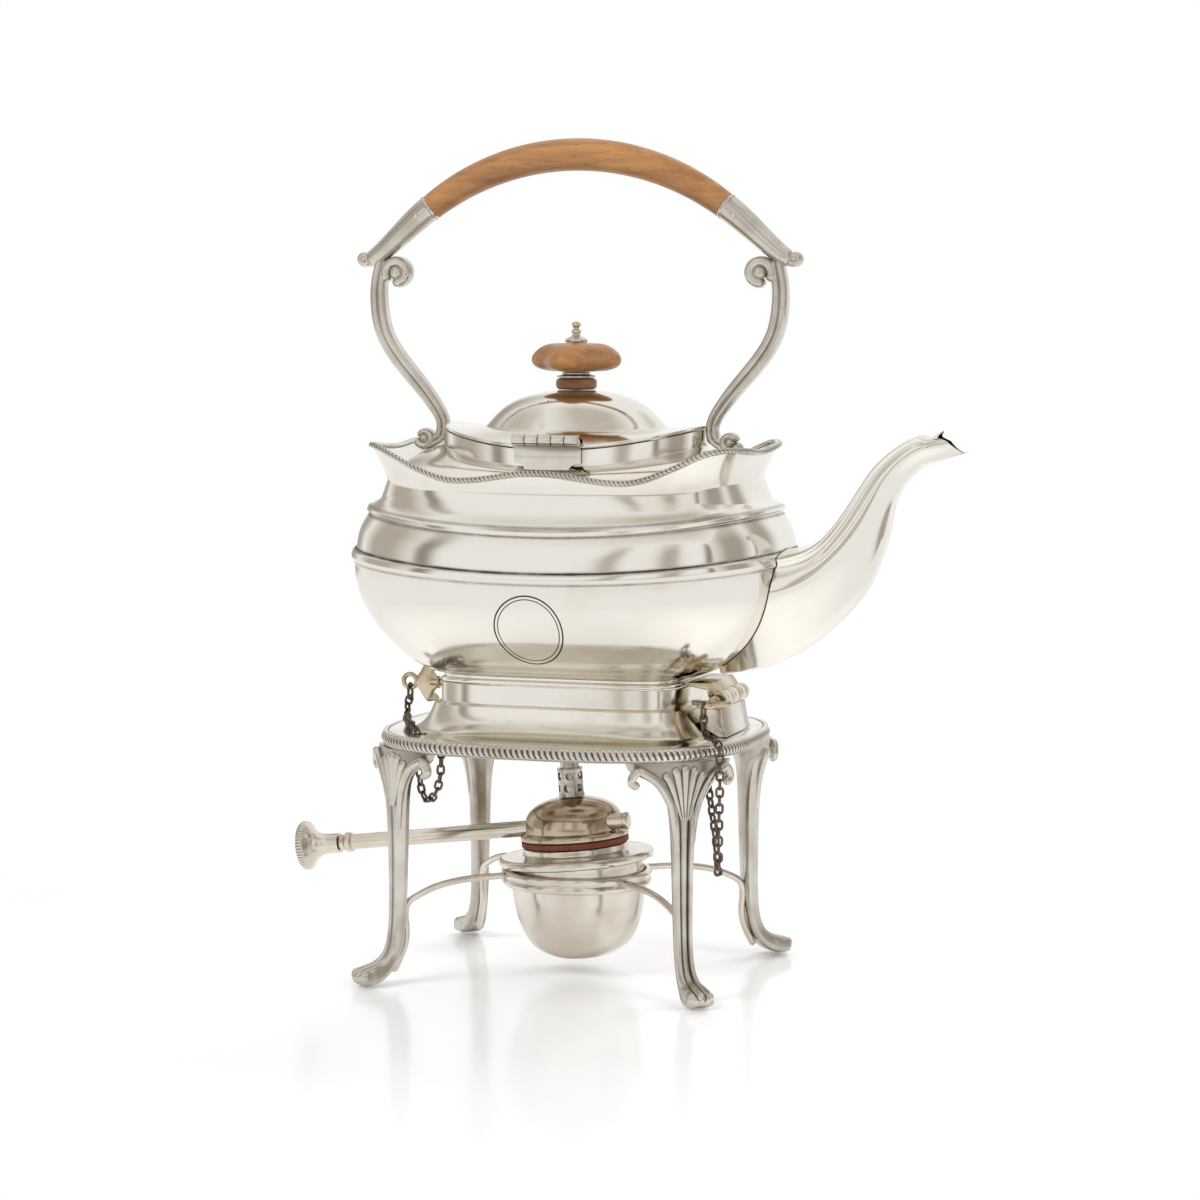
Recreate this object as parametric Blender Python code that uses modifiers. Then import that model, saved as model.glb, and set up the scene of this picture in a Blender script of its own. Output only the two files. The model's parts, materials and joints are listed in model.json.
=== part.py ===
"""A silver spirit kettle on its lamp stand.

The kettle is an oblong bellied body with a waved rim, a hinged lid and a fixed
overhead handle. It sits on the collar of a four legged stand, where it is hinged
at the spout end and pinned at the other end. A spirit lamp hangs in a ring that
four stretchers carry between the legs.

Units are metres. X runs along the kettle to the spout, -Y is the front and +Z up.
The model is drawn about the middle of the stand and carried by one root empty.
"""
import math

import bmesh
import bpy
from mathutils import Matrix, Vector

# Clearances and stock
GAP = 0.0003
RUNNING_GAP = 0.00035
SHEET = 0.0012
OVERRUN = 0.002
WELD = 0.00001

# Detail
BODY_POINTS = 36
OVAL_POINTS = 30
TURNED_STEPS = 18
GRIP_POINTS = 13
SMALL_STEPS = 12

# Platform of the stand
PLATFORM_LENGTH = 0.1350
PLATFORM_WIDTH = 0.1182
PLATFORM_HEIGHT = 0.0924
PLATFORM_POWER = 2.84
BORDER_HEIGHT = 0.0050
BORDER_DEPTH = 0.0024
SKIRT_HEIGHT = 0.0110
SKIRT_SPREAD = 0.0130
SKIRT_LEDGE = 0.0023
COLLAR_LENGTH = 0.0940
COLLAR_WIDTH = 0.0650
COLLAR_POWER = 5.0
COLLAR_HEIGHT = 0.0072
CHAIN_HOLE_RADIUS = 0.0028

# Legs and stretchers
LEG_ALONG = 0.0546
LEG_ACROSS = 0.0437
LEG_TURN = math.radians(50.0)
LEG_REACH = 0.0182
LEG_HALF_WIDTH = 0.0205
LEG_HALF_DEPTH = 0.0034
LEG_WRAP_RADIUS = 0.0450
LEG_SCROLL_RADIUS = 0.0039
LEG_SCROLL_DEPTH = 0.0052
STRETCHER_RADIUS = 0.0013

# Kettle body
BODY_LENGTH = 0.1640
BODY_WIDTH = 0.1120
BODY_HEIGHT = 0.0710
BODY_END_RISE = 0.0072
RIM_WAVE = 0.0123
RIM_FLARE = 0.0042
RIM_BEAD_WIDTH = 0.0030
RIM_BEAD_HEIGHT = 0.0024
FOOT_HEIGHT = 0.0030
FOOT_WALL = 0.0030

# Lid, collar of the lid and shoulder
LID_LENGTH = 0.1004
LID_WIDTH = 0.0652
LID_POWER = 2.3
LID_HEIGHT = 0.0205
LID_EDGE = 0.0012
LID_COLLAR_HEIGHT = 0.0062
LID_COLLAR_INSET = 0.0002
SHOULDER_HEIGHT = 0.0072
LID_END_RISE = 0.0068
VENT_RADIUS = 0.0008
LID_SWING_BARREL = 0.0022
LID_SWING_LENGTH = 0.0254
LID_SWING_KNUCKLES = 5
LID_SWING_PIN = 0.0009
LID_LEAF = 0.0011
LID_LEAF_DROP = 0.0090

# Knob of the lid
KNOB_RADIUS = 0.0172
KNOB_HEIGHT = 0.0103
KNOB_LOBE = 0.0012
KNOB_RING_RADIUS = 0.0076
KNOB_RING_HEIGHT = 0.0041
KNOB_NECK_RADIUS = 0.0052
KNOB_NECK_HEIGHT = 0.0020
STUD_RADIUS = 0.0013
FINIAL_RADIUS = 0.0043
FINIAL_HEIGHT = 0.0080
NUT_RADIUS = 0.0034
NUT_HEIGHT = 0.0022

# Handle
HANDLE_TOP = 0.3110
GRIP_SPAN = 0.1136
GRIP_SAGITTA = 0.0188
GRIP_RADIUS = 0.0060
GRIP_END_RADIUS = 0.0049
ARM_HALF_WIDTH = 0.0028
ARM_HALF_DEPTH = 0.0034
ARM_SPREAD = 0.0782
ARM_FOOT_X = 0.0527
SCROLL_INNER_RADIUS = 0.0048
SCROLL_OUTER_RADIUS = 0.0034
SCROLL_FOOT_RADIUS = 0.0027
SCROLL_DEPTH = 0.0074
ARM_TOP_DROP = 0.0468
ARM_FOOT_LIFT = 0.0034
HEAD_SCROLL_IN = 0.0062
HEAD_SCROLL_DROP = 0.0026
FOOT_SCROLL_OUT = 0.0066
FOOT_SCROLL_DROP = 0.0012
SOCKET_OUT = 0.0022
SOCKET_DROP = 0.0440
RIVET_RADIUS = 0.0010
RIVET_HEIGHT = 0.0006

# Spout
SPOUT_REACH = 0.1490
SPOUT_ROOT = 0.0560
SPOUT_TOP = 0.2035
SPOUT_HALF_WIDTH = 0.0215

# Tilting hinge at the spout end
TILT_X = 0.0594
TILT_ABOVE_PLATFORM = 0.0136
TILT_BARREL = 0.0033
TILT_LENGTH = 0.0320
TILT_KNUCKLES = 7
TILT_PIN = 0.0013

# Pins with thumb plates and their rings
THUMB_LENGTH = 0.0085
THUMB_WIDTH = 0.0150
PIN_NECK = 0.0030
THUMB_THICKNESS = 0.0016
LOOP_RADIUS = 0.0026
LOOP_WIRE = 0.0009
LOCK_PIN_RADIUS = 0.0014
LOCK_SOCKET_RADIUS = 0.0030
LOCK_SOCKET_LENGTH = 0.0050
LOCK_TONGUE_WIDTH = 0.0100
LOCK_TONGUE_LENGTH = 0.0070

# Chains
LINK_LENGTH = 0.0047
LINK_WIDTH = 0.0031
LINK_WIRE = 0.0004
LINK_BITE = 0.0005
RING_RADIUS = 0.0021
RING_STRETCH = 0.0009
RING_WIRE = 0.0005
EYE_RADIUS = 0.0017
EYE_WIRE = 0.0005

# Lamp
LAMP_LEAN = math.radians(4.5)
HOLDER_TOP = 0.0389
HOLDER_HEIGHT = 0.0062
HOLDER_BORE = 0.0262
HOLDER_WALL = 0.0023
BOWL_RADIUS = 0.0250
BOWL_DEPTH = 0.0358
FLANGE_RADIUS = 0.0293
FLANGE_HEIGHT = 0.0040
NECK_RADIUS = 0.0198
NECK_HEIGHT = 0.0024
WASHER_HEIGHT = 0.0021
CAP_RADIUS = 0.0204
CAP_HEIGHT = 0.0152
GALLERY_RADIUS = 0.0047
GALLERY_HEIGHT = 0.0108
GALLERY_HOLE = 0.0011
GALLERY_HOLES = 6
WICK_TUBE_RADIUS = 0.0035
WICK_TUBE_WALL = 0.0006
WICK_TUBE_HEIGHT = 0.0190
WICK_RADIUS = 0.0025
WICK_TAIL = 0.0330
WINDER_DROOP = math.radians(2.6)
WINDER_RADIUS = 0.0030
WINDER_BORE = 0.0016
WINDER_LENGTH = 0.0800
WINDER_OFFSET = 0.0060
WINDER_HEIGHT = 0.0053
WINDER_ROOT_SHARE = 0.62
WINDER_ROD = 0.0011
WINDER_WHEEL = 0.0020
TRUMPET_RADIUS = 0.0093
TRUMPET_LENGTH = 0.0150
STUB_LENGTH = 0.0070

# Heights that follow
COLLAR_TOP = PLATFORM_HEIGHT + SKIRT_HEIGHT + COLLAR_HEIGHT
FOOT_BASE = COLLAR_TOP + GAP
BODY_BASE = FOOT_BASE + FOOT_HEIGHT + GAP
BORDER_BASE = PLATFORM_HEIGHT - BORDER_HEIGHT
SHOULDER_BASE = BODY_BASE + BODY_HEIGHT - SHEET
LID_SEAT = SHOULDER_BASE + SHOULDER_HEIGHT + LID_COLLAR_HEIGHT
LID_BASE = LID_SEAT + GAP
TILT_Z = PLATFORM_HEIGHT + TILT_ABOVE_PLATFORM

# Half length, half width, power, height, end rise, wave and flare down the body,
# each a share of the body's own size, from the foot up to the rim
BODY_SHARES = (
    (0.600, 0.600, 4.2, 0.000, 0.00, 0.0, 0.0),
    (0.665, 0.660, 3.6, 0.020, 0.00, 0.0, 0.0),
    (0.757, 0.750, 3.2, 0.075, 0.07, 0.0, 0.0),
    (0.858, 0.850, 3.0, 0.170, 0.15, 0.0, 0.0),
    (0.936, 0.936, 3.0, 0.285, 0.30, 0.0, 0.0),
    (0.990, 0.990, 3.0, 0.410, 0.52, 0.0, 0.0),
    (0.992, 0.992, 3.0, 0.500, 0.72, 0.0, 0.0),
    (1.004, 1.004, 3.0, 0.514, 0.75, 0.0, 0.0),
    (1.002, 1.002, 3.0, 0.552, 0.86, 0.0, 0.0),
    (0.984, 0.980, 3.0, 0.566, 0.92, 0.0, 0.0),
    (0.968, 0.961, 3.0, 0.650, 0.96, 0.0, 0.0),
    (0.924, 0.910, 3.0, 0.738, 1.00, 0.0, 0.0),
    (0.938, 0.930, 3.0, 0.752, 1.00, 0.0, 0.0),
    (0.932, 0.922, 3.0, 0.768, 1.00, 0.0, 0.0),
    (0.886, 0.866, 3.3, 0.802, 0.90, 0.0, 0.0),
    (0.836, 0.806, 3.8, 0.885, 0.50, 0.0, 0.0),
    (0.822, 0.786, 4.0, 0.955, 0.20, 0.35, 0.1),
    (0.830, 0.796, 4.0, 1.000, 0.00, 1.0, 1.0),
)
# The inside of the wall follows these rows of the table above, from the rim down
BODY_INSIDE_ROWS = (17, 16, 14, 9, 5, 2, 1)

# Crests and dips of the rim: turn from the end of the kettle, share of the wave
RIM_TURNS = (0.0, math.radians(41.0), math.radians(64.5), math.radians(90.0))
RIM_SHARES = (0.72, 1.0, 0.0, 0.34)

# Skirt between platform and collar: spread, height, and share of the way from the
# platform's outline to the collar's
SKIRT_SHARES = (
    (0.00, 1.00, 1.00),
    (0.05, 0.80, 0.95),
    (0.19, 0.48, 0.80),
    (0.43, 0.20, 0.55),
    (0.62, 0.08, 0.35),
    (1.00, 0.01, 0.20),
)

# Section of a leg, across and outward
REED_SHARES = (
    (-1.00, -0.40), (-1.00, 0.25), (-0.72, 0.75), (-0.42, 0.50), (-0.18, 1.00),
    (0.18, 1.00), (0.42, 0.50), (0.72, 0.75), (1.00, 0.25), (1.00, -0.40),
    (0.40, -0.85), (-0.40, -0.85),
)
# Down a leg: height, reach, half width and half depth
LEG_SHARES = (
    (1.000, 0.055, 1.000, 0.74),
    (0.965, 0.055, 0.920, 0.78),
    (0.925, 0.044, 0.620, 0.88),
    (0.880, 0.033, 0.400, 0.97),
    (0.815, 0.016, 0.280, 1.00),
    (0.710, 0.000, 0.215, 1.00),
    (0.520, 0.000, 0.185, 0.91),
    (0.340, 0.016, 0.170, 0.85),
    (0.225, 0.100, 0.160, 0.80),
    (0.137, 0.285, 0.160, 0.76),
    (0.072, 0.530, 0.215, 0.86),
    (0.024, 0.760, 0.280, 0.95),
    (0.020, 0.930, 0.265, 0.80),
    (0.006, 1.000, 0.200, 0.60),
)
# Stretcher from the holder ring towards the back of a leg: way out and height above
# the point where it meets the leg, then the rows of the leg that it runs behind
STRETCHER_SHARES = (
    (0.00, 1.000), (0.28, 0.985), (0.52, 0.880), (0.74, 0.640), (0.90, 0.320),
)
STRETCHER_TOP_ROW = 7
STRETCHER_END_ROW = 11

# Lid from its edge to the stud: half length, half width, power, height and rise
LID_SHARES = (
    (1.000, 1.000, 2.30, 0.000, 1.00),
    (1.000, 1.000, 2.30, 0.060, 1.00),
    (0.880, 0.880, 2.20, 0.185, 0.48),
    (0.690, 0.730, 2.10, 0.305, 0.08),
    (0.655, 0.690, 2.05, 0.430, 0.00),
    (0.550, 0.590, 2.00, 0.680, 0.00),
    (0.380, 0.440, 2.00, 0.890, 0.00),
    (0.160, 0.246, 2.00, 1.000, 0.00),
)
# Shoulder from the neck up to the collar: half length, half width, height, rise
SHOULDER_SHARES = (
    (0.000, 0.000, 0.00, 0.45),
    (0.360, 0.360, 0.52, 0.80),
    (0.900, 0.900, 0.95, 0.97),
    (1.000, 1.000, 1.00, 1.00),
)

# Spout, top line and bottom line, as reach and height, with the half widths
SPOUT_SHARES = (
    ((-0.02, 0.520), (0.02, 0.005), 0.92, 0.36),
    ((0.200, 0.520), (0.160, 0.030), 0.88, 0.38),
    ((0.330, 0.535), (0.250, 0.060), 0.80, 0.36),
    ((0.425, 0.580), (0.370, 0.130), 0.66, 0.32),
    ((0.485, 0.650), (0.475, 0.220), 0.54, 0.28),
    ((0.535, 0.730), (0.575, 0.335), 0.44, 0.25),
    ((0.585, 0.815), (0.640, 0.460), 0.36, 0.23),
    ((0.635, 0.885), (0.682, 0.600), 0.31, 0.21),
    ((0.722, 0.960), (0.700, 0.705), 0.28, 0.19),
    ((0.805, 1.000), (0.742, 0.795), 0.26, 0.17),
    ((0.840, 0.990), (0.812, 0.870), 0.25, 0.16),
)
# Section of the spout: place across and place from bottom to top
SPOUT_SECTION_SHARES = (
    (0.00, 1.00), (0.55, 0.98), (0.92, 0.90), (1.00, 0.76), (0.80, 0.38), (0.52, 0.06),
    (0.00, 0.00),
)

# Arm of the handle from its top to its foot, as spread and height
ARM_SHARES = (
    (0.950, 1.000), (0.995, 0.910), (1.000, 0.760), (0.915, 0.600), (0.688, 0.450),
    (0.370, 0.300), (0.120, 0.170), (0.000, 0.060), (0.020, 0.000),
)
# Curl from an arm's foot towards its scroll, as shares of the scroll's place
FOOT_CURL_SHARES = ((0.00, 0.00), (0.33, 0.67), (0.79, -0.17))
# Bend and scroll of a socket's tip, as shares of the tip's place out from the arm
SOCKET_BEND_SHARES = (-2.82, 1.64)
SOCKET_EYE_SHARES = (0.55, 0.27)
ARM_WIDTH_SHARES = (0.90, 0.95, 1.00, 1.00, 1.00, 0.95, 0.85, 0.78, 0.80)
ARM_SECTION_SHARES = (
    (-1.00, -0.60), (-0.45, -1.00), (0.00, -0.74), (0.45, -1.00), (1.00, -0.60),
    (1.00, 0.60), (0.45, 1.00), (0.00, 0.74), (-0.45, 1.00), (-1.00, 0.60),
)

# Turned outlines: radius and height
HOLDER_SHARES = (
    (0.00, 1.00), (0.75, 1.00), (1.00, 0.82), (0.80, 0.60), (0.60, 0.52), (0.80, 0.42),
    (0.92, 0.25), (0.60, 0.05), (0.00, 0.00),
)
BOWL_SHARES = (
    (1.000, 1.00), (0.990, 0.64), (0.905, 0.43), (0.735, 0.18), (0.460, 0.03),
    (0.360, 0.00), (0.000, 0.00),
)
CAP_SHARES = (
    (0.00, 1.000), (0.30, 0.985), (0.62, 0.860), (0.84, 0.620), (0.905, 0.350),
    (0.910, 0.190), (1.000, 0.130), (1.000, 0.000),
)
FINIAL_SHARES = (
    (0.00, 1.00), (0.30, 0.94), (0.44, 0.82), (0.30, 0.70), (0.22, 0.64), (0.42, 0.56),
    (0.44, 0.46), (0.28, 0.38), (0.50, 0.28), (0.95, 0.16), (1.00, 0.06), (0.90, 0.00),
)
TRUMPET_SHARES = (
    (1.000, 1.00), (1.000, 0.84), (0.880, 0.80), (0.560, 0.62), (0.430, 0.42),
    (0.409, 0.00),
)
KNOB_SHARES = (
    (0.24, 1.00), (0.62, 0.97), (0.90, 0.72), (1.00, 0.42), (0.93, 0.18), (0.66, 0.02),
    (0.30, 0.00),
)

# Routes of the chains, points chosen by hand about the middle of the stand
LEFT_CHAIN_ROUTE = (
    (-0.0679, -0.0004, 0.0975), (-0.0664, -0.0035, 0.0953), (-0.0640, -0.0100, 0.0947),
    (-0.0606, -0.0195, 0.0948), (-0.0560, -0.0295, 0.0952), (-0.0512, -0.0370, 0.0950),
    (-0.0481, -0.0402, 0.0928), (-0.0474, -0.0408, 0.0870), (-0.0474, -0.0408, 0.0790),
    (-0.0466, -0.0410, 0.0720), (-0.0440, -0.0422, 0.0683), (-0.0408, -0.0440, 0.0700),
    (-0.0380, -0.0456, 0.0750), (-0.0368, -0.0464, 0.0820), (-0.0366, -0.0466, 0.0880),
)
RIGHT_CHAIN_ROUTE = (
    (0.0594, -0.0330, 0.0975), (0.0606, -0.0342, 0.0956), (0.0632, -0.0364, 0.0950),
    (0.0666, -0.0392, 0.0938), (0.0676, -0.0406, 0.0900), (0.0677, -0.0407, 0.0800),
    (0.0672, -0.0402, 0.0650), (0.0670, -0.0398, 0.0520), (0.0664, -0.0382, 0.0462),
    (0.0654, -0.0355, 0.0480), (0.0630, -0.0300, 0.0580), (0.0592, -0.0240, 0.0710),
    (0.0572, -0.0206, 0.0800), (0.0570, -0.0200, 0.0880),
)

SILVER = (0.86, 0.83, 0.78)
WOOD = (0.48, 0.20, 0.07)
DARK_SILVER = (0.22, 0.18, 0.15)
GILT = (0.78, 0.66, 0.45)
BRICK = (0.40, 0.08, 0.04)
COTTON = (0.78, 0.74, 0.66)

CORNERS = (
    ("front_left", -1, -1), ("front_right", 1, -1),
    ("back_right", 1, 1), ("back_left", -1, 1),
)


def start():
    """Empty the scene and make the collections."""
    for obj in list(bpy.data.objects):
        bpy.data.objects.remove(obj, do_unlink=True)
    scene = bpy.context.scene.collection
    made = []
    for name in ("spirit_kettle_on_stand", "cutters"):
        group = bpy.data.collections.new(name)
        scene.children.link(group)
        made.append(group)
    return made


PARTS, CUTTERS = start()


def material(name, color, roughness, metallic):
    made = bpy.data.materials.new(name)
    made.use_nodes = True
    shader = made.node_tree.nodes["Principled BSDF"]
    shader.inputs["Base Color"].default_value = (*color, 1.0)
    shader.inputs["Roughness"].default_value = roughness
    shader.inputs["Metallic"].default_value = metallic
    made.diffuse_color = (*color, 1.0)
    return made


def empty(name, place, parent=None, turn=Matrix()):
    """An empty at a place in the stand's frame. It carries what turns or slides."""
    made = bpy.data.objects.new(name, None)
    PARTS.objects.link(made)
    here = Matrix.Translation(place) @ turn
    made["frame"] = [value for row in here for value in row]
    made.parent = parent
    made.matrix_local = frame_of(parent).inverted() @ here if parent else here
    return made


def frame_of(holder):
    """Frame of an empty, in the stand's own frame."""
    if holder is None or "frame" not in holder:
        return Matrix()
    flat = list(holder["frame"])
    return Matrix([flat[0:4], flat[4:8], flat[8:12], flat[12:16]])


def part(name, mesh, finish, parent, smooth=35.0, local=False):
    """A named piece. Its mesh is drawn in the stand's frame, or in its parent's."""
    if not local:
        mesh.transform(frame_of(parent).inverted())
    mesh.materials.clear()
    mesh.materials.append(finish)
    mesh.shade_smooth()
    mesh.set_sharp_from_angle(angle=math.radians(smooth))
    made = bpy.data.objects.new(name, mesh)
    PARTS.objects.link(made)
    made.parent = parent
    return made


def cutter(name, mesh, parent):
    """A tool shape, drawn in the stand's frame and kept out of the model."""
    mesh.transform(frame_of(parent).inverted())
    made = bpy.data.objects.new(name, mesh)
    CUTTERS.objects.link(made)
    made.parent = parent
    made.hide_render = True
    made.display_type = "WIRE"
    return made


def combine(target, tool, operation="DIFFERENCE"):
    step = target.modifiers.new(tool.name, "BOOLEAN")
    step.operation = operation
    step.solver = "EXACT"
    step.object = tool
    return target


def mesh_from(bm, name):
    bmesh.ops.recalc_face_normals(bm, faces=bm.faces)
    mesh = bpy.data.meshes.new(name)
    bm.to_mesh(mesh)
    bm.free()
    return mesh


def loft(name, rings, closed=False):
    """Skin between rings of as many points, capped, or closed into a tube."""
    bm = bmesh.new()
    rows = [[bm.verts.new(point) for point in ring] for ring in rings]
    pairs = list(zip(rows, rows[1:]))
    if closed:
        pairs.append((rows[-1], rows[0]))
    for low, high in pairs:
        for index in range(len(low)):
            after = (index + 1) % len(low)
            bm.faces.new((low[index], low[after], high[after], high[index]))
    if not closed:
        bm.faces.new(rows[0])
        bm.faces.new(rows[-1])
    return mesh_from(bm, name)


def crest(turn):
    """Share of the rim's wave at a turn round the body, with level crests and dips."""
    folded = math.asin(min(1.0, abs(math.sin(turn))))
    for index in range(len(RIM_TURNS) - 1):
        low, high = RIM_TURNS[index], RIM_TURNS[index + 1]
        if folded <= high:
            way = (folded - low) / (high - low)
            ease = (1.0 - math.cos(math.pi * way)) / 2.0
            return RIM_SHARES[index] * (1.0 - ease) + RIM_SHARES[index + 1] * ease
    return RIM_SHARES[-1]


def oval(half_length, half_width, power, height, rise=0.0, wave=0.0, flare=0.0,
         count=OVAL_POINTS):
    """A level oval whose ends may rise and whose edge may wave and flare."""
    ring = []
    for index in range(count):
        turn = 2.0 * math.pi * index / count
        along, across = math.cos(turn), math.sin(turn)
        norm = (abs(along) ** power + abs(across) ** power) ** (1.0 / power)
        lift = crest(turn)
        ring.append(Vector((
            (half_length + flare * lift) * along / norm,
            (half_width + flare * lift) * across / norm,
            height + rise * (along / norm) ** 2 + wave * lift)))
    return ring


def turned(name, outline, steps=TURNED_STEPS, place=Matrix()):
    """Turn an outline of radius and height, which runs down its outer side."""
    mesh = bpy.data.meshes.new(name)
    mesh.from_pydata([(radius, 0.0, height) for radius, height in outline],
                     [(index, index + 1) for index in range(len(outline) - 1)], [])
    return screwed(name, mesh, steps, place)


def turned_ring(name, outline, steps=TURNED_STEPS, place=Matrix()):
    """Turn a closed outline that stays clear of the axis."""
    count = len(outline)
    mesh = bpy.data.meshes.new(name)
    mesh.from_pydata([(radius, 0.0, height) for radius, height in outline],
                     [(index, (index + 1) % count) for index in range(count)], [])
    return screwed(name, mesh, steps, place)


def screwed(name, mesh, steps, place):
    """Run the Screw modifier on a profile and keep the resulting mesh."""
    holder = bpy.data.objects.new(name + "_profile", mesh)
    CUTTERS.objects.link(holder)
    screw = holder.modifiers.new("turn", "SCREW")
    screw.steps = steps
    screw.render_steps = steps
    screw.use_merge_vertices = True
    screw.merge_threshold = WELD
    return settled(holder, place)


def settled(holder, place=Matrix()):
    """Mesh of an object as its modifiers leave it, welded and placed."""
    bpy.context.view_layer.update()
    graph = bpy.context.evaluated_depsgraph_get()
    made = bpy.data.meshes.new_from_object(holder.evaluated_get(graph))
    bpy.data.objects.remove(holder, do_unlink=True)
    bm = bmesh.new()
    bm.from_mesh(made)
    bmesh.ops.remove_doubles(bm, verts=bm.verts, dist=WELD)
    bmesh.ops.recalc_face_normals(bm, faces=bm.faces)
    bm.to_mesh(made)
    bm.free()
    made.transform(place)
    return made


def wire(name, points, radius, resolution=1, closed=False, shares=None):
    """A round wire along points. Shares of its radius may taper it."""
    curve = bpy.data.curves.new(name, "CURVE")
    curve.dimensions = "3D"
    curve.bevel_depth = radius
    curve.bevel_resolution = resolution
    curve.use_fill_caps = True
    spline = curve.splines.new("POLY")
    spline.points.add(len(points) - 1)
    spline.use_cyclic_u = closed
    for index, point in enumerate(points):
        spline.points[index].co = (*point, 1.0)
        spline.points[index].radius = shares[index] if shares else 1.0
    holder = bpy.data.objects.new(name + "_wire", curve)
    CUTTERS.objects.link(holder)
    return settled(holder)


def slab(name, outline, thickness, place, holes=()):
    """A flat outline with holes, extruded evenly to both sides of its plane."""
    curve = bpy.data.curves.new(name, "CURVE")
    curve.dimensions = "2D"
    curve.fill_mode = "BOTH"
    curve.extrude = thickness / 2.0
    for loop in (outline, *holes):
        spline = curve.splines.new("POLY")
        spline.points.add(len(loop) - 1)
        spline.use_cyclic_u = True
        for index, point in enumerate(loop):
            spline.points[index].co = (point[0], point[1], 0.0, 1.0)
    holder = bpy.data.objects.new(name + "_slab", curve)
    CUTTERS.objects.link(holder)
    return settled(holder, place)


def rod(name, radius, low, high, place, steps=SMALL_STEPS):
    """A plain rod along its own Z axis."""
    bm = bmesh.new()
    bmesh.ops.create_cone(bm, cap_ends=True, segments=steps, radius1=radius,
                          radius2=radius, depth=high - low)
    bmesh.ops.translate(bm, verts=bm.verts, vec=(0.0, 0.0, (low + high) / 2.0))
    mesh = mesh_from(bm, name)
    mesh.transform(place)
    return mesh


def tube(name, radius, bore, low, high, place, steps=SMALL_STEPS):
    """A plain tube along its own Z axis."""
    outline = [(radius, high), (radius, low), (bore, low), (bore, high)]
    return turned_ring(name, outline, steps, place)


def arc(radius, start, stop, count, centre=(0.0, 0.0)):
    """Points of a round stretch in a plane, angles in degrees."""
    points = []
    for index in range(count):
        angle = math.radians(start + (stop - start) * index / (count - 1))
        points.append((centre[0] + radius * math.cos(angle),
                       centre[1] + radius * math.sin(angle)))
    return points


def circle(radius, count, centre=(0.0, 0.0)):
    return arc(radius, 0.0, 360.0, count + 1, centre)[:-1]


def along_x(place):
    return Matrix.Translation(place) @ Matrix.Rotation(math.pi / 2.0, 4, "Y")


def along_y(place):
    return Matrix.Translation(place) @ Matrix.Rotation(-math.pi / 2.0, 4, "X")


def facing_y(place):
    """Plane of X and Z, for slabs seen from the front."""
    return Matrix.Translation(place) @ Matrix.Rotation(math.pi / 2.0, 4, "X")


def facing_x(place):
    """Plane of Y and Z, for slabs seen from the end."""
    turn = Matrix(((0, 0, 1, 0), (1, 0, 0, 0), (0, 1, 0, 0), (0, 0, 0, 1)))
    return Matrix.Translation(place) @ turn


def smooth_route(points, spacing):
    """Points at even spacing on a smooth curve through the route's own points."""
    route = [Vector(point) for point in points]
    fine = []
    for index in range(len(route) - 1):
        before = route[max(index - 1, 0)]
        here, there = route[index], route[index + 1]
        after = route[min(index + 2, len(route) - 1)]
        for step in range(12):
            t = step / 12.0
            fine.append(0.5 * ((2.0 * here) + (there - before) * t
                               + (2.0 * before - 5.0 * here + 4.0 * there - after) * t ** 2
                               + (3.0 * here - before - 3.0 * there + after) * t ** 3))
    fine.append(route[-1])
    length = sum((b - a).length for a, b in zip(fine, fine[1:]))
    count = max(2, round(length / spacing))
    pitch = length / count
    placed = [fine[0]]
    run = 0.0
    for a, b in zip(fine, fine[1:]):
        span = (b - a).length
        while run + span >= pitch * len(placed) and len(placed) <= count:
            placed.append(a.lerp(b, (pitch * len(placed) - run) / span))
        run += span
    if len(placed) <= count:
        placed.append(fine[-1])
    return placed


silver = material("silver", SILVER, 0.22, 1.0)
cast_silver = material("cast_silver", (0.72, 0.68, 0.62), 0.34, 1.0)
gilt = material("gilt", GILT, 0.3, 1.0)
dark_silver = material("dark_silver", DARK_SILVER, 0.5, 0.9)
wood = material("wood", WOOD, 0.45, 0.0)
brick = material("brick_washer", BRICK, 0.7, 0.0)
cotton = material("cotton", COTTON, 0.9, 0.0)

root = empty("stand_middle", Vector((0.0, 0.0, 0.0)))
tilt_axis = empty("kettle_tilt_axis", Vector((TILT_X, 0.0, TILT_Z)), root)
LID_AXIS_Y = -(LID_WIDTH / 2.0 + LID_SWING_BARREL + RUNNING_GAP + GAP)
LID_AXIS_Z = LID_BASE + LID_SWING_BARREL + LID_EDGE
lid_axis = empty("lid_axis", Vector((0.0, LID_AXIS_Y, LID_AXIS_Z)), tilt_axis)
hinge_pin_slide = empty("hinge_pin_slide", Vector((TILT_X, 0.0, TILT_Z)), root)
LOCK_Z = COLLAR_TOP - COLLAR_HEIGHT / 2.0
lock_pin_slide = empty("locking_pin_slide",
                       Vector((-COLLAR_LENGTH / 2.0, 0.0, LOCK_Z)), root)
lean = Matrix.Rotation(-LAMP_LEAN, 4, "Y")
LAMP_SEAT = HOLDER_TOP + (HOLDER_BORE + HOLDER_WALL) * math.sin(LAMP_LEAN) + GAP
lamp_lift = empty("lamp_lift", Vector((0.0, 0.0, LAMP_SEAT)), root, lean)
lamp_turn = empty("lamp_cap_axis", Vector((0.0, 0.0, LAMP_SEAT)), lamp_lift, lean)
CAP_BASE = FLANGE_HEIGHT + NECK_HEIGHT + WASHER_HEIGHT + 2.0 * GAP
winder_here = Matrix.Translation((0.0, -WINDER_OFFSET, CAP_BASE + WINDER_HEIGHT))
winder_turn = Matrix.Rotation(-math.pi / 2.0 - WINDER_DROOP, 4, "Y")
winder_frame = Matrix.Translation((0.0, 0.0, LAMP_SEAT)) @ lean @ winder_here @ winder_turn
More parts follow.
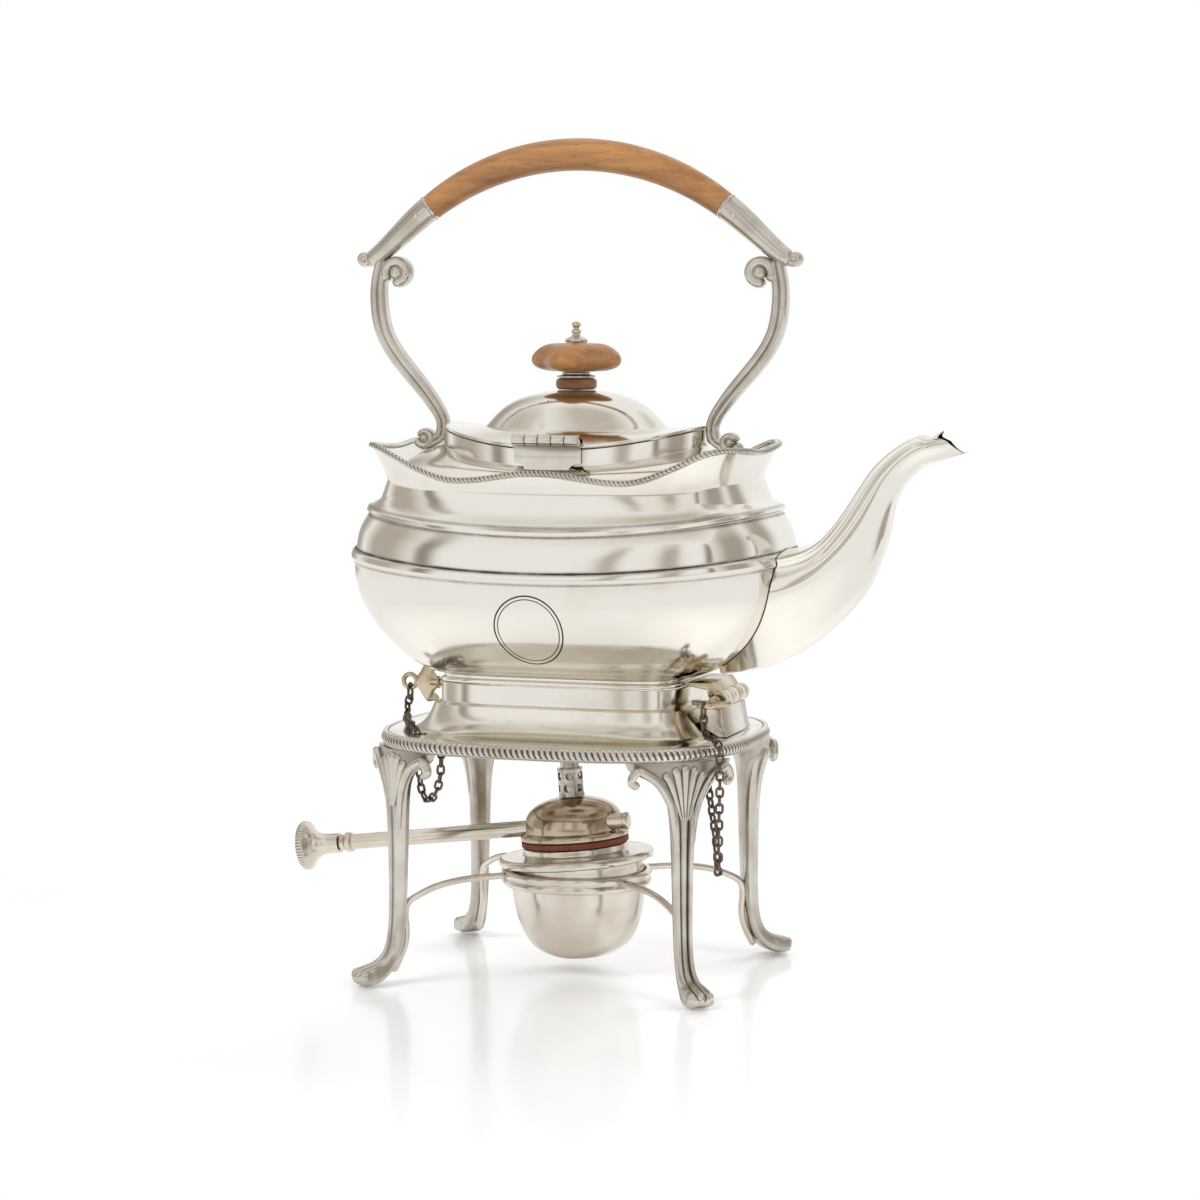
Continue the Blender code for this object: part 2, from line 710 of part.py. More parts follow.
winder_axis = empty("winder_axis", winder_frame.to_translation(), lamp_turn,
                    winder_frame.to_3x3().to_4x4())
wick_slide = empty("wick_slide", Vector((0.0, 0.0, LAMP_SEAT)), lamp_turn, lean)


def platform_ring(spread, height, share):
    """Ring on the platform's skirt: spread from the collar, blended outline."""
    half_length = COLLAR_LENGTH / 2.0 + spread
    half_width = COLLAR_WIDTH / 2.0 + spread
    power = PLATFORM_POWER * (1.0 - share) + COLLAR_POWER * share
    return half_length, half_width, power, height


def make_platform():
    """Sheet platform with its raised skirt and the collar that takes the kettle."""
    skirt_top = PLATFORM_HEIGHT + SKIRT_HEIGHT
    rows = [platform_ring(0.0, COLLAR_TOP, 1.0), platform_ring(0.0, skirt_top, 1.0)]
    for spread, height, share in SKIRT_SHARES:
        rows.append(platform_ring(SKIRT_LEDGE + SKIRT_SPREAD * spread,
                                  PLATFORM_HEIGHT + SKIRT_HEIGHT * height, share))
    rows[2] = platform_ring(SKIRT_LEDGE, skirt_top - SHEET / 2.0, 1.0)
    rows.append((PLATFORM_LENGTH / 2.0, PLATFORM_WIDTH / 2.0, PLATFORM_POWER,
                 PLATFORM_HEIGHT))
    outer = [oval(*row) for row in rows]
    under = [(PLATFORM_LENGTH / 2.0, PLATFORM_WIDTH / 2.0, PLATFORM_POWER,
              PLATFORM_HEIGHT - SHEET)]
    for length, width, power, height in (rows[6], rows[4]):
        under.append((length - SHEET, width - SHEET, power, height - SHEET))
    inside = platform_ring(-SHEET, skirt_top, 1.0)
    under.append((*inside[:3], rows[3][3]))
    under.append((*inside[:3], COLLAR_TOP))
    inner = [oval(*row) for row in under]
    made = part("platform", loft("platform", outer + inner, closed=True), silver, root)
    lock = rod("lock_hole", LOCK_PIN_RADIUS + RUNNING_GAP, -OVERRUN, OVERRUN,
               along_x((-COLLAR_LENGTH / 2.0, 0.0, LOCK_Z)))
    combine(made, cutter("lock_hole", lock, root))
    hole = Vector(LEFT_CHAIN_ROUTE[7])
    drilled = rod("chain_hole", CHAIN_HOLE_RADIUS, -OVERRUN, OVERRUN,
                  Matrix.Translation((hole.x, hole.y, PLATFORM_HEIGHT)))
    combine(made, cutter("chain_hole", drilled, root))
    return made


def edge_band(name, inset, depth, low, height, shares):
    """A band round the platform's edge, as depth and height shares of its section."""
    rings = []
    for out, up in shares:
        rings.append(oval(PLATFORM_LENGTH / 2.0 + inset + depth * out,
                          PLATFORM_WIDTH / 2.0 + inset + depth * out,
                          PLATFORM_POWER, low + height * up))
    return loft(name, rings, closed=True)


def make_border():
    """Half round band that hides the platform's edge."""
    section_shares = ((0.0, 0.0), (0.0, 1.0), (0.55, 1.0), (1.0, 0.68), (1.0, 0.32),
                      (0.55, 0.0))
    band = edge_band("platform_border", GAP, BORDER_DEPTH, BORDER_BASE, BORDER_HEIGHT,
                     section_shares)
    return part("platform_border", band, cast_silver, root)


def leg_frame(side_x, side_y):
    """Shaft's place on the floor, outward direction and direction across a leg."""
    foot = Vector((side_x * LEG_ALONG, side_y * LEG_ACROSS, 0.0))
    out = Vector((side_x * math.cos(LEG_TURN), side_y * math.sin(LEG_TURN), 0.0))
    across = Vector((-out.y, out.x, 0.0))
    return foot, out, across


def leg_spine(side_x, side_y):
    """Middle, forward direction, half width and half depth down a leg."""
    foot, out, across = leg_frame(side_x, side_y)
    top = BORDER_BASE - GAP
    middle = [foot + out * (LEG_REACH * reach) + Vector((0.0, 0.0, top * height))
              for height, reach, _, _ in LEG_SHARES]
    rows = []
    for index, (_, _, width, depth) in enumerate(LEG_SHARES):
        run = middle[min(index + 1, len(middle) - 1)] - middle[max(index - 1, 0)]
        front = run.cross(across).normalized() if index else out.copy()
        if front.dot(out) < 0.0:
            front.negate()
        rows.append((middle[index], front, LEG_HALF_WIDTH * width,
                     LEG_HALF_DEPTH * depth))
    return rows


def make_leg(name, side_x, side_y):
    """Cast leg: fanned head under the corner, reeded shaft and splayed paw."""
    foot, out, across = leg_frame(side_x, side_y)
    top = BORDER_BASE - GAP
    rings = []
    for middle, front, width, depth in leg_spine(side_x, side_y):
        ring = []
        for share_across, share_out in REED_SHARES:
            aside = width * share_across
            point = middle + across * aside + front * (depth * share_out)
            point -= out * (aside ** 2 / (2.0 * LEG_WRAP_RADIUS))
            point.z = max(0.0, min(point.z, top))
            ring.append(point)
        rings.append(ring)
    made = part(name, loft(name, rings), cast_silver, root, smooth=50.0)
    for side in (-1, 1):
        aside = side * (LEG_HALF_WIDTH - LEG_SCROLL_RADIUS / 3.0)
        back = aside ** 2 / (2.0 * LEG_WRAP_RADIUS)
        eye = foot + across * aside + out * (LEG_REACH * LEG_SHARES[0][1] - back)
        eye.z = top - LEG_SCROLL_RADIUS
        slope = aside / LEG_WRAP_RADIUS
        facing = (out + across * slope).normalized()
        turn = facing.to_track_quat("Z", "Y").to_matrix().to_4x4()
        scroll = rod(name + "_scroll", LEG_SCROLL_RADIUS, -LEG_SCROLL_DEPTH / 2.0,
                     LEG_SCROLL_DEPTH / 2.0, Matrix.Translation(eye) @ turn, 10)
        combine(made, cutter(f"{name}_scroll_{side}", scroll, root), "UNION")
    return made


def make_stretcher(name, side_x, side_y):
    """Rod from the holder ring out to the back of a leg and on down behind it."""
    behind = []
    for middle, front, _, depth in leg_spine(side_x, side_y)[STRETCHER_TOP_ROW:
                                                             STRETCHER_END_ROW]:
        back = depth * -REED_SHARES[-1][1] + STRETCHER_RADIUS + GAP
        behind.append(middle - front * back)
    flat = Vector((behind[0].x, behind[0].y, 0.0))
    first = flat.normalized() * (HOLDER_BORE + HOLDER_WALL + GAP)
    low = behind[0].z
    height = HOLDER_TOP - HOLDER_HEIGHT / 4.0
    points = []
    for way, up in STRETCHER_SHARES:
        point = first.lerp(flat, way)
        point.z = low + (height - low) * up
        points.append(point)
    return part(name, wire(name, points + behind, STRETCHER_RADIUS), silver, root)


def make_holder():
    """Moulded ring that the lamp hangs in."""
    outline = []
    for out, up in HOLDER_SHARES:
        outline.append((HOLDER_BORE + HOLDER_WALL * out,
                        HOLDER_TOP + HOLDER_HEIGHT * (up - 1.0)))
    return part("lamp_holder_ring", turned_ring("lamp_holder_ring", outline), silver, root)


def body_rows(grow=0.0):
    """Sizes of the body's sections, grown by a clearance or shrunk by its wall."""
    rows = []
    for length, width, power, height, rise, wave, flare in BODY_SHARES:
        rows.append((BODY_LENGTH / 2.0 * length + grow, BODY_WIDTH / 2.0 * width + grow,
                     power, BODY_BASE + BODY_HEIGHT * height, BODY_END_RISE * rise,
                     RIM_WAVE * wave, RIM_FLARE * flare))
    return rows


def make_body():
    """Bellied body with two moulded girdles and a waved mouth, open at the top."""
    outside = [oval(*row, BODY_POINTS) for row in body_rows()]
    shrunk = body_rows(-SHEET)
    inside = [oval(*shrunk[index], BODY_POINTS) for index in BODY_INSIDE_ROWS]
    floor = list(shrunk[BODY_INSIDE_ROWS[-1]])
    inside.append(oval(floor[0] - SHEET, floor[1] - SHEET, floor[2], BODY_BASE + SHEET,
                       count=BODY_POINTS))
    made = part("kettle_body", loft("kettle_body", outside + inside), silver, tilt_axis)
    drilled = rod("spout_way", SPOUT_HALF_WIDTH * 0.30, -SHEET * 2.0 - OVERRUN,
                  SHEET * 2.0 + OVERRUN,
                  along_x((BODY_LENGTH / 2.0 * 0.985, 0.0, BODY_BASE + BODY_HEIGHT * 0.42)))
    combine(made, cutter("spout_way", drilled, tilt_axis))
    return made


def body_block():
    """The body's outside as one solid, a clearance larger, to cut its neighbours."""
    return loft("body_block", [oval(*row, BODY_POINTS) for row in body_rows(GAP)])


def make_rim():
    """Gadrooned bead that rides on the waved edge of the body."""
    row = body_rows()[-1]
    section_shares = ((-0.60, 0.00), (0.26, 0.00), (0.26, -0.40), (0.96, -0.20),
                      (0.82, 0.65), (-0.30, 0.90))
    rings = []
    for out, up in section_shares:
        spread = RIM_BEAD_WIDTH / 2.0 * out
        rings.append(oval(row[0] + spread, row[1] + spread, row[2],
                          row[3] + GAP + RIM_BEAD_HEIGHT * up, *row[4:], BODY_POINTS))
    return part("rim_border", loft("rim_border", rings, closed=True), cast_silver,
                tilt_axis)


def make_foot():
    """Moulded foot of the kettle, which stands on the collar of the stand."""
    half_length, half_width = COLLAR_LENGTH / 2.0, COLLAR_WIDTH / 2.0
    top = FOOT_BASE + FOOT_HEIGHT
    shares = ((0.0, 0.0), (0.0, 0.50), (-0.40, 0.62), (-0.30, 1.0), (-1.0, 1.0),
              (-1.0, 0.0))
    rings = [oval(half_length + FOOT_WALL * out, half_width + FOOT_WALL * out,
                  COLLAR_POWER, FOOT_BASE + (top - FOOT_BASE) * up)
             for out, up in shares]
    made = part("kettle_foot", loft("kettle_foot", rings, closed=True), silver, tilt_axis)
    return made


def make_tongue():
    """Slotted tongue under the foot that the locking pin crosses."""
    half = LOCK_TONGUE_WIDTH / 2.0
    slot = LOCK_PIN_RADIUS + RUNNING_GAP
    low = -LOCK_TONGUE_LENGTH / 2.0
    high = FOOT_BASE - LOCK_Z + FOOT_HEIGHT / 2.0
    outline = [(-half, high), (-half, low), (-slot, low)]
    outline += arc(slot, 180.0, 0.0, 7)
    outline += [(slot, low), (half, low), (half, high)]
    place = facing_x((-COLLAR_LENGTH / 2.0 + FOOT_WALL + GAP + SHEET / 2.0, 0.0, LOCK_Z))
    return part("lock_tongue", slab("lock_tongue", outline, SHEET, place), silver,
                tilt_axis)


def make_shoulder():
    """Plate that closes the neck, with the collar of the lid standing on it."""
    neck = body_rows(-SHEET - GAP)[-2]
    collar = (LID_LENGTH / 2.0 - LID_COLLAR_INSET, LID_WIDTH / 2.0 - LID_COLLAR_INSET)
    rows = []
    for length, width, height, rise in SHOULDER_SHARES:
        rows.append((neck[0] + (collar[0] - neck[0]) * length,
                     neck[1] + (collar[1] - neck[1]) * width,
                     neck[2] + (LID_POWER - neck[2]) * length,
                     SHOULDER_BASE + SHOULDER_HEIGHT * height, LID_END_RISE * rise))
    rows.append((collar[0], collar[1], LID_POWER, LID_SEAT, LID_END_RISE))
    outer = [oval(*row) for row in rows]
    inner = [oval(collar[0] - SHEET, collar[1] - SHEET, LID_POWER, LID_SEAT, LID_END_RISE),
             oval(collar[0] - SHEET, collar[1] - SHEET, LID_POWER, rows[3][3] - SHEET,
                  LID_END_RISE)]
    for row in (rows[2], rows[1], rows[0]):
        inner.append(oval(row[0] - SHEET / 3.0, row[1] - SHEET / 3.0, row[2],
                          row[3] - SHEET, row[4]))
    return part("shoulder", loft("shoulder", outer + inner, closed=True), silver, tilt_axis)


def lid_rows(drop=0.0):
    rows = []
    for length, width, power, height, rise in LID_SHARES:
        rows.append([LID_LENGTH / 2.0 * length, LID_WIDTH / 2.0 * width, power,
                     LID_BASE + LID_HEIGHT * height - drop, LID_END_RISE * rise])
    return rows


def make_lid():
    """Oval lid with a raised dome, bored for the knob's stud, with a vent."""
    rows = lid_rows()
    top = rows[-1][3]
    bore = STUD_RADIUS + RUNNING_GAP
    outer = [oval(*row) for row in rows]
    outer.append(oval(bore, bore, 2.0, top))
    under = lid_rows(SHEET)[2:]
    inner = [oval(bore, bore, 2.0, top - SHEET)]
    for row in under[-2::-2]:
        inner.append(oval(row[0] - SHEET / 2.0, row[1] - SHEET / 2.0, *row[2:]))
    inner.append(oval(rows[0][0] - SHEET * 2.0, rows[0][1] - SHEET * 2.0, rows[0][2],
                      rows[0][3], rows[0][4]))
    made = part("lid", loft("lid", outer + inner, closed=True), silver, lid_axis)
    vent = rod("lid_vent", VENT_RADIUS, -LID_HEIGHT, LID_HEIGHT,
               Matrix.Translation((-LID_WIDTH * 0.08, -LID_WIDTH * 0.24, top)), 8)
    combine(made, cutter("lid_vent", vent, lid_axis))
    return made


def knuckle_cuts(target, name, radius, length, count, odd, holder, place):
    """Notch a hinge leaf where the other leaf's knuckles go."""
    width = length / count
    for index in range(count):
        if index % 2 == odd:
            continue
        low = -length / 2.0 + width * index
        high = low + width
        if index == 0:
            low -= OVERRUN
        if index == count - 1:
            high += OVERRUN
        shape = rod(name, radius + RUNNING_GAP, low - GAP / 2.0, high + GAP / 2.0, place, 16)
        combine(target, cutter(f"{name}_{index}", shape, holder))


def make_lid_hinge():
    """Five knuckle hinge at the front of the lid, with its pin."""
    barrel = LID_SWING_BARREL
    bore = circle(LID_SWING_PIN + RUNNING_GAP, 8)
    axis = Vector((0.0, LID_AXIS_Y, LID_AXIS_Z))
    wall = -LID_AXIS_Y - (LID_WIDTH / 2.0 - LID_COLLAR_INSET) - GAP
    fixed = arc(barrel, -45.0, 235.0, 10)
    fixed += [(wall - LID_LEAF, -barrel * 1.15), (wall - LID_LEAF, -LID_LEAF_DROP),
              (wall, -LID_LEAF_DROP), (wall, -barrel * 0.95)]
    leaf = part("lid_hinge_leaf",
                slab("lid_hinge_leaf", fixed, LID_SWING_LENGTH, facing_x(axis), (bore,)),
                silver, tilt_axis)
    knuckle_cuts(leaf, "lid_leaf_notch", barrel, LID_SWING_LENGTH, LID_SWING_KNUCKLES, 0,
                 tilt_axis, along_x(axis))
    for side in (-1, 1):
        corner = rod("leaf_corner", LID_LEAF_DROP / 2.0, -OVERRUN, OVERRUN,
                     Matrix.Translation((side * LID_SWING_LENGTH / 2.0,
                                         LID_AXIS_Y + wall,
                                         LID_AXIS_Z - LID_LEAF_DROP))
                     @ Matrix.Rotation(math.pi / 2.0, 4, "X"), 16)
        combine(leaf, cutter(f"leaf_corner_{side}", corner, tilt_axis))
    rows = lid_rows()
    rest = [(-LID_AXIS_Y - row[1], row[3] + GAP - LID_AXIS_Z) for row in rows[1:4]]
    moving = arc(barrel, 90.0, 340.0, 9)
    moving += [(rest[0][0] + GAP, rest[0][1] + GAP), (rest[1][0], rest[1][1] + GAP),
               (rest[1][0], rest[1][1] + LID_LEAF + GAP), (barrel, barrel)]
    swing = part("lid_hinge_strap",
                 slab("lid_hinge_strap", moving, LID_SWING_LENGTH, facing_x(axis), (bore,)),
                 silver, lid_axis)
    knuckle_cuts(swing, "lid_strap_notch", barrel, LID_SWING_LENGTH, LID_SWING_KNUCKLES, 1,
                 lid_axis, along_x(axis))
    pin = rod("lid_hinge_pin", LID_SWING_PIN, -LID_SWING_LENGTH / 2.0,
              LID_SWING_LENGTH / 2.0, along_x(axis))
    part("lid_hinge_pin", pin, silver, tilt_axis)


def make_knob():
    """Wooden knob on its silver neck, with the finial whose stud holds it."""
    top = LID_BASE + LID_HEIGHT
    bore = STUD_RADIUS + RUNNING_GAP
    ring_base = top + GAP
    ring_top = ring_base + KNOB_RING_HEIGHT
    ring = [(KNOB_RING_RADIUS * 0.94, ring_top),
            (KNOB_RING_RADIUS, ring_base + KNOB_RING_HEIGHT / 2.0),
            (KNOB_RING_RADIUS * 0.94, ring_base), (bore, ring_base), (bore, ring_top)]
    part("knob_ring", turned_ring("knob_ring", ring, 20), wood, lid_axis)
    neck_base = ring_top + GAP
    neck_top = neck_base + KNOB_NECK_HEIGHT
    neck = [(KNOB_NECK_RADIUS, neck_top),
            (KNOB_NECK_RADIUS, neck_base + KNOB_NECK_HEIGHT / 2.0),
            (KNOB_RING_RADIUS * 0.96, neck_base + KNOB_NECK_HEIGHT / 3.0),
            (KNOB_RING_RADIUS * 0.96, neck_base), (bore, neck_base), (bore, neck_top)]
    part("knob_neck", turned_ring("knob_neck", neck, 20), silver, lid_axis)
    base = neck_top + GAP
    rings = []
    count = 20
    for share, up in (*KNOB_SHARES, (None, 0.0), (None, 1.0)):
        ring = []
        for index in range(count):
            turn = 2.0 * math.pi * index / count
            radius = bore
            if share is not None:
                lobe = KNOB_LOBE * math.cos(4.0 * turn) * share
                radius = (KNOB_RADIUS - KNOB_LOBE) * share + lobe
            ring.append(Vector((radius * math.cos(turn), radius * math.sin(turn),
                                base + KNOB_HEIGHT * up)))
        rings.append(ring)
    part("knob", loft("knob", rings, closed=True), wood, lid_axis, smooth=60.0)
    finial_base = base + KNOB_HEIGHT + GAP
    outline = [(FINIAL_RADIUS * out, finial_base + FINIAL_HEIGHT * up)
               for out, up in FINIAL_SHARES]
    stud_end = top - SHEET - GAP - NUT_HEIGHT - GAP
    outline += [(STUD_RADIUS, finial_base), (STUD_RADIUS, stud_end), (0.0, stud_end)]
    part("finial", turned("finial", outline, SMALL_STEPS), silver, lid_axis)
    nut_top = top - SHEET - GAP
    part("knob_nut", tube("knob_nut", NUT_RADIUS, STUD_RADIUS + GAP, nut_top - NUT_HEIGHT,
                          nut_top, Matrix(), 6), silver, lid_axis)


def spout_ring(row, shrink=0.0):
    """Section of the spout between its top and bottom points."""
    top, bottom, wide, narrow = row
    reach = SPOUT_REACH - SPOUT_ROOT
    tall = SPOUT_TOP - BODY_BASE
    high = Vector((SPOUT_ROOT + reach * top[0], 0.0, BODY_BASE + tall * top[1]))
    low = Vector((SPOUT_ROOT + reach * bottom[0], 0.0, BODY_BASE + tall * bottom[1]))
    up = (high - low).normalized()
    high -= up * shrink
    low += up * shrink
    half = SPOUT_HALF_WIDTH * wide - shrink
    keel = SPOUT_HALF_WIDTH * narrow - shrink
    ring = []
    for out, way in SPOUT_SECTION_SHARES:
        reach_out = half * out
        if way < 0.2:
            reach_out = keel * (1.0 if out > 0.0 else 0.0)
        ring.append(low.lerp(high, way) + Vector((0.0, -reach_out, 0.0)))
    for point in reversed(ring[1:-1]):
        ring.append(Vector((point.x, -point.y, point.z)))
    return ring


def make_spout():
    """Hollow tapering spout, cut where it meets the body, with a pointed lip."""
    outer = [spout_ring(row) for row in SPOUT_SHARES]
    reach = SPOUT_REACH - SPOUT_ROOT
    tall = SPOUT_TOP - BODY_BASE
    lip = [point.copy() for point in outer[-1]]
    tip = Vector((SPOUT_REACH, 0.0, BODY_BASE + tall * 0.935))
    count = len(lip)
    for index, point in enumerate(lip):
        way = abs(index - (count / 2.0)) / (count / 2.0)
        pull = (1.0 - way) ** 1.3
        point.x += (tip.x - point.x) * (0.25 + 0.75 * pull) if pull > 0.0 else 0.0
        point.z += (tip.z - point.z) * pull
        point.y *= 1.0 - 0.25 * pull
    lip[0].z += tall * 0.030
    lip[0].x = SPOUT_ROOT + reach * 0.872
    outer.append(lip)
    mouth = [point.lerp(Vector((tip.x - reach * 0.11, 0.0, tip.z)), 0.18) for point in lip]
    mouth[0] = lip[0] - Vector((-SHEET / 2.0, 0.0, SHEET))
    inner = [mouth]
    inner += [spout_ring(row, SHEET) for row in reversed(SPOUT_SHARES)]
    made = part("spout", loft("spout", outer + inner, closed=True), silver, tilt_axis,
                smooth=45.0)
    combine(made, cutter("spout_seat", body_block(), tilt_axis))
    return made


def arm_path(side):
    """Middle line of an arm from under its socket to the shoulder."""
    top = HANDLE_TOP - ARM_TOP_DROP
    low = LID_SEAT + ARM_FOOT_LIFT
    points = []
    for spread, up in ARM_SHARES:
        x = ARM_FOOT_X + (ARM_SPREAD - ARM_FOOT_X) * spread
        points.append(Vector((side * x, 0.0, low + (top - low) * up)))
    return points


def make_arm(name, side):
    """Reeded arm with a scroll at its head and one that curls out at its foot."""
    path = arm_path(side)
    rings = []
    for index, share in enumerate(ARM_WIDTH_SHARES):
        run = path[min(index + 1, len(path) - 1)] - path[max(index - 1, 0)]
        front = Vector((0.0, -1.0, 0.0))
        aside = run.cross(front).normalized()
        rings.append([path[index] + aside * (ARM_HALF_WIDTH * share * across)
                      + front * (ARM_HALF_DEPTH * share * out)
                      for across, out in ARM_SECTION_SHARES])
    made = part(name, loft(name, rings), cast_silver, tilt_axis, smooth=40.0)
    head = path[0] + Vector((-side * HEAD_SCROLL_IN, 0.0, -HEAD_SCROLL_DROP))
    foot = path[-1]
    aside = side * FOOT_SCROLL_OUT
    scrolls = (
        ("head", head, SCROLL_INNER_RADIUS, SCROLL_DEPTH),
        ("foot", foot + Vector((aside, 0.0, -FOOT_SCROLL_DROP)), SCROLL_FOOT_RADIUS,
         SCROLL_DEPTH * 0.8),
    )
    for tag, place, radius, depth in scrolls:
        shape = rod(name, radius, -depth / 2.0, depth / 2.0, along_y(place), 14)
        combine(made, cutter(f"{name}_{tag}", shape, tilt_axis), "UNION")
    curl = [foot + Vector((aside * out, 0.0, -FOOT_SCROLL_DROP * down))
            for out, down in FOOT_CURL_SHARES]
    bridge = wire(name, curl, SCROLL_FOOT_RADIUS * 0.72)
    combine(made, cutter(f"{name}_curl", bridge, tilt_axis), "UNION")
    return made


def grip_arc(count):
    """Middle line of the grip, an arc through its top and both ends."""
    radius = ((GRIP_SPAN / 2.0) ** 2 + GRIP_SAGITTA ** 2) / (2.0 * GRIP_SAGITTA)
    half = math.asin(GRIP_SPAN / 2.0 / radius)
    middle = HANDLE_TOP - GRIP_RADIUS - radius
    points = []
    for index in range(count):
        angle = -half + 2.0 * half * index / (count - 1)
        points.append(Vector((radius * math.sin(angle), 0.0,
                              middle + radius * math.cos(angle))))
    return points


def make_grip():
    count = GRIP_POINTS
    points = grip_arc(count)
    shares = []
    for index in range(count):
        way = abs(2.0 * index / (count - 1) - 1.0)
        shares.append((GRIP_RADIUS + (GRIP_END_RADIUS - GRIP_RADIUS) * way ** 2) / GRIP_RADIUS)
    return part("handle_grip", wire("handle_grip", points, GRIP_RADIUS, 4, False, shares),
                wood, tilt_axis, smooth=50.0)


def make_socket(name, side):
    """Tapering ferrule between the wooden grip and the arm, ending in a scroll."""
    ends = grip_arc(GRIP_POINTS)
    end = ends[-1]
    along = (end - ends[-2]).normalized()
    start = end + along * GAP * 2.0
    tip = Vector((ARM_SPREAD + SOCKET_OUT, 0.0, HANDLE_TOP - SOCKET_DROP))
    first = start + along * (tip - start).length * 0.33
    second = tip + Vector((SOCKET_OUT * SOCKET_BEND_SHARES[0], 0.0,
                           SOCKET_OUT * SOCKET_BEND_SHARES[1]))
    count = 7
    points = []
    for index in range(count):
        t = index / (count - 1)
        point = start * (1 - t) ** 3 + first * 3 * t * (1 - t) ** 2
        point += second * 3 * t ** 2 * (1 - t) + tip * t ** 3
        points.append(Vector((side * point.x, 0.0, point.z)))
    shares = [1.0, 0.96, 0.86, 0.74, 0.62, 0.53, 0.48]
    made = part(name, wire(name, points, GRIP_END_RADIUS, 3, False, shares), silver,
                tilt_axis, smooth=50.0)
    eye = Vector((side * (tip.x + SOCKET_OUT * SOCKET_EYE_SHARES[0]), 0.0,
                  tip.z + SOCKET_OUT * SOCKET_EYE_SHARES[1]))
    scroll = rod(name, SCROLL_OUTER_RADIUS, -SCROLL_DEPTH / 2.0, SCROLL_DEPTH / 2.0,
                 along_y(eye), 12)
    combine(made, cutter(name + "_scroll", scroll, tilt_axis), "UNION")
    return made, points[1]


def make_grip_pin(name, socket, spot):
    """Pin through a socket and the grip's end, with a low head at each side."""
    drilled = rod(name, RIVET_RADIUS + GAP, -GRIP_END_RADIUS - OVERRUN,
                  GRIP_END_RADIUS + OVERRUN, along_y(spot), 8)
    combine(socket, cutter(name + "_hole", drilled, tilt_axis))
    reach = GRIP_END_RADIUS + RIVET_HEIGHT
    return part(name, rod(name, RIVET_RADIUS, -reach, reach, along_y(spot), 8), silver,
                tilt_axis)


def make_tilt_hinge():
    """Hinge between the kettle's foot and the stand, its two leaves notched."""
    barrel = TILT_BARREL
    bore = circle(TILT_PIN + RUNNING_GAP, 8)
    axis = Vector((TILT_X, 0.0, TILT_Z))
    floor = PLATFORM_HEIGHT + GAP - TILT_Z
    outline = arc(barrel, 170.0, -25.0, 9)
    outline += [(barrel * 1.05, floor * 0.45), (barrel * 1.7, floor * 0.75),
                (barrel * 2.1, floor), (barrel * 0.55, floor)]
    for spread, up, _ in (SKIRT_SHARES[4], SKIRT_SHARES[3], SKIRT_SHARES[2]):
        x = COLLAR_LENGTH / 2.0 + SKIRT_LEDGE + SKIRT_SPREAD * spread - TILT_X
        outline.append((x + 2.0 * GAP, floor + SKIRT_HEIGHT * up + GAP))
    outline.append((-barrel * 1.9, -barrel * 0.8))
    bracket = part("hinge_bracket",
                   slab("hinge_bracket", outline, TILT_LENGTH, facing_y(axis), (bore,)),
                   cast_silver, root)
    knuckle_cuts(bracket, "bracket_notch", barrel, TILT_LENGTH, TILT_KNUCKLES, 0, root,
                 along_y(axis))
    wall = COLLAR_LENGTH / 2.0 + GAP - TILT_X
    low = FOOT_BASE + GAP - TILT_Z
    high = FOOT_BASE + FOOT_HEIGHT / 2.0 - TILT_Z
    leaf = arc(barrel, 60.0, -160.0, 10)
    leaf += [(-barrel * 1.25, low * 0.75), (wall, low), (wall, high), (-barrel, high)]
    strap = part("hinge_leaf",
                 slab("hinge_leaf", leaf, TILT_LENGTH, facing_y(axis), (bore,)),
                 silver, tilt_axis)
    knuckle_cuts(strap, "leaf_notch", barrel, TILT_LENGTH, TILT_KNUCKLES, 1, tilt_axis,
                 along_y(axis))


def thumb_plate(name, place):
    """Shield shaped plate with concave shoulders, drawn with its stem end at zero."""
    half = THUMB_WIDTH / 2.0
    neck = LOCK_PIN_RADIUS * 1.4
    outline = [(0.0, neck)]
    outline += arc(half * 0.55, 250.0, 200.0, 4, (THUMB_LENGTH * 0.36, half * 1.05))
    outline += [(THUMB_LENGTH * 0.42, half), (THUMB_LENGTH * 0.80, half * 0.50),
                (THUMB_LENGTH, half * 0.22)]
    outline += [(x, -y) for x, y in reversed(outline)]
    return slab(name, outline, THUMB_THICKNESS, place)


def stretched_ring(name, radius, stretch, wire_radius, place, major=8, minor=4):
    """A torus whose two halves are moved apart, as a chain link or an oval ring."""
    bpy.ops.mesh.primitive_torus_add(major_segments=major, minor_segments=minor,
                                     major_radius=radius, minor_radius=wire_radius)
    holder = bpy.context.object
    mesh = holder.data.copy()
    bpy.data.objects.remove(holder, do_unlink=True)
    for vertex in mesh.vertices:
        if abs(vertex.co.x) > radius / 100.0:
            vertex.co.x += math.copysign(stretch, vertex.co.x)
    mesh.transform(place)
    mesh.name = name
    return mesh


def joined(name, meshes):
    bm = bmesh.new()
    for mesh in meshes:
        bm.from_mesh(mesh)
    return mesh_from(bm, name)


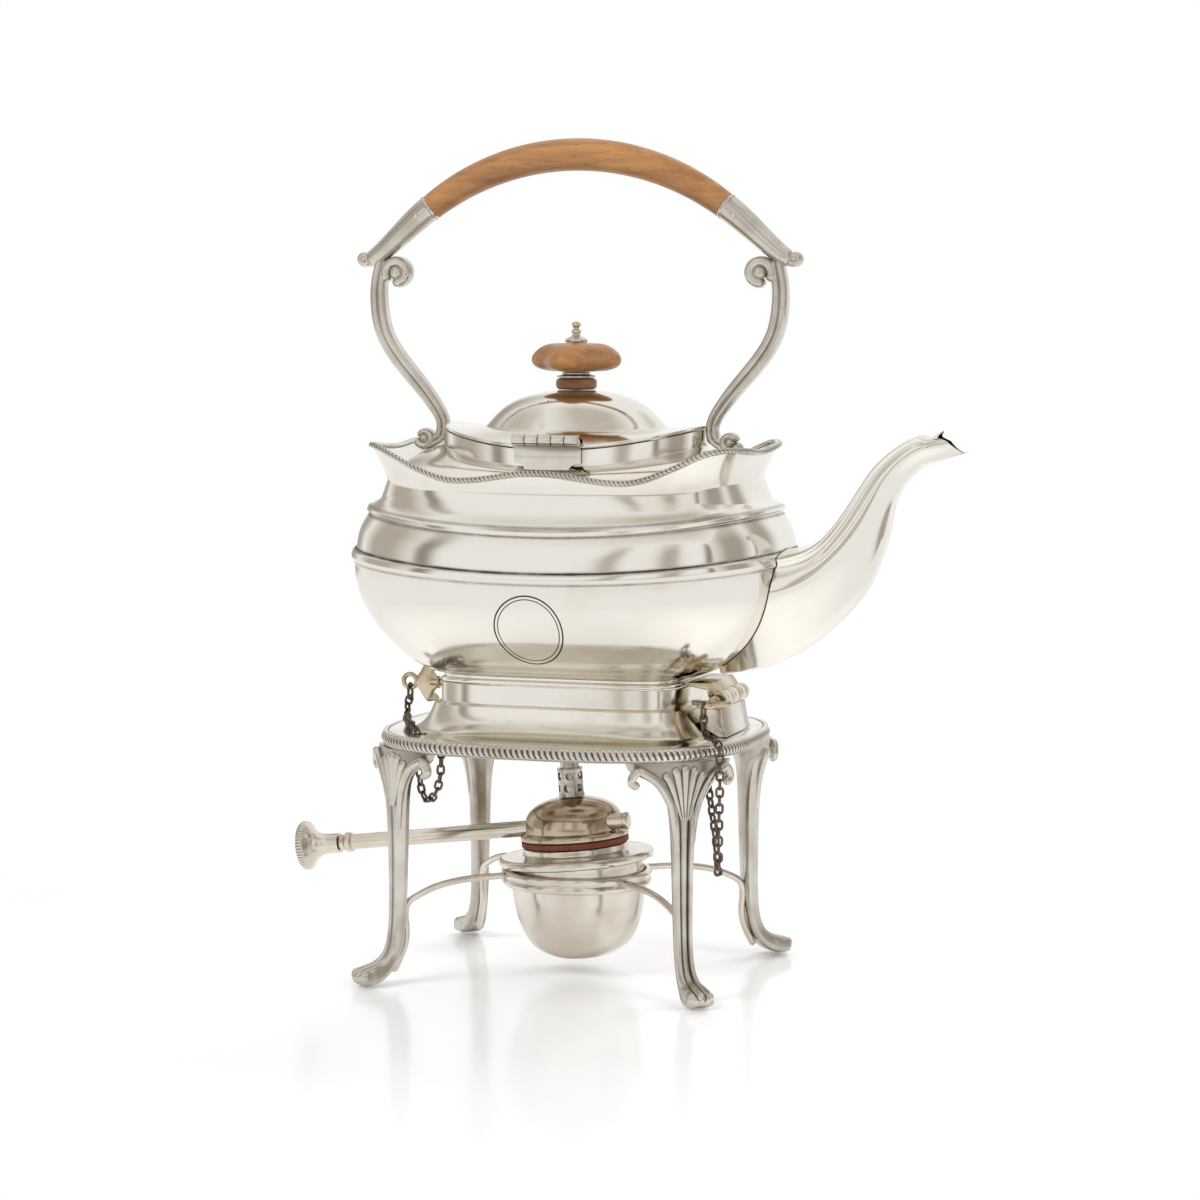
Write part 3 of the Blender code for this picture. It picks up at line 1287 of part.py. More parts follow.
def make_pin(name, radius, length, frame, holder):
    """Pin with a thumb plate and a loop, drawn along X with its plate at negative X."""
    stem = part(name, rod(name, radius, -PIN_NECK - THUMB_LENGTH / 3.0, length,
                          frame @ Matrix.Rotation(math.pi / 2.0, 4, "Y")), gilt, holder)
    plate = thumb_plate(name, frame @ Matrix.Translation((-PIN_NECK, 0.0, 0.0))
                        @ Matrix.Rotation(math.pi, 4, "Z"))
    combine(stem, cutter(name + "_plate", plate, holder), "UNION")
    reach = PIN_NECK + THUMB_LENGTH + LOOP_RADIUS
    loop = stretched_ring(name, LOOP_RADIUS, 0.0, LOOP_WIRE,
                          frame @ Matrix.Translation((-reach, 0.0, 0.0)), 10, 6)
    combine(stem, cutter(name + "_loop", loop, holder), "UNION")
    return frame @ Vector((-reach, 0.0, 0.0))


def filled(mesh):
    """Keep the outer skin of a joined mesh and fill the pockets sealed inside it."""
    bm = bmesh.new()
    bm.from_mesh(mesh)
    left = set(bm.faces)
    skins = []
    while left:
        skin = set()
        edge = {left.pop()}
        while edge:
            face = edge.pop()
            skin.add(face)
            near = {other for line in face.edges for other in line.link_faces}
            edge |= near & left
            left -= near
        skins.append(skin)
    skins.sort(key=len)
    pockets = [face for skin in skins[:-1] for face in skin]
    bmesh.ops.delete(bm, geom=pockets, context="FACES")
    bm.to_mesh(mesh)
    bm.free()
    return mesh


def make_chain(name, route):
    """Oval links soldered where they meet, each a quarter turn from the last."""
    half = LINK_WIDTH / 2.0 - LINK_WIRE
    stretch = (LINK_LENGTH - LINK_WIDTH) / 2.0
    pitch = 2.0 * (half + stretch - LINK_WIRE) + LINK_BITE
    overhang = Vector((0.0, 0.0, half + stretch - pitch / 2.0))
    eye = Vector(route[-1])
    eye.z = (PLATFORM_HEIGHT - SHEET - GAP - 2.0 * EYE_RADIUS - EYE_WIRE
             + EYE_WIRE + LINK_WIRE + GAP)
    joints = smooth_route((route[0] - overhang, *route[1:-1], eye - overhang), pitch)
    links = ([], [])
    side = Vector((0.0, 1.0, 0.0))
    place = Matrix()
    for index, (start, stop) in enumerate(zip(joints, joints[1:])):
        run = (stop - start).normalized()
        side = (side - run * side.dot(run)).normalized()
        other = run.cross(side)
        turn = math.radians(90.0 * (index + 1) + 45.0 * min(1.0, index / 4.0))
        across = side * math.cos(turn) + other * math.sin(turn)
        place = Matrix((run, across, run.cross(across))).transposed().to_4x4()
        place.translation = (start + stop) / 2.0
        links[index % 2].append(stretched_ring(name, half, stretch, LINK_WIRE, place, 6, 3))
    holder = bpy.data.objects.new(name + "_links", joined(name, links[0]))
    CUTTERS.objects.link(holder)
    between = bpy.data.objects.new(name + "_between", joined(name, links[1]))
    CUTTERS.objects.link(between)
    mesh = filled(settled(combine(holder, between, "UNION")))
    bpy.data.objects.remove(between, do_unlink=True)
    part(name, mesh, dark_silver, root, smooth=80.0)
    return place


def make_eye(name, last):
    """Staple under the platform, square to the chain's last link."""
    across = last.to_3x3().col[1]
    across.z = 0.0
    turn = across.to_track_quat("Z", "X").to_matrix().to_4x4()
    centre = last.to_translation()
    centre.z = PLATFORM_HEIGHT - SHEET - GAP - EYE_RADIUS - EYE_WIRE
    ring = stretched_ring(name, EYE_RADIUS, 0.0, EYE_WIRE, Matrix.Translation(centre) @ turn,
                          10, 4)
    return part(name, ring, silver, root)


def make_chain_ring(name, hang, holder):
    """Long ring that hangs on a pin's loop. Returns where its chain starts."""
    rise = LOOP_WIRE + RING_WIRE + GAP
    centre = hang + Vector((0.0, 0.0, rise - RING_RADIUS - RING_STRETCH))
    place = Matrix(((0, 0, 1, 0), (0, 1, 0, 0), (-1, 0, 0, 0), (0, 0, 0, 1)))
    place.translation = centre
    ring = stretched_ring(name, RING_RADIUS, RING_STRETCH, RING_WIRE, place, 12, 6)
    part(name, ring, dark_silver, holder)
    return centre - Vector((0.0, 0.0, RING_RADIUS + RING_STRETCH - RING_WIRE - GAP
                            - LINK_WIRE))


def make_lamp():
    """Spirit lamp: bowl, washer and screwed cap with its wick tube and winder."""
    outer = [(BOWL_RADIUS * out, BOWL_DEPTH * (up - 1.0)) for out, up in BOWL_SHARES]
    inner = [(max(0.0, (BOWL_RADIUS - SHEET) * out), BOWL_DEPTH * (up - 1.0) + SHEET)
             for out, up in reversed(BOWL_SHARES[1:])]
    neck = NECK_RADIUS - SHEET * 2.0
    top = FLANGE_HEIGHT + NECK_HEIGHT
    rim = [(BOWL_RADIUS - SHEET, 0.0), (neck, FLANGE_HEIGHT - SHEET), (neck, top),
           (NECK_RADIUS, top), (NECK_RADIUS, FLANGE_HEIGHT),
           (FLANGE_RADIUS * 0.90, FLANGE_HEIGHT * 0.72),
           (FLANGE_RADIUS * 0.985, FLANGE_HEIGHT * 0.55),
           (FLANGE_RADIUS, FLANGE_HEIGHT * 0.25), (FLANGE_RADIUS * 0.985, 0.0)]
    bowl = turned("lamp_bowl", inner + rim + outer)
    part("lamp_bowl", bowl, silver, lamp_lift, local=True)
    washer_base = top + GAP
    part("lamp_washer", tube("lamp_washer", CAP_RADIUS * 0.99, neck + SHEET,
                             washer_base, washer_base + WASHER_HEIGHT, Matrix(),
                             TURNED_STEPS), brick, lamp_lift, local=True)
    bore = WICK_TUBE_RADIUS + GAP
    dome = [(max(bore, CAP_RADIUS * out), CAP_BASE + CAP_HEIGHT * up)
            for out, up in CAP_SHARES]
    hollow = [(max(bore, (CAP_RADIUS - SHEET * 1.2) * out),
               CAP_BASE + (CAP_HEIGHT - SHEET) * up) for out, up in reversed(CAP_SHARES[:6])]
    dome += [(CAP_RADIUS * 0.85, CAP_BASE)] + hollow
    cap = part("lamp_cap", turned_ring("lamp_cap", dome), silver, lamp_turn, local=True)
    sleeve_cut = rod("winder_way", WINDER_RADIUS + GAP, -CAP_RADIUS * 1.4,
                     CAP_RADIUS * 1.4, winder_frame, SMALL_STEPS)
    combine(cap, cutter("winder_way", sleeve_cut, lamp_turn))
    make_wick(lamp_turn)
    make_winder()


def make_wick(holder):
    """Wick tube with its pierced gallery and the wick inside."""
    top = CAP_BASE + CAP_HEIGHT
    tube_top = top + WICK_TUBE_HEIGHT
    part("wick_tube", tube("wick_tube", WICK_TUBE_RADIUS, WICK_TUBE_RADIUS - WICK_TUBE_WALL,
                           top - CAP_HEIGHT * 0.45, tube_top, Matrix(), SMALL_STEPS),
         silver, holder, local=True)
    base = top + GAP
    gallery = part("wick_gallery",
                   tube("wick_gallery", GALLERY_RADIUS, WICK_TUBE_RADIUS + GAP,
                        base, base + GALLERY_HEIGHT, Matrix(), 2 * GALLERY_HOLES),
                   silver, holder, local=True)
    for row in (0.30, 0.72):
        for index in range(GALLERY_HOLES // 2):
            turn = Matrix.Rotation(math.pi * (2.0 * index + 1.0) / GALLERY_HOLES, 4, "Z")
            place = frame_of(holder) @ Matrix.Translation((0.0, 0.0, base + GALLERY_HEIGHT
                                                           * row)) @ turn
            hole = rod("gallery_hole", GALLERY_HOLE, WICK_TUBE_RADIUS, GALLERY_RADIUS
                       + OVERRUN, place @ Matrix.Rotation(math.pi / 2.0, 4, "Y"), 8)
            combine(gallery, cutter(f"gallery_hole_{row}_{index}", hole, holder))
    part("wick", rod("wick", WICK_RADIUS, -WICK_TAIL + top, tube_top + WICK_TUBE_WALL * 2.0,
                     Matrix(), 10), cotton, wick_slide, local=True)


def winder_end():
    """Place of the turning knob along the winder, just past its sleeve."""
    return CAP_RADIUS * WINDER_ROOT_SHARE + WINDER_LENGTH + RUNNING_GAP


def make_winder():
    """Winder: fixed sleeve through the cap, with the rod, wheel and knob that turn."""
    half = CAP_RADIUS * WINDER_ROOT_SHARE
    sleeve = part("winder_sleeve", tube("winder_sleeve", WINDER_RADIUS, WINDER_BORE, half,
                                        half + WINDER_LENGTH, winder_frame, 10),
                  silver, lamp_turn)
    stub = part("winder_stub", rod("winder_stub", WINDER_RADIUS,
                                   -CAP_RADIUS - STUB_LENGTH / 2.0, -half,
                                   winder_frame, 10), silver, lamp_turn)
    base = winder_end()
    outline = [(TRUMPET_RADIUS * out, base + TRUMPET_LENGTH * up)
               for out, up in TRUMPET_SHARES]
    outline = [(0.0, base + TRUMPET_LENGTH)] + outline
    outline += [(WINDER_ROD, base), (WINDER_ROD, -WINDER_WHEEL), (0.0, -WINDER_WHEEL)]
    part("winder_knob", turned("winder_knob", outline, 20), silver, winder_axis, local=True)
    return sleeve, stub


def build():
    make_platform()
    make_border()
    for tag, side_x, side_y in CORNERS:
        make_leg("leg_" + tag, side_x, side_y)
        make_stretcher("stretcher_" + tag, side_x, side_y)
    make_holder()
    make_body()
    make_rim()
    make_foot()
    make_tongue()
    make_shoulder()
    make_lid()
    make_lid_hinge()
    make_knob()
    make_spout()
    for tag, side in (("left", -1), ("right", 1)):
        make_arm("handle_arm_" + tag, side)
        socket, spot = make_socket("handle_socket_" + tag, side)
        make_grip_pin("grip_pin_" + tag, socket, spot)
    make_grip()
    make_tilt_hinge()
    lock_frame = Matrix.Translation((-COLLAR_LENGTH / 2.0 - LOCK_SOCKET_LENGTH - GAP * 2.0,
                                     0.0, LOCK_Z)) @ Matrix.Rotation(math.pi / 2.0, 4, "X")
    lock_loop = make_pin("locking_pin", LOCK_PIN_RADIUS, LOCK_SOCKET_LENGTH
                         + FOOT_WALL * 2.0 + SHEET * 2.0, lock_frame, lock_pin_slide)
    socket = tube("lock_socket", LOCK_SOCKET_RADIUS, LOCK_PIN_RADIUS + RUNNING_GAP,
                  -LOCK_SOCKET_LENGTH, -GAP,
                  along_x((-COLLAR_LENGTH / 2.0, 0.0, LOCK_Z)), SMALL_STEPS)
    part("lock_socket", socket, silver, root)
    hinge_frame = Matrix.Translation((TILT_X, -TILT_LENGTH / 2.0 - GAP * 2.0, TILT_Z))
    hinge_frame = hinge_frame @ Matrix.Rotation(math.pi / 2.0, 4, "Z")
    hinge_loop = make_pin("hinge_pin", TILT_PIN, TILT_LENGTH, hinge_frame, hinge_pin_slide)
    lowest = lock_loop - Vector((0.0, 0.0, LOOP_RADIUS))
    ring_end = make_chain_ring("chain_ring_left", lowest, lock_pin_slide)
    last = make_chain("chain_left", (ring_end, *LEFT_CHAIN_ROUTE))
    make_eye("chain_eye_left", last)
    outermost = hinge_loop - Vector((0.0, LOOP_RADIUS, 0.0))
    ring_end = make_chain_ring("chain_ring_right", outermost, hinge_pin_slide)
    last = make_chain("chain_right", (ring_end, *RIGHT_CHAIN_ROUTE))
    make_eye("chain_eye_right", last)
    make_lamp()
    far = winder_frame @ Vector((0.0, 0.0, winder_end() + TRUMPET_LENGTH))
    reach = TRUMPET_RADIUS * abs(winder_frame.to_3x3().col[2].z) - far.x
    root.location.x = (reach - SPOUT_REACH) / 2.0


build()
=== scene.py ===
"""Looks of a silver spirit kettle on its lamp stand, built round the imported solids.

Every piece is drawn in the stand's own frame, in metres, and is then carried to where
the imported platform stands. The sizes are those of the solids, drawn with finer steps,
rounded edges and the chased, reeded and gadrooned work that the solids leave plain.
"""
import json
import math

import bmesh
import bpy
import numpy as np
from mathutils import Matrix, Vector
from mathutils.bvhtree import BVHTree

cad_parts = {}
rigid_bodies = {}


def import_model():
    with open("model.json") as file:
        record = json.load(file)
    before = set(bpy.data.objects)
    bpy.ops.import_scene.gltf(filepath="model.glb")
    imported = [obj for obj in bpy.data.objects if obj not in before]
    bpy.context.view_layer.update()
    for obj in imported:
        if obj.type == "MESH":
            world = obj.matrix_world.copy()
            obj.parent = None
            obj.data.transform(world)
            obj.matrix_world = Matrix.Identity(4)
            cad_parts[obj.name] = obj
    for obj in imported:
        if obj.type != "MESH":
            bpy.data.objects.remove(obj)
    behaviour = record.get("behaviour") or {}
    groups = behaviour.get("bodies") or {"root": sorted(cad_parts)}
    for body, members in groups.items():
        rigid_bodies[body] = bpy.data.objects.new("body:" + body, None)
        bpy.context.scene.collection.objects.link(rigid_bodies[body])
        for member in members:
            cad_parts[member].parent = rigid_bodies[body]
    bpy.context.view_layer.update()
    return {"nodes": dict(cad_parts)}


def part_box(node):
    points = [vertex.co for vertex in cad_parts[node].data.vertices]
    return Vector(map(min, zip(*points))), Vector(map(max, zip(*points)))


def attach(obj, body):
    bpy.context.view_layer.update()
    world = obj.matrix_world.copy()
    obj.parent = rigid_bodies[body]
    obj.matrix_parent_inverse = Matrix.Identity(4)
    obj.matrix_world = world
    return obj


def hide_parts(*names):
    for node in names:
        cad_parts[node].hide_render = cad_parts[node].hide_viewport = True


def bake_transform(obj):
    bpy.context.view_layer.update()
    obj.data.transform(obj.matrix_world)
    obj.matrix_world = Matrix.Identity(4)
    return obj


bl_info = {
    "name": "Spirit Kettle on Stand",
    "version": (1, 0, 0),
    "blender": (4, 5, 0),
    "location": "3D View > Sidebar > Kettle",
    "description": "Builds the finished pieces of a silver spirit kettle round its solids",
    "category": "Object",
}

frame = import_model()


def middle_of(node):
    """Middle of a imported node."""
    low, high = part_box(node)
    return (low + high) / 2.0


MIDDLE = Vector((middle_of("platform").x, 0.0, 0.0))
X_AXIS, Y_AXIS, Z_AXIS = (1.0, 0.0, 0.0), (0.0, 1.0, 0.0), (0.0, 0.0, 1.0)

# Clearances and stock
GAP = 0.0003
SHEET = 0.0012

# Platform
PLATFORM_LENGTH, PLATFORM_WIDTH, PLATFORM_HEIGHT = 0.135, 0.1182, 0.0924
PLATFORM_POWER, COLLAR_POWER = 2.84, 5.0
BORDER_HEIGHT, BORDER_DEPTH = 0.005, 0.0024
SKIRT_HEIGHT, SKIRT_SPREAD, SKIRT_LEDGE = 0.011, 0.013, 0.0023
COLLAR_LENGTH, COLLAR_WIDTH, COLLAR_HEIGHT = 0.094, 0.065, 0.0072

# Legs
LEG_ALONG, LEG_ACROSS, LEG_TURN = 0.0546, 0.0437, math.radians(50.0)
LEG_REACH, LEG_HALF_WIDTH, LEG_HALF_DEPTH = 0.0182, 0.0205, 0.0034
LEG_WRAP_RADIUS = 0.045
STRETCHER_RADIUS = 0.0013

# Kettle body
BODY_LENGTH, BODY_WIDTH, BODY_HEIGHT = 0.164, 0.112, 0.071
BODY_END_RISE, RIM_WAVE, RIM_FLARE = 0.0072, 0.0123, 0.0042
FOOT_HEIGHT, FOOT_WALL = 0.003, 0.003
SPOUT_REACH, SPOUT_ROOT, SPOUT_TOP, SPOUT_HALF_WIDTH = 0.149, 0.056, 0.2035, 0.0215
CARTOUCHE_X, CARTOUCHE_Z = -0.001, 0.1333
# Radius and half width of both engraved rings, the band they lie in, and their depth
CARTOUCHE_RINGS, CARTOUCHE_BAND = ((0.0129, 0.0003), (0.0116, 0.0002)), (0.0108, 0.0137)
ENGRAVED_DEPTH = 0.00012
# Ear behind the spout's mouth, and how its lip rises, sags and narrows
EAR_SPAN, EAR_RISE, EAR_REACH = 0.19, 0.0034, 0.0048
LIP_RISE, LIP_SAG, LIP_NARROWING = 0.003, 0.001, 0.9

# Lid and knob
LID_LENGTH, LID_WIDTH, LID_POWER, LID_HEIGHT = 0.1004, 0.0652, 2.3, 0.0205
LID_EDGE, LID_COLLAR_HEIGHT, LID_COLLAR_INSET = 0.0012, 0.0062, 0.0002
SHOULDER_HEIGHT, LID_END_RISE = 0.0072, 0.0068
LID_BARREL, LID_HINGE_LENGTH, LID_HINGE_KNUCKLES = 0.0022, 0.0254, 5
LID_LEAF, LID_LEAF_DROP = 0.0011, 0.0088
LID_BITE_WIDTH, LID_BITE_HEIGHT, LID_COVE, LID_STRAP = 0.0042, 0.0024, 0.0009, 0.0006
KNOB_RADIUS, KNOB_HEIGHT, KNOB_LOBE = 0.0172, 0.0103, 0.0017
KNOB_RING_RADIUS, KNOB_RING_HEIGHT = 0.0076, 0.0041
KNOB_NECK_RADIUS, KNOB_NECK_HEIGHT, KNOB_BORE = 0.0052, 0.002, 0.0016
STUD_RADIUS, FINIAL_RADIUS, FINIAL_HEIGHT = 0.0013, 0.0043, 0.008

# Handle
HANDLE_TOP, GRIP_SPAN, GRIP_SAGITTA = 0.311, 0.1136, 0.0188
GRIP_RADIUS, GRIP_END_RADIUS = 0.006, 0.0049
ARM_HALF_WIDTH, ARM_HALF_DEPTH = 0.0028, 0.0034
ARM_SPREAD, ARM_FOOT_X = 0.0782, 0.0527
ARM_TOP_DROP, ARM_FOOT_LIFT = 0.0468, 0.0034
HEAD_SCROLL_IN, HEAD_SCROLL_DROP = 0.0062, 0.0026
FOOT_SCROLL_OUT, FOOT_SCROLL_DROP = 0.0066, 0.0012
SOCKET_OUT, SOCKET_DROP, SCROLL_OUTER_RADIUS, SCROLL_DEPTH = 0.0022, 0.044, 0.0034, 0.0074
RIVET_RADIUS = 0.001

# Tilting hinge, pins and chains
TILT_X, TILT_RISE, TILT_BARREL, TILT_LENGTH, TILT_KNUCKLES = 0.0594, 0.0136, 0.0033, 0.032, 7
TILT_PIN, LOCK_PIN_RADIUS, PIN_NECK = 0.0013, 0.0014, 0.003
THUMB_LENGTH, THUMB_WIDTH, THUMB_THICKNESS = 0.0085, 0.015, 0.0016
LOOP_RADIUS, LOOP_WIRE = 0.0026, 0.0009
LOCK_SOCKET_RADIUS, LOCK_SOCKET_LENGTH = 0.003, 0.005
LINK_LENGTH, LINK_WIDTH, LINK_WIRE, LINK_BITE = 0.0045, 0.0034, 0.0005, 0.0005
RING_RADIUS, RING_STRETCH, RING_WIRE = 0.0021, 0.0009, 0.0005
EYE_RADIUS, EYE_WIRE = 0.0017, 0.0005

# Lamp
LAMP_LEAN = math.radians(4.5)
HOLDER_TOP, HOLDER_HEIGHT, HOLDER_BORE, HOLDER_WALL = 0.0389, 0.0062, 0.0262, 0.0023
BOWL_RADIUS, BOWL_DEPTH, FLANGE_RADIUS, FLANGE_HEIGHT = 0.025, 0.0358, 0.0293, 0.004
NECK_RADIUS, NECK_HEIGHT, WASHER_HEIGHT = 0.0198, 0.0024, 0.0021
CAP_RADIUS, CAP_HEIGHT = 0.0204, 0.0152
GALLERY_RADIUS, GALLERY_HEIGHT, GALLERY_HOLE, GALLERY_HOLES = 0.0047, 0.0108, 0.0015, 6
WICK_TUBE_RADIUS, WICK_TUBE_WALL, WICK_TUBE_HEIGHT = 0.0035, 0.0006, 0.019
WICK_RADIUS = 0.0025
WINDER_DROOP = math.radians(2.6)
WINDER_RADIUS, WINDER_BORE, WINDER_LENGTH = 0.003, 0.0016, 0.08
WINDER_OFFSET, WINDER_HEIGHT, WINDER_ROOT_SHARE = 0.006, 0.0053, 0.62
TRUMPET_RADIUS, TRUMPET_LENGTH, STUB_LENGTH = 0.0093, 0.015, 0.007
WINDER_ROD, FERRULE_RADIUS = 0.0011, 0.0038
RUNNING_GAP = 0.00035

# Easing of edges: fine for small turned rings, more for sheet and castings
FINE_EASE, RING_EASE, SHEET_EASE = 0.00025, 0.0003, 0.0006

# Heights that follow
COLLAR_TOP = PLATFORM_HEIGHT + SKIRT_HEIGHT + COLLAR_HEIGHT
FOOT_BASE = COLLAR_TOP + GAP
BODY_BASE = FOOT_BASE + FOOT_HEIGHT + GAP
BORDER_BASE = PLATFORM_HEIGHT - BORDER_HEIGHT
SHOULDER_BASE = BODY_BASE + BODY_HEIGHT - SHEET
LID_SEAT = SHOULDER_BASE + SHOULDER_HEIGHT + LID_COLLAR_HEIGHT
LID_BASE = LID_SEAT + GAP
TILT_Z = PLATFORM_HEIGHT + TILT_RISE
LOCK_Z = COLLAR_TOP - COLLAR_HEIGHT / 2.0
LID_AXIS_Y = -(LID_WIDTH / 2.0 + LID_BARREL + RUNNING_GAP + GAP)
LID_AXIS_Z = LID_BASE + LID_BARREL + LID_EDGE
LAMP_SEAT = HOLDER_TOP + (HOLDER_BORE + HOLDER_WALL) * math.sin(LAMP_LEAN) + GAP
CAP_BASE = FLANGE_HEIGHT + NECK_HEIGHT + WASHER_HEIGHT + 2.0 * GAP
LAMP_FRAME = Matrix.Translation((0.0, 0.0, LAMP_SEAT)) @ Matrix.Rotation(-LAMP_LEAN, 4, "Y")
WINDER_FRAME = (LAMP_FRAME @ Matrix.Translation((0.0, -WINDER_OFFSET, CAP_BASE + WINDER_HEIGHT)) @
    Matrix.Rotation(-math.pi / 2.0 - WINDER_DROOP, 4, "Y"))

# Body sections: half length, half width, power, height, end rise, wave and flare
BODY_SHARES = (
    (0.6, 0.6, 4.2, 0.0, 0.0, 0.0, 0.0), (0.665, 0.66, 3.6, 0.02, 0.0, 0.0, 0.0),
    (0.757, 0.75, 3.2, 0.075, 0.07, 0.0, 0.0), (0.858, 0.85, 3.0, 0.17, 0.15, 0.0, 0.0),
    (0.936, 0.936, 3.0, 0.285, 0.3, 0.0, 0.0), (0.984, 0.984, 3.0, 0.41, 0.52, 0.0, 0.0),
    (0.992, 0.992, 3.0, 0.5, 0.72, 0.0, 0.0), (1.003, 1.003, 3.0, 0.513, 0.75, 0.0, 0.0),
    (1.007, 1.007, 3.0, 0.533, 0.8, 0.0, 0.0), (1.001, 1.001, 3.0, 0.553, 0.86, 0.0, 0.0),
    (0.984, 0.98, 3.0, 0.566, 0.92, 0.0, 0.0), (0.968, 0.961, 3.0, 0.65, 0.96, 0.0, 0.0),
    (0.924, 0.91, 3.0, 0.738, 1.0, 0.0, 0.0), (0.938, 0.93, 3.0, 0.752, 1.0, 0.0, 0.0),
    (0.932, 0.922, 3.0, 0.768, 1.0, 0.0, 0.0), (0.886, 0.866, 3.3, 0.802, 0.9, 0.0, 0.0),
    (0.836, 0.806, 3.8, 0.885, 0.5, 0.0, 0.0), (0.822, 0.786, 4.0, 0.955, 0.2, 0.35, 0.1),
    (0.83, 0.796, 4.0, 1.0, 0.0, 1.0, 1.0),
)
# Stretches of the table above that run smoothly, with a corner between them
BODY_STRETCHES = ((0, 6), (7, 9), (10, 12), (13, 14), (14, 18))
RIM_TURNS = (0.0, math.radians(38.0), math.radians(65.0), math.radians(90.0))
RIM_SHARES = (0.8, 0.96, 0.0, 0.26)
SKIRT_SHARES = (
    (0.0, 1.0, 1.0), (0.05, 0.8, 0.95), (0.19, 0.48, 0.8), (0.43, 0.2, 0.55),
    (0.62, 0.08, 0.35), (1.0, 0.01, 0.2),
)
# Down a leg: height, reach, half width and half depth
LEG_SHARES = (
    (1.0, 0.055, 1.0, 0.74), (0.965, 0.055, 0.92, 0.78), (0.925, 0.044, 0.62, 0.88),
    (0.88, 0.033, 0.4, 0.97), (0.815, 0.016, 0.28, 1.0), (0.71, 0.0, 0.215, 1.0),
    (0.52, 0.0, 0.185, 0.91), (0.34, 0.016, 0.17, 0.85), (0.225, 0.05, 0.165, 0.82),
    (0.145, 0.135, 0.168, 0.8), (0.092, 0.285, 0.19, 0.86), (0.06, 0.48, 0.225, 0.96),
    (0.044, 0.68, 0.262, 1.02), (0.039, 0.84, 0.268, 0.94), (0.034, 0.955, 0.235, 0.72),
    (0.03, 1.0, 0.15, 0.42),
)
# Volute arms beside a leg's fan: distance from its middle, drop from its top, half thickness
FAN_ARM_SHARES = (
    (0.165, 0.33, 0.04), (0.225, 0.21, 0.056), (0.345, 0.132, 0.068), (0.54, 0.068, 0.076),
    (0.745, 0.036, 0.078), (0.885, 0.042, 0.076), (0.935, 0.07, 0.074), (0.865, 0.09, 0.072),
)
# Petals of the fan: distance from the middle at top and waist, and drop of the top
PETAL_SHARES = ((0.0, 0.0, 0.026), (0.175, 0.036, 0.034), (0.345, 0.072, 0.054))
PETAL_WAIST_SHARE, PETAL_HALF_WIDTH, PETAL_FORWARD_SHARE = 0.235, 0.0018, 0.36
STRETCHER_SHARES = (
    (0.0, 1.0), (0.28, 0.985), (0.52, 0.88), (0.74, 0.64), (0.9, 0.32),
)
STRETCHER_TOP_ROW, STRETCHER_END_ROW, LEG_BACK_SHARE = 7, 11, 0.85
# Painted shade lines round the body along the girdles: height and end rise of each, and how dark
# it is
GIRDLE_SHADE_LINES = ((0.506, 0.735, 0.55), (0.563, 0.905, 0.85), (0.742, 1.0, 0.62), (0.79, 0.95, 0.5))
# Width of the painted shade lines, and radius of the spout's seam wire
GIRDLE_SHADE_WIDTH, SEAM_WIRE = 0.0007, 0.00024
LID_SHARES = (
    (1.0, 1.0, 2.3, 0.0, 1.0), (1.0, 1.0, 2.3, 0.06, 1.0),
    (0.88, 0.88, 2.2, 0.185, 0.48), (0.69, 0.73, 2.1, 0.305, 0.08),
    (0.655, 0.69, 2.05, 0.43, 0.0), (0.55, 0.59, 2.0, 0.68, 0.0),
    (0.38, 0.44, 2.0, 0.89, 0.0), (0.16, 0.246, 2.0, 1.0, 0.0),
)
SHOULDER_SHARES = (
    (0.0, 0.0, 0.0, 0.45), (0.36, 0.36, 0.52, 0.8), (0.9, 0.9, 0.95, 0.97),
    (1.0, 1.0, 1.0, 1.0),
)
# Spout: reach and height of its top and bottom lines, half widths at top and keel
SPOUT_SHARES = (
    (-0.02, 0.52, 0.02, 0.005, 0.92, 0.36), (0.2, 0.52, 0.16, 0.03, 0.88, 0.38),
    (0.33, 0.535, 0.25, 0.06, 0.8, 0.36), (0.425, 0.58, 0.37, 0.13, 0.66, 0.32),
    (0.485, 0.65, 0.475, 0.22, 0.54, 0.28), (0.535, 0.73, 0.575, 0.335, 0.44, 0.25),
    (0.585, 0.815, 0.64, 0.46, 0.36, 0.23), (0.635, 0.885, 0.682, 0.6, 0.31, 0.21),
    (0.722, 0.96, 0.7, 0.705, 0.28, 0.19), (0.805, 1.0, 0.742, 0.795, 0.26, 0.17),
    (0.84, 0.99, 0.812, 0.87, 0.25, 0.16),
)
SPOUT_SECTION_SHARES = (
    (0.0, 1.0), (0.55, 0.98), (0.92, 0.9), (1.0, 0.76), (0.8, 0.38), (0.52, 0.06),
)
ARM_SHARES = (
    (0.95, 1.0), (0.995, 0.91), (1.0, 0.76), (0.915, 0.6), (0.688, 0.45),
    (0.37, 0.3), (0.12, 0.17), (0.0, 0.06), (0.02, 0.0),
)
ARM_WIDTH_SHARES = (0.9, 0.95, 1.0, 1.0, 1.0, 0.95, 0.85, 0.78, 0.8)
HOLDER_SHARES = (
    (0.0, 1.0), (0.75, 1.0), (1.0, 0.82), (0.8, 0.6), (0.6, 0.52), (0.8, 0.42),
    (0.92, 0.25), (0.6, 0.05), (0.0, 0.0),
)
BOWL_SHARES = (
    (1.0, 1.0), (0.99, 0.64), (0.905, 0.36), (0.735, 0.14), (0.46, 0.02),
    (0.36, 0.0), (0.0, 0.0),
)
CAP_SHARES = (
    (0.3, 0.985), (0.62, 0.86), (0.84, 0.62), (0.905, 0.35), (0.91, 0.19),
)
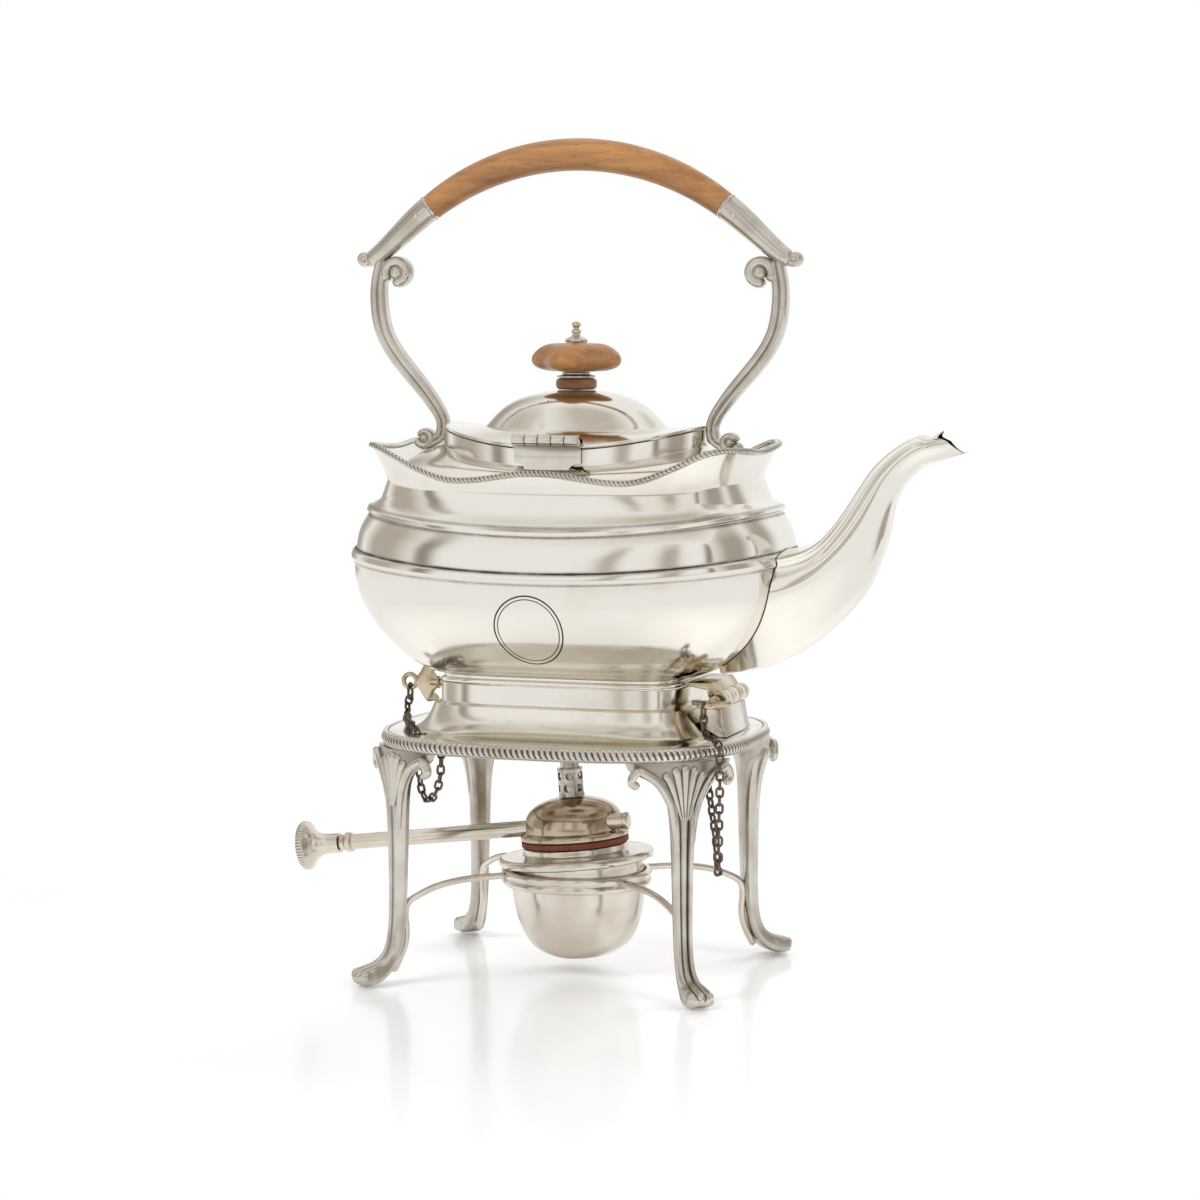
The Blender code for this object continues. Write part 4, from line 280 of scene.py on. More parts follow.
FINIAL_SHARES = (
    (0.0, 1.0), (0.3, 0.94), (0.44, 0.82), (0.3, 0.7), (0.22, 0.64), (0.42, 0.56),
    (0.44, 0.46), (0.28, 0.38), (0.5, 0.28), (0.95, 0.16), (1.0, 0.06), (0.9, 0.0),
)
TRUMPET_SHARES = (
    (0.88, 0.8), (0.56, 0.62), (0.43, 0.42), (0.409, 0.3),
)
KNOB_SHARES = (
    (0.24, 1.0), (0.62, 0.97), (0.9, 0.72), (1.0, 0.42), (0.93, 0.18), (0.66, 0.02),
    (0.3, 0.0),
)
LEFT_CHAIN_ROUTE = (
    (-0.0679, -0.0004, 0.0975), (-0.0664, -0.0035, 0.0953), (-0.064, -0.01, 0.0947),
    (-0.0606, -0.0195, 0.0948), (-0.056, -0.0295, 0.0952), (-0.0512, -0.037, 0.095),
    (-0.0481, -0.0402, 0.0928), (-0.0474, -0.0408, 0.087), (-0.0474, -0.0408, 0.079),
    (-0.0466, -0.041, 0.072), (-0.044, -0.0422, 0.0683), (-0.0408, -0.044, 0.07),
    (-0.038, -0.0456, 0.075), (-0.0368, -0.0464, 0.082), (-0.0366, -0.0466, 0.088),
)
RIGHT_CHAIN_ROUTE = (
    (0.0594, -0.033, 0.0975), (0.0606, -0.0342, 0.0956), (0.0632, -0.0364, 0.095),
    (0.0666, -0.0392, 0.0938), (0.0676, -0.0406, 0.09), (0.0677, -0.0407, 0.08),
    (0.0672, -0.0402, 0.065), (0.067, -0.0398, 0.052), (0.0664, -0.0382, 0.0462),
    (0.0654, -0.0355, 0.048), (0.063, -0.03, 0.058), (0.0592, -0.024, 0.071),
    (0.0572, -0.0206, 0.08), (0.057, -0.02, 0.088),
)
CORNERS = (
    ("front_left", -1, -1), ("front_right", 1, -1), ("back_right", 1, 1), ("back_left", -1, 1),
)


# Lines and sections

def spline(rows, steps, by=None):
    """Rows of numbers on an even curve through the given rows, steps between each two."""
    data = np.array(rows, float)
    key = data if by is None else data[:, by]
    gaps = np.maximum(np.linalg.norm(np.diff(key, axis=0), axis=1), 1e-9)
    count = len(data)
    system = np.eye(count)
    right = np.zeros_like(data)
    for index in range(1, count - 1):
        before, after = gaps[index - 1], gaps[index]
        system[index, index - 1:index + 2] = (before, 2.0 * (before + after), after)
        right[index] = 6.0 * ((data[index + 1] - data[index]) / after -
            (data[index] - data[index - 1]) / before)
    bend = np.linalg.solve(system, right)
    fine = []
    for index in range(count - 1):
        for way in np.linspace(0.0, 1.0, steps, endpoint=False):
            rest = 1.0 - way
            fine.append(rest * data[index] + way * data[index + 1] +
                ((rest ** 3 - rest) * bend[index] + (way ** 3 - way) * bend[index + 1]) *
                gaps[index] ** 2 / 6.0)
    fine.append(data[-1])
    return np.array(fine)


def softened(rows, cut, steps=3, by=None, closed=False, limit=0.35):
    """The line with its sharp corners rounded off, up to the cut on each side."""
    data = np.array(rows, float)
    key = data if by is None else data[:, by]
    count = len(data)
    fine = []
    for index in range(count):
        before, after = (index - 1) % count, (index + 1) % count
        if not closed and index in (0, count - 1):
            fine.append(data[index])
            continue
        back, ahead = key[before] - key[index], key[after] - key[index]
        back_length, ahead_length = np.linalg.norm(back), np.linalg.norm(ahead)
        if min(back_length, ahead_length) < 1e-9:
            continue
        bend = -float(back @ ahead) / (back_length * ahead_length)
        if math.acos(max(-1.0, min(1.0, bend))) < limit:
            fine.append(data[index])
            continue
        first = data[index] + (data[before] - data[index]) * min(cut / back_length, 0.45)
        last = data[index] + (data[after] - data[index]) * min(cut / ahead_length, 0.45)
        for way in np.linspace(0.0, 1.0, steps + 1):
            rest = 1.0 - way
            fine.append(rest * rest * first + 2.0 * rest * way * data[index] + way * way * last)
    return np.array(fine)


def evened(points, count, closed=False):
    """The line as points at even spacing."""
    data = np.array(points, float)
    if closed:
        data = np.vstack((data, data[:1]))
    run = np.concatenate(([0.0], np.cumsum(np.linalg.norm(np.diff(data, axis=0), axis=1))))
    wanted = np.linspace(0.0, run[-1], count, endpoint=not closed)
    return np.column_stack([np.interp(wanted, run, data[:, axis]) for axis in
        range(data.shape[1])])


def crest(turns):
    """Share of the rim's wave at turns round the body, with level crests and dips."""
    folded = np.arcsin(np.clip(np.abs(np.sin(turns)), 0.0, 1.0))
    shares = np.full(folded.shape, RIM_SHARES[-1], float)
    for index in range(len(RIM_TURNS) - 1):
        low, high = RIM_TURNS[index], RIM_TURNS[index + 1]
        way = np.clip((folded - low) / (high - low), 0.0, 1.0)
        ease = (1.0 - np.cos(math.pi * way)) / 2.0
        inside = (folded >= low) & (folded <= high)
        shares[inside] = (RIM_SHARES[index] * (1.0 - ease) + RIM_SHARES[index + 1] * ease)[inside]
    return shares


def oval(half_length, half_width, power, height, rise=0.0, wave=0.0, flare=0.0, count=160):
    """A level oval whose ends may rise and whose edge may wave and flare."""
    turns = round_turns(count)
    along, across = np.cos(turns), np.sin(turns)
    norm = (np.abs(along) ** power + np.abs(across) ** power) ** (1.0 / power)
    lift = crest(turns) if wave or flare else 0.0
    return np.column_stack(((half_length + flare * lift) * along / norm,
        (half_width + flare * lift) * across / norm,
        height + rise * (along / norm) ** 2 + wave * lift))


def ovals(rows, count=160):
    return [oval(*row, count=count) for row in rows]


def circle(radius, count, centre=(0.0, 0.0)):
    turns = round_turns(count)
    return np.column_stack((centre[0] + radius * np.cos(turns),
        centre[1] + radius * np.sin(turns)))


def arc(radius, start, stop, count, centre=(0.0, 0.0)):
    """Points of a round stretch in a plane, angles in degrees."""
    turns = np.radians(np.linspace(start, stop, count))
    return np.column_stack((centre[0] + radius * np.cos(turns),
        centre[1] + radius * np.sin(turns)))


# Meshes

def skin(name, rings, closed=False, caps=True, recess=None):
    """Skin over rings of as many points, closed round and capped, or closed into a tube."""
    rings = np.array(rings, float)
    rows, count = rings.shape[:2]
    faces = []
    for row in range(rows if closed else rows - 1):
        low, high = row * count, ((row + 1) % rows) * count
        for index in range(count):
            after = (index + 1) % count
            faces.append((low + index, low + after, high + after, high + index))
    if caps and not closed:
        faces.append(tuple(range(count)))
        faces.append(tuple(range((rows - 1) * count, rows * count)))
    mesh = bpy.data.meshes.new(name)
    mesh.from_pydata(rings.reshape(-1, 3).tolist(), [], faces)
    if recess is not None:
        mark(mesh, recess)
    return tidied(mesh)


def mark(mesh, recess):
    """Note how dark each point of the mesh is coloured, from 0 to 1: deposit in hollows and
    painted shade.
    """
    marks = mesh.attributes.new("recess", "FLOAT", "POINT")
    marks.data.foreach_set("value", np.array(recess, np.float32).ravel())


def tidied(mesh):
    """The mesh with doubled points merged and its faces turned outward."""
    bm = bmesh.new()
    bm.from_mesh(mesh)
    bmesh.ops.remove_doubles(bm, verts=bm.verts, dist=1e-7)
    bmesh.ops.recalc_face_normals(bm, faces=bm.faces)
    bm.to_mesh(mesh)
    bm.free()
    return mesh


def round_turns(count):
    """Even turns once round, in radians."""
    return np.linspace(0.0, 2.0 * math.pi, count, endpoint=False)


def level_ring(radius, turns, height):
    """Points round the Z axis, at a radius and a height that may vary."""
    return np.column_stack((radius * np.cos(turns), radius * np.sin(turns),
        np.full(len(turns), height)))


def turned(name, outline, steps=72, place=Matrix(), closed=False):
    """Turn an outline of radius and height about the Z axis."""
    turns = round_turns(steps)
    rings = [level_ring(radius, turns, height) for radius, height in np.array(outline, float)]
    mesh = skin(name, rings, closed=closed, caps=False)
    mesh.transform(place)
    return mesh


def turned_ring(name, outline, ease, eases, steps=72, place=Matrix()):
    """Turn a closed outline about the Z axis, its corners eased."""
    return turned(name, softened(outline, ease, eases, closed=True), steps, place, True)


def swept(name, path, section, wide, deep, side=None, round_ends=0, closed=False):
    """Sweep a closed section along a path. Its first axis lies along the side vector."""
    path = np.array(path, float)
    count = len(path)
    wide = np.broadcast_to(np.array(wide, float), (count,)).copy()
    deep = np.broadcast_to(np.array(deep, float), (count,)).copy()
    if closed:
        run = np.roll(path, -1, axis=0) - np.roll(path, 1, axis=0)
    else:
        run = np.gradient(path, axis=0)
    run /= np.linalg.norm(run, axis=1)[:, None]
    if side is None:
        side = np.array(Z_AXIS) if abs(run[0][2]) < 0.8 else np.array(X_AXIS)
        fixed = None
    else:
        fixed = np.array(side, float)
        side = fixed
    sides = []
    for index in range(count):
        base = fixed if fixed is not None else side
        side = base - run[index] * float(base @ run[index])
        side /= np.linalg.norm(side)
        sides.append(side)
    sides = np.array(sides)
    ups = np.cross(run, sides)
    if round_ends and not closed:
        path, run, sides, ups, wide, deep = rounded_ends(path, run, sides, ups, wide, deep,
            round_ends)
    rings = [path[index] + sides[index] * (section[:, :1] * wide[index])
             + ups[index] * (section[:, 1:] * deep[index]) for index in range(len(path))]
    return skin(name, rings, closed=closed)


def rounded_ends(path, run, sides, ups, wide, deep, steps):
    """Rows that close both ends of a sweep with a dome."""
    ways = np.sin(np.linspace(0.0, math.pi / 2.0, steps + 1))[1:]
    for end, sign in ((0, -1.0), (-1, 1.0)):
        more = []
        for way in ways:
            share = math.sqrt(max(0.0, 1.0 - way * way)) or 0.02
            more.append((path[end] + run[end] * sign * way * min(wide[end], deep[end]), run[end],
                sides[end], ups[end], wide[end] * share, deep[end] * share))
        if end == 0:
            more.reverse()
        columns = [np.array(column) for column in zip(*more)]
        joined_up = []
        for old, new in zip((path, run, sides, ups, wide, deep), columns):
            pair = (new, old) if end == 0 else (old, new)
            joined_up.append(np.concatenate(pair))
        path, run, sides, ups, wide, deep = joined_up
    return path, run, sides, ups, wide, deep


ROUND = circle(1.0, 16)


def wire(name, path, radius, side=None, round_ends=3, closed=False, sides=16):
    section = ROUND if sides == 16 else circle(1.0, sides)
    return swept(name, path, section, radius, radius, side, round_ends, closed)


def slab(name, outline, thickness, place, bevel=0.00025):
    """A flat outline, extruded evenly to both sides of its plane, with eased edges."""
    outline = np.array(outline, float)
    turn = np.roll(outline, -1, axis=0) - np.roll(outline, 1, axis=0)
    turn /= np.linalg.norm(turn, axis=1)[:, None]
    inward = np.column_stack((-turn[:, 1], turn[:, 0]))
    area = np.sum(outline[:, 0] * np.roll(outline[:, 1], -1) - np.roll(outline[:, 0], -1) *
        outline[:, 1])
    if area < 0.0:
        inward = -inward
    half = thickness / 2.0
    rings = []
    for level, inset in ((-half, bevel), (-half + bevel * 0.3, bevel * 0.3), (-half + bevel, 0.0),
            (half - bevel, 0.0), (half - bevel * 0.3, bevel * 0.3), (half, bevel)):
        points = outline + inward * inset
        rings.append(np.column_stack((points, np.full(len(points), level))))
    mesh = skin(name, rings)
    mesh.transform(place)
    return mesh


def joined(name, meshes):
    bm = bmesh.new()
    for mesh in meshes:
        bm.from_mesh(mesh)
    made = bpy.data.meshes.new(name)
    bm.to_mesh(made)
    bm.free()
    return made


def linked(name, data):
    """A new object of the data, in the scene."""
    made = bpy.data.objects.new(name, data)
    bpy.context.scene.collection.objects.link(made)
    return made


def cut_away(mesh, tools):
    """The mesh with each tool mesh cut away."""
    holder = linked("work", mesh)
    shapes = []
    for tool in tools:
        shape = linked("tool", tool)
        shapes.append(shape)
        step = holder.modifiers.new("cut", "BOOLEAN")
        step.operation = "DIFFERENCE"
        step.solver = "EXACT"
        step.object = shape
    bpy.context.view_layer.update()
    graph = bpy.context.evaluated_depsgraph_get()
    made = bpy.data.meshes.new_from_object(holder.evaluated_get(graph))
    for shape in (holder, *shapes):
        bpy.data.objects.remove(shape, do_unlink=True)
    return made


def rod(name, radius, low, high, place, steps=32, ease=0.0002):
    """A round rod along its own Z axis, its edges eased."""
    outline = softened([(0.0, high), (radius, high), (radius, low), (0.0, low)], ease)
    return turned(name, outline, steps, place)


def along_x(place):
    return Matrix.Translation(place) @ Matrix.Rotation(math.pi / 2.0, 4, "Y")


def along_y(place):
    return Matrix.Translation(place) @ Matrix.Rotation(-math.pi / 2.0, 4, "X")


def facing_x(place):
    """Plane of Y and Z, for slabs seen from the end."""
    turn = Matrix(((0, 0, 1, 0), (1, 0, 0, 0), (0, 1, 0, 0), (0, 0, 0, 1)))
    return Matrix.Translation(place) @ turn


def facing_y(place):
    """Plane of X and Z, for slabs seen from the front."""
    return Matrix.Translation(place) @ Matrix.Rotation(math.pi / 2.0, 4, "X")


def place_piece(name, mesh, look, body, stands_for=(), sharp=32.0):
    """Carry a finished mesh to its place and let it ride on its body."""
    mesh.name = name
    mesh.transform(Matrix.Translation(MIDDLE))
    mesh.materials.clear()
    mesh.materials.append(finish(look))
    mesh.shade_smooth()
    mesh.set_sharp_from_angle(angle=math.radians(sharp))
    made = linked(name, mesh)
    if stands_for:
        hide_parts(*stands_for)
    if body:
        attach(made, body)
    return made


# Finishes

def node_group(name, inputs, outputs):
    """A shader group with named number inputs and outputs."""
    tree = bpy.data.node_groups.new(name, "ShaderNodeTree")
    for label, value in inputs:
        socket = tree.interface.new_socket(label, in_out="INPUT", socket_type="NodeSocketFloat")
        socket.default_value = value
    for label in outputs:
        tree.interface.new_socket(label, in_out="OUTPUT", socket_type="NodeSocketFloat")
    return (tree, tree.nodes.new("NodeGroupInput").outputs,
            tree.nodes.new("NodeGroupOutput").inputs)


def maths(tree, operation, first, second=0.5, clamp=False):
    made = tree.nodes.new("ShaderNodeMath")
    made.operation = operation
    made.use_clamp = clamp
    for socket, value in zip(made.inputs, (first, second)):
        if isinstance(value, (int, float)):
            socket.default_value = value
        else:
            tree.links.new(value, socket)
    return made.outputs[0]


def times(tree, first, second, clamp=False):
    return maths(tree, "MULTIPLY", first, second, clamp)


def plus(tree, first, second, clamp=False):
    return maths(tree, "ADD", first, second, clamp)


def minus(tree, first, second):
    return maths(tree, "SUBTRACT", first, second)


def noise(tree, scale, detail=3.0, stretch=(1.0, 1.0, 1.0), turn=(0.0, 0.0, 0.0), roughness=0.5):
    """Noise over the piece's own place, in metres, stretched and turned."""
    place = tree.nodes.new("ShaderNodeTexCoord")
    mapping = tree.nodes.new("ShaderNodeMapping")
    mapping.inputs["Scale"].default_value = stretch
    mapping.inputs["Rotation"].default_value = turn
    tree.links.new(place.outputs["Object"], mapping.inputs["Vector"])
    made = tree.nodes.new("ShaderNodeTexNoise")
    made.inputs["Detail"].default_value = detail
    made.inputs["Roughness"].default_value = roughness
    tree.links.new(mapping.outputs["Vector"], made.inputs["Vector"])
    if isinstance(scale, (int, float)):
        made.inputs["Scale"].default_value = scale
    else:
        tree.links.new(scale, made.inputs["Scale"])
    return made.outputs["Fac"]


def make_bloom():
    """Soft patches of tarnish: more of it as Amount grows."""
    tree, given, out = node_group("tarnish_bloom", (("Scale", 60.0), ("Amount", 0.4)), ("Mask",))
    cloud = noise(tree, given["Scale"], 4.0)
    low = minus(tree, 0.78, given["Amount"])
    lifted = minus(tree, cloud, low)
    tree.links.new(times(tree, lifted, 2.6, clamp=True), out["Mask"])
    return tree


def make_hairlines():
    """Fine polishing lines in two directions, as a height."""
    tree, given, out = node_group("polishing_lines", (("Scale", 900.0),), ("Height",))
    first = noise(tree, given["Scale"], 2.0, (1.0, 0.6, 9.0), (0.3, 0.1, 0.4))
    second = noise(tree, given["Scale"], 2.0, (8.0, 0.7, 1.0), (0.2, 0.9, -0.5))
    tree.links.new(times(tree, plus(tree, first, second), 0.5), out["Height"])
    return tree


def make_deposit_and_shade():
    """Dark colour in chased lines and between reeds, from the marks: part deposit, part painted
    shade.
    """
    tree, given, out = node_group("recess_deposit", (("Power", 2.0), ("Strength", 0.8)), ("Mask",))
    mark = tree.nodes.new("ShaderNodeAttribute")
    mark.attribute_name = "recess"
    shaped = maths(tree, "POWER", maths(tree, "MAXIMUM", mark.outputs["Fac"], 0.0), given["Power"])
    patchy = plus(tree, times(tree, noise(tree, 160.0, 3.0), 0.9), 0.45)
    tree.links.new(times(tree, times(tree, shaped, patchy), given["Strength"], clamp=True),
        out["Mask"])
    return tree


def make_grain():
    """Long fibres and short pores of a close wood, along the X axis."""
    tree, given, out = node_group("wood_fibre", (("Scale", 260.0),), ("Streak", "Pore"))
    streak = noise(tree, given["Scale"], 5.0, (0.1, 1.0, 1.0), roughness=0.62)
    broad = noise(tree, 34.0, 2.0, (0.35, 1.0, 1.0))
    mixed = plus(tree, times(tree, streak, 0.62), times(tree, broad, 0.48))
    tree.links.new(mixed, out["Streak"])
    fine = noise(tree, 1500.0, 2.0, (0.16, 1.0, 1.0))
    pore = times(tree, minus(tree, fine, 0.6), 6.0, clamp=True)
    tree.links.new(pore, out["Pore"])
    return tree


GROUPS = {"bloom": make_bloom, "lines": make_hairlines, "recess": make_deposit_and_shade, "grain": make_grain}
made_groups = {}


def placed_group(tree, name, **values):
    """A group node in a material, with its own values."""
    if name not in made_groups:
        made_groups[name] = GROUPS[name]()
    node = tree.nodes.new("ShaderNodeGroup")
    node.node_tree = made_groups[name]
    for label, value in values.items():
        node.inputs[label].default_value = value
    return node.outputs


def mixed_colour(tree, mask, first, second):
    """Colour between two, each a colour or a link."""
    made = tree.nodes.new("ShaderNodeMix")
    made.data_type = "RGBA"
    tree.links.new(mask, made.inputs["Factor"])
    for label, value in (("A", first), ("B", second)):
        socket = next(s for s in made.inputs if s.name == label and s.type == "RGBA")
        if isinstance(value, tuple):
            socket.default_value = (*value, 1.0)
        else:
            tree.links.new(value, socket)
    return next(s for s in made.outputs if s.type == "RGBA")


def blank(name, metallic, preview):
    made = bpy.data.materials.new(name)
    made.use_nodes = True
    made.diffuse_color = (*preview, 1.0)
    shader = made.node_tree.nodes["Principled BSDF"]
    shader.inputs["Metallic"].default_value = metallic
    return made, made.node_tree, shader


def add_bump(tree, shader, height, strength, distance):
    bump = tree.nodes.new("ShaderNodeBump")
    bump.inputs["Strength"].default_value = strength
    bump.inputs["Distance"].default_value = distance
    tree.links.new(height, bump.inputs["Height"])
    tree.links.new(bump.outputs["Normal"], shader.inputs["Normal"])


def metal(name, light, tarnish, deposit_and_shade_colour, roughness, amount, recess, scale=55.0,
          bloom=None, bump=0.1):
    """Metal with soft tarnish, a dark colour in its recesses that is part deposit and part painted
    shade, and polishing lines.
    """
    made, tree, shader = blank(name, 1.0, light)
    patches = placed_group(tree, "bloom", Scale=scale, Amount=amount)["Mask"]
    colour = mixed_colour(tree, times(tree, patches, 0.75), light, tarnish)
    if bloom:
        blue, blue_amount = bloom
        spots = placed_group(tree, "bloom", Scale=scale * 1.7, Amount=blue_amount)["Mask"]
        colour = mixed_colour(tree, times(tree, spots, 0.7), colour, blue)
    # Painted shade and deposit: the colour darkens where the marks say
    dirt_and_shade = placed_group(tree, "recess", Power=1.6, Strength=recess)["Mask"]
    colour = mixed_colour(tree, dirt_and_shade, colour, deposit_and_shade_colour)
    tree.links.new(colour, shader.inputs["Base Color"])
    lines = placed_group(tree, "lines", Scale=1100.0)["Height"]
    rough = plus(tree, times(tree, patches, 0.1), roughness)
    rough = plus(tree, rough, times(tree, dirt_and_shade, 0.3))
    rough = plus(tree, rough, times(tree, lines, 0.04), clamp=True)
    tree.links.new(rough, shader.inputs["Roughness"])
    add_bump(tree, shader, lines, bump, 0.00001)
    return made


def turned_wood(name, pale, dark, roughness, coat):
    """Close wood with fibres along the piece, dark pores and a worn polish."""
    made, tree, shader = blank(name, 0.0, pale)
    grain = placed_group(tree, "grain", Scale=260.0)
    ramp = times(tree, minus(tree, grain["Streak"], 0.38), 3.2, clamp=True)
    colour = mixed_colour(tree, ramp, pale, dark)
    darker = toned(0.35, dark)
    colour = mixed_colour(tree, times(tree, grain["Pore"], 0.55), colour, darker)
    # Same marks as the metal: deposit and painted shade
    dirt_and_shade = placed_group(tree, "recess", Power=1.5, Strength=0.7)["Mask"]
    colour = mixed_colour(tree, dirt_and_shade, colour, darker)
    tree.links.new(colour, shader.inputs["Base Color"])
    rough = plus(tree, times(tree, grain["Pore"], 0.25), roughness)
    tree.links.new(rough, shader.inputs["Roughness"])
    shader.inputs["Coat Weight"].default_value = coat
    shader.inputs["Coat Roughness"].default_value = 0.22
    add_bump(tree, shader, minus(tree, grain["Streak"], grain["Pore"]), 0.25, 0.00008)
    return made


def dull(name, light, dark, roughness, scale, stretch=(1.0, 1.0, 1.0)):
    """Matt stuff, such as cotton or a composition washer, mottled and rough."""
    made, tree, shader = blank(name, 0.0, light)
    mottle = noise(tree, scale, 4.0, stretch)
    patches = placed_group(tree, "bloom", Scale=scale * 0.4, Amount=0.45)["Mask"]
    colour = mixed_colour(tree, mottle, light, dark)
    colour = mixed_colour(tree, times(tree, patches, 0.5), colour, dark)
    tree.links.new(colour, shader.inputs["Base Color"])
    tree.links.new(plus(tree, times(tree, mottle, 0.1), roughness), shader.inputs["Roughness"])
    add_bump(tree, shader, mottle, 0.5, 0.0002)
    return made


FINISHES = {}


def toned(share, colour):
    return tuple(share * value for value in colour)


def finish(name):
    """A finish of the kettle, made when a piece first asks for it."""
    look = bpy.context.scene.kettle_finish
    if name in FINISHES:
        return FINISHES[name]
    silver, warm, deposit_and_shade_colour = tuple(look.silver), tuple(look.tarnish), tuple(look.deposit_and_shade_colour)
    blue = tuple(look.blue_tarnish)
    makers = {
        "polished_silver": lambda: metal(name, silver, warm, deposit_and_shade_colour, look.polish, 0.24, 1.6,
                                         30.0),
        "platform_silver": lambda: metal(name, silver, warm, deposit_and_shade_colour, look.polish + 0.02,
                                         0.36, 0.9, 42.0),
        "lamp_silver": lambda: metal(name, toned(0.9, silver), warm, deposit_and_shade_colour,
                                     look.polish, 0.5, 0.9, 80.0),
        "cap_silver": lambda: metal(name, (0.62, 0.54, 0.43), (0.36, 0.26, 0.17), deposit_and_shade_colour,
                                    look.polish - 0.02, 0.52, 0.9, 60.0),
        "burnt_silver": lambda: metal(name, (0.62, 0.56, 0.48), (0.3, 0.24, 0.2), deposit_and_shade_colour,
                                      0.16, 0.45, 0.9, 260.0,
                                      (blue, 0.3)),
        "cast_silver": lambda: metal(name, toned(0.84, silver),
                                     toned(0.72, warm), deposit_and_shade_colour,
                                     look.polish + 0.04, 0.46, look.recess, 70.0,
                                     (blue, 0.2), 0.1),
        "chased_silver": lambda: metal(name, toned(0.88, silver),
                                       toned(0.8, warm), deposit_and_shade_colour,
                                       look.polish + 0.05, 0.42, look.recess * 1.5, 60.0),
        "worn_gilt": lambda: metal(name, tuple(look.gilt), (0.33, 0.25, 0.16), deposit_and_shade_colour,
                                   0.14, 0.42, 0.8, 140.0),
        "dark_chain": lambda: metal(name, tuple(look.chain), (0.1, 0.075, 0.055),
                                    (0.03, 0.025, 0.02), 0.34, 0.5, 0.9, 300.0),
        "boxwood": lambda: turned_wood(name, tuple(look.wood_pale), tuple(look.wood_dark),
                                       0.36, 0.25),
        "dark_wood": lambda: turned_wood(name, toned(0.62, look.wood_pale),
                                         toned(0.5, look.wood_dark), 0.42, 0.2),
        "brick_washer": lambda: dull(name, tuple(look.washer),
                                     toned(0.35, look.washer), 0.62, 600.0),
        "cotton_wick": lambda: dull(name, (0.7, 0.64, 0.54), (0.3, 0.24, 0.18), 0.85,
                                    2400.0, (1.0, 1.0, 0.25)),
    }
    FINISHES[name] = makers[name]()
    return FINISHES[name]


# Stand

def platform_row(spread, height, share):
    """Row on the platform's skirt: spread from the collar, blended outline."""
    return (COLLAR_LENGTH / 2.0 + spread, COLLAR_WIDTH / 2.0 + spread,
            PLATFORM_POWER * (1.0 - share) + COLLAR_POWER * share, height)


def make_platform():
    """Sheet platform with its swept skirt and the collar that takes the kettle."""
    skirt_top = PLATFORM_HEIGHT + SKIRT_HEIGHT
    skirt = [platform_row(SKIRT_LEDGE, skirt_top - SHEET / 2.0, 1.0)]
    for spread, height, share in SKIRT_SHARES[1:]:
        skirt.append(platform_row(SKIRT_LEDGE + SKIRT_SPREAD * spread,
            PLATFORM_HEIGHT + SKIRT_HEIGHT * height, share))
    skirt = spline(skirt, 9, (0, 3))
    collar = np.array([platform_row(0.0, COLLAR_TOP, 1.0), platform_row(0.0, skirt_top, 1.0)])
    edge = np.array([(PLATFORM_LENGTH / 2.0, PLATFORM_WIDTH / 2.0, PLATFORM_POWER,
        PLATFORM_HEIGHT), (PLATFORM_LENGTH / 2.0, PLATFORM_WIDTH / 2.0, PLATFORM_POWER,
        PLATFORM_HEIGHT - SHEET)])
    under = skirt[::-4].copy()
    under[:, :2] -= SHEET
    under[:, 3] -= SHEET
    bore = np.array([platform_row(-SHEET, skirt_top - SHEET, 1.0),
        platform_row(-SHEET, COLLAR_TOP, 1.0)])
    rows = softened(np.vstack((collar, skirt, edge, under, bore)), 0.0006, 3, (0, 3), True)
    mesh = skin("platform_plate", ovals(rows, 200), closed=True)
    hole = LEFT_CHAIN_ROUTE[7]
    cuts = [rod("hole", 0.0028, -0.003, 0.003, Matrix.Translation((hole[0], hole[1],
        PLATFORM_HEIGHT))), rod("hole", LOCK_PIN_RADIUS + RUNNING_GAP, -0.003, 0.003,
        along_x((-COLLAR_LENGTH / 2.0, 0.0, LOCK_Z)))]
    place_piece("platform_plate", cut_away(mesh, cuts), "platform_silver", "stand",
                ("platform",))


def gadroon_wave(run):
    """Round topped lobes with sharp valleys along a run: ridge height from 0 to 1."""
    return np.abs(np.sin(math.pi * run))


def lobed_line(ring, pitch, steps):
    """Even points round a ring, the way outward at each, and the run in whole lobes."""
    closed = np.vstack((ring, ring[:1]))
    length = float(np.sum(np.linalg.norm(np.diff(closed, axis=0), axis=1)))
    lobes = round(length / pitch)
    count = lobes * steps
    line = evened(ring, count, closed=True)
    tangent = np.roll(line, -1, axis=0) - np.roll(line, 1, axis=0)
    tangent[:, 2] = 0.0
    tangent /= np.linalg.norm(tangent, axis=1)[:, None]
    outward = np.column_stack((tangent[:, 1], -tangent[:, 0], np.zeros(count)))
    return line, outward, np.linspace(0.0, float(lobes), count, endpoint=False)


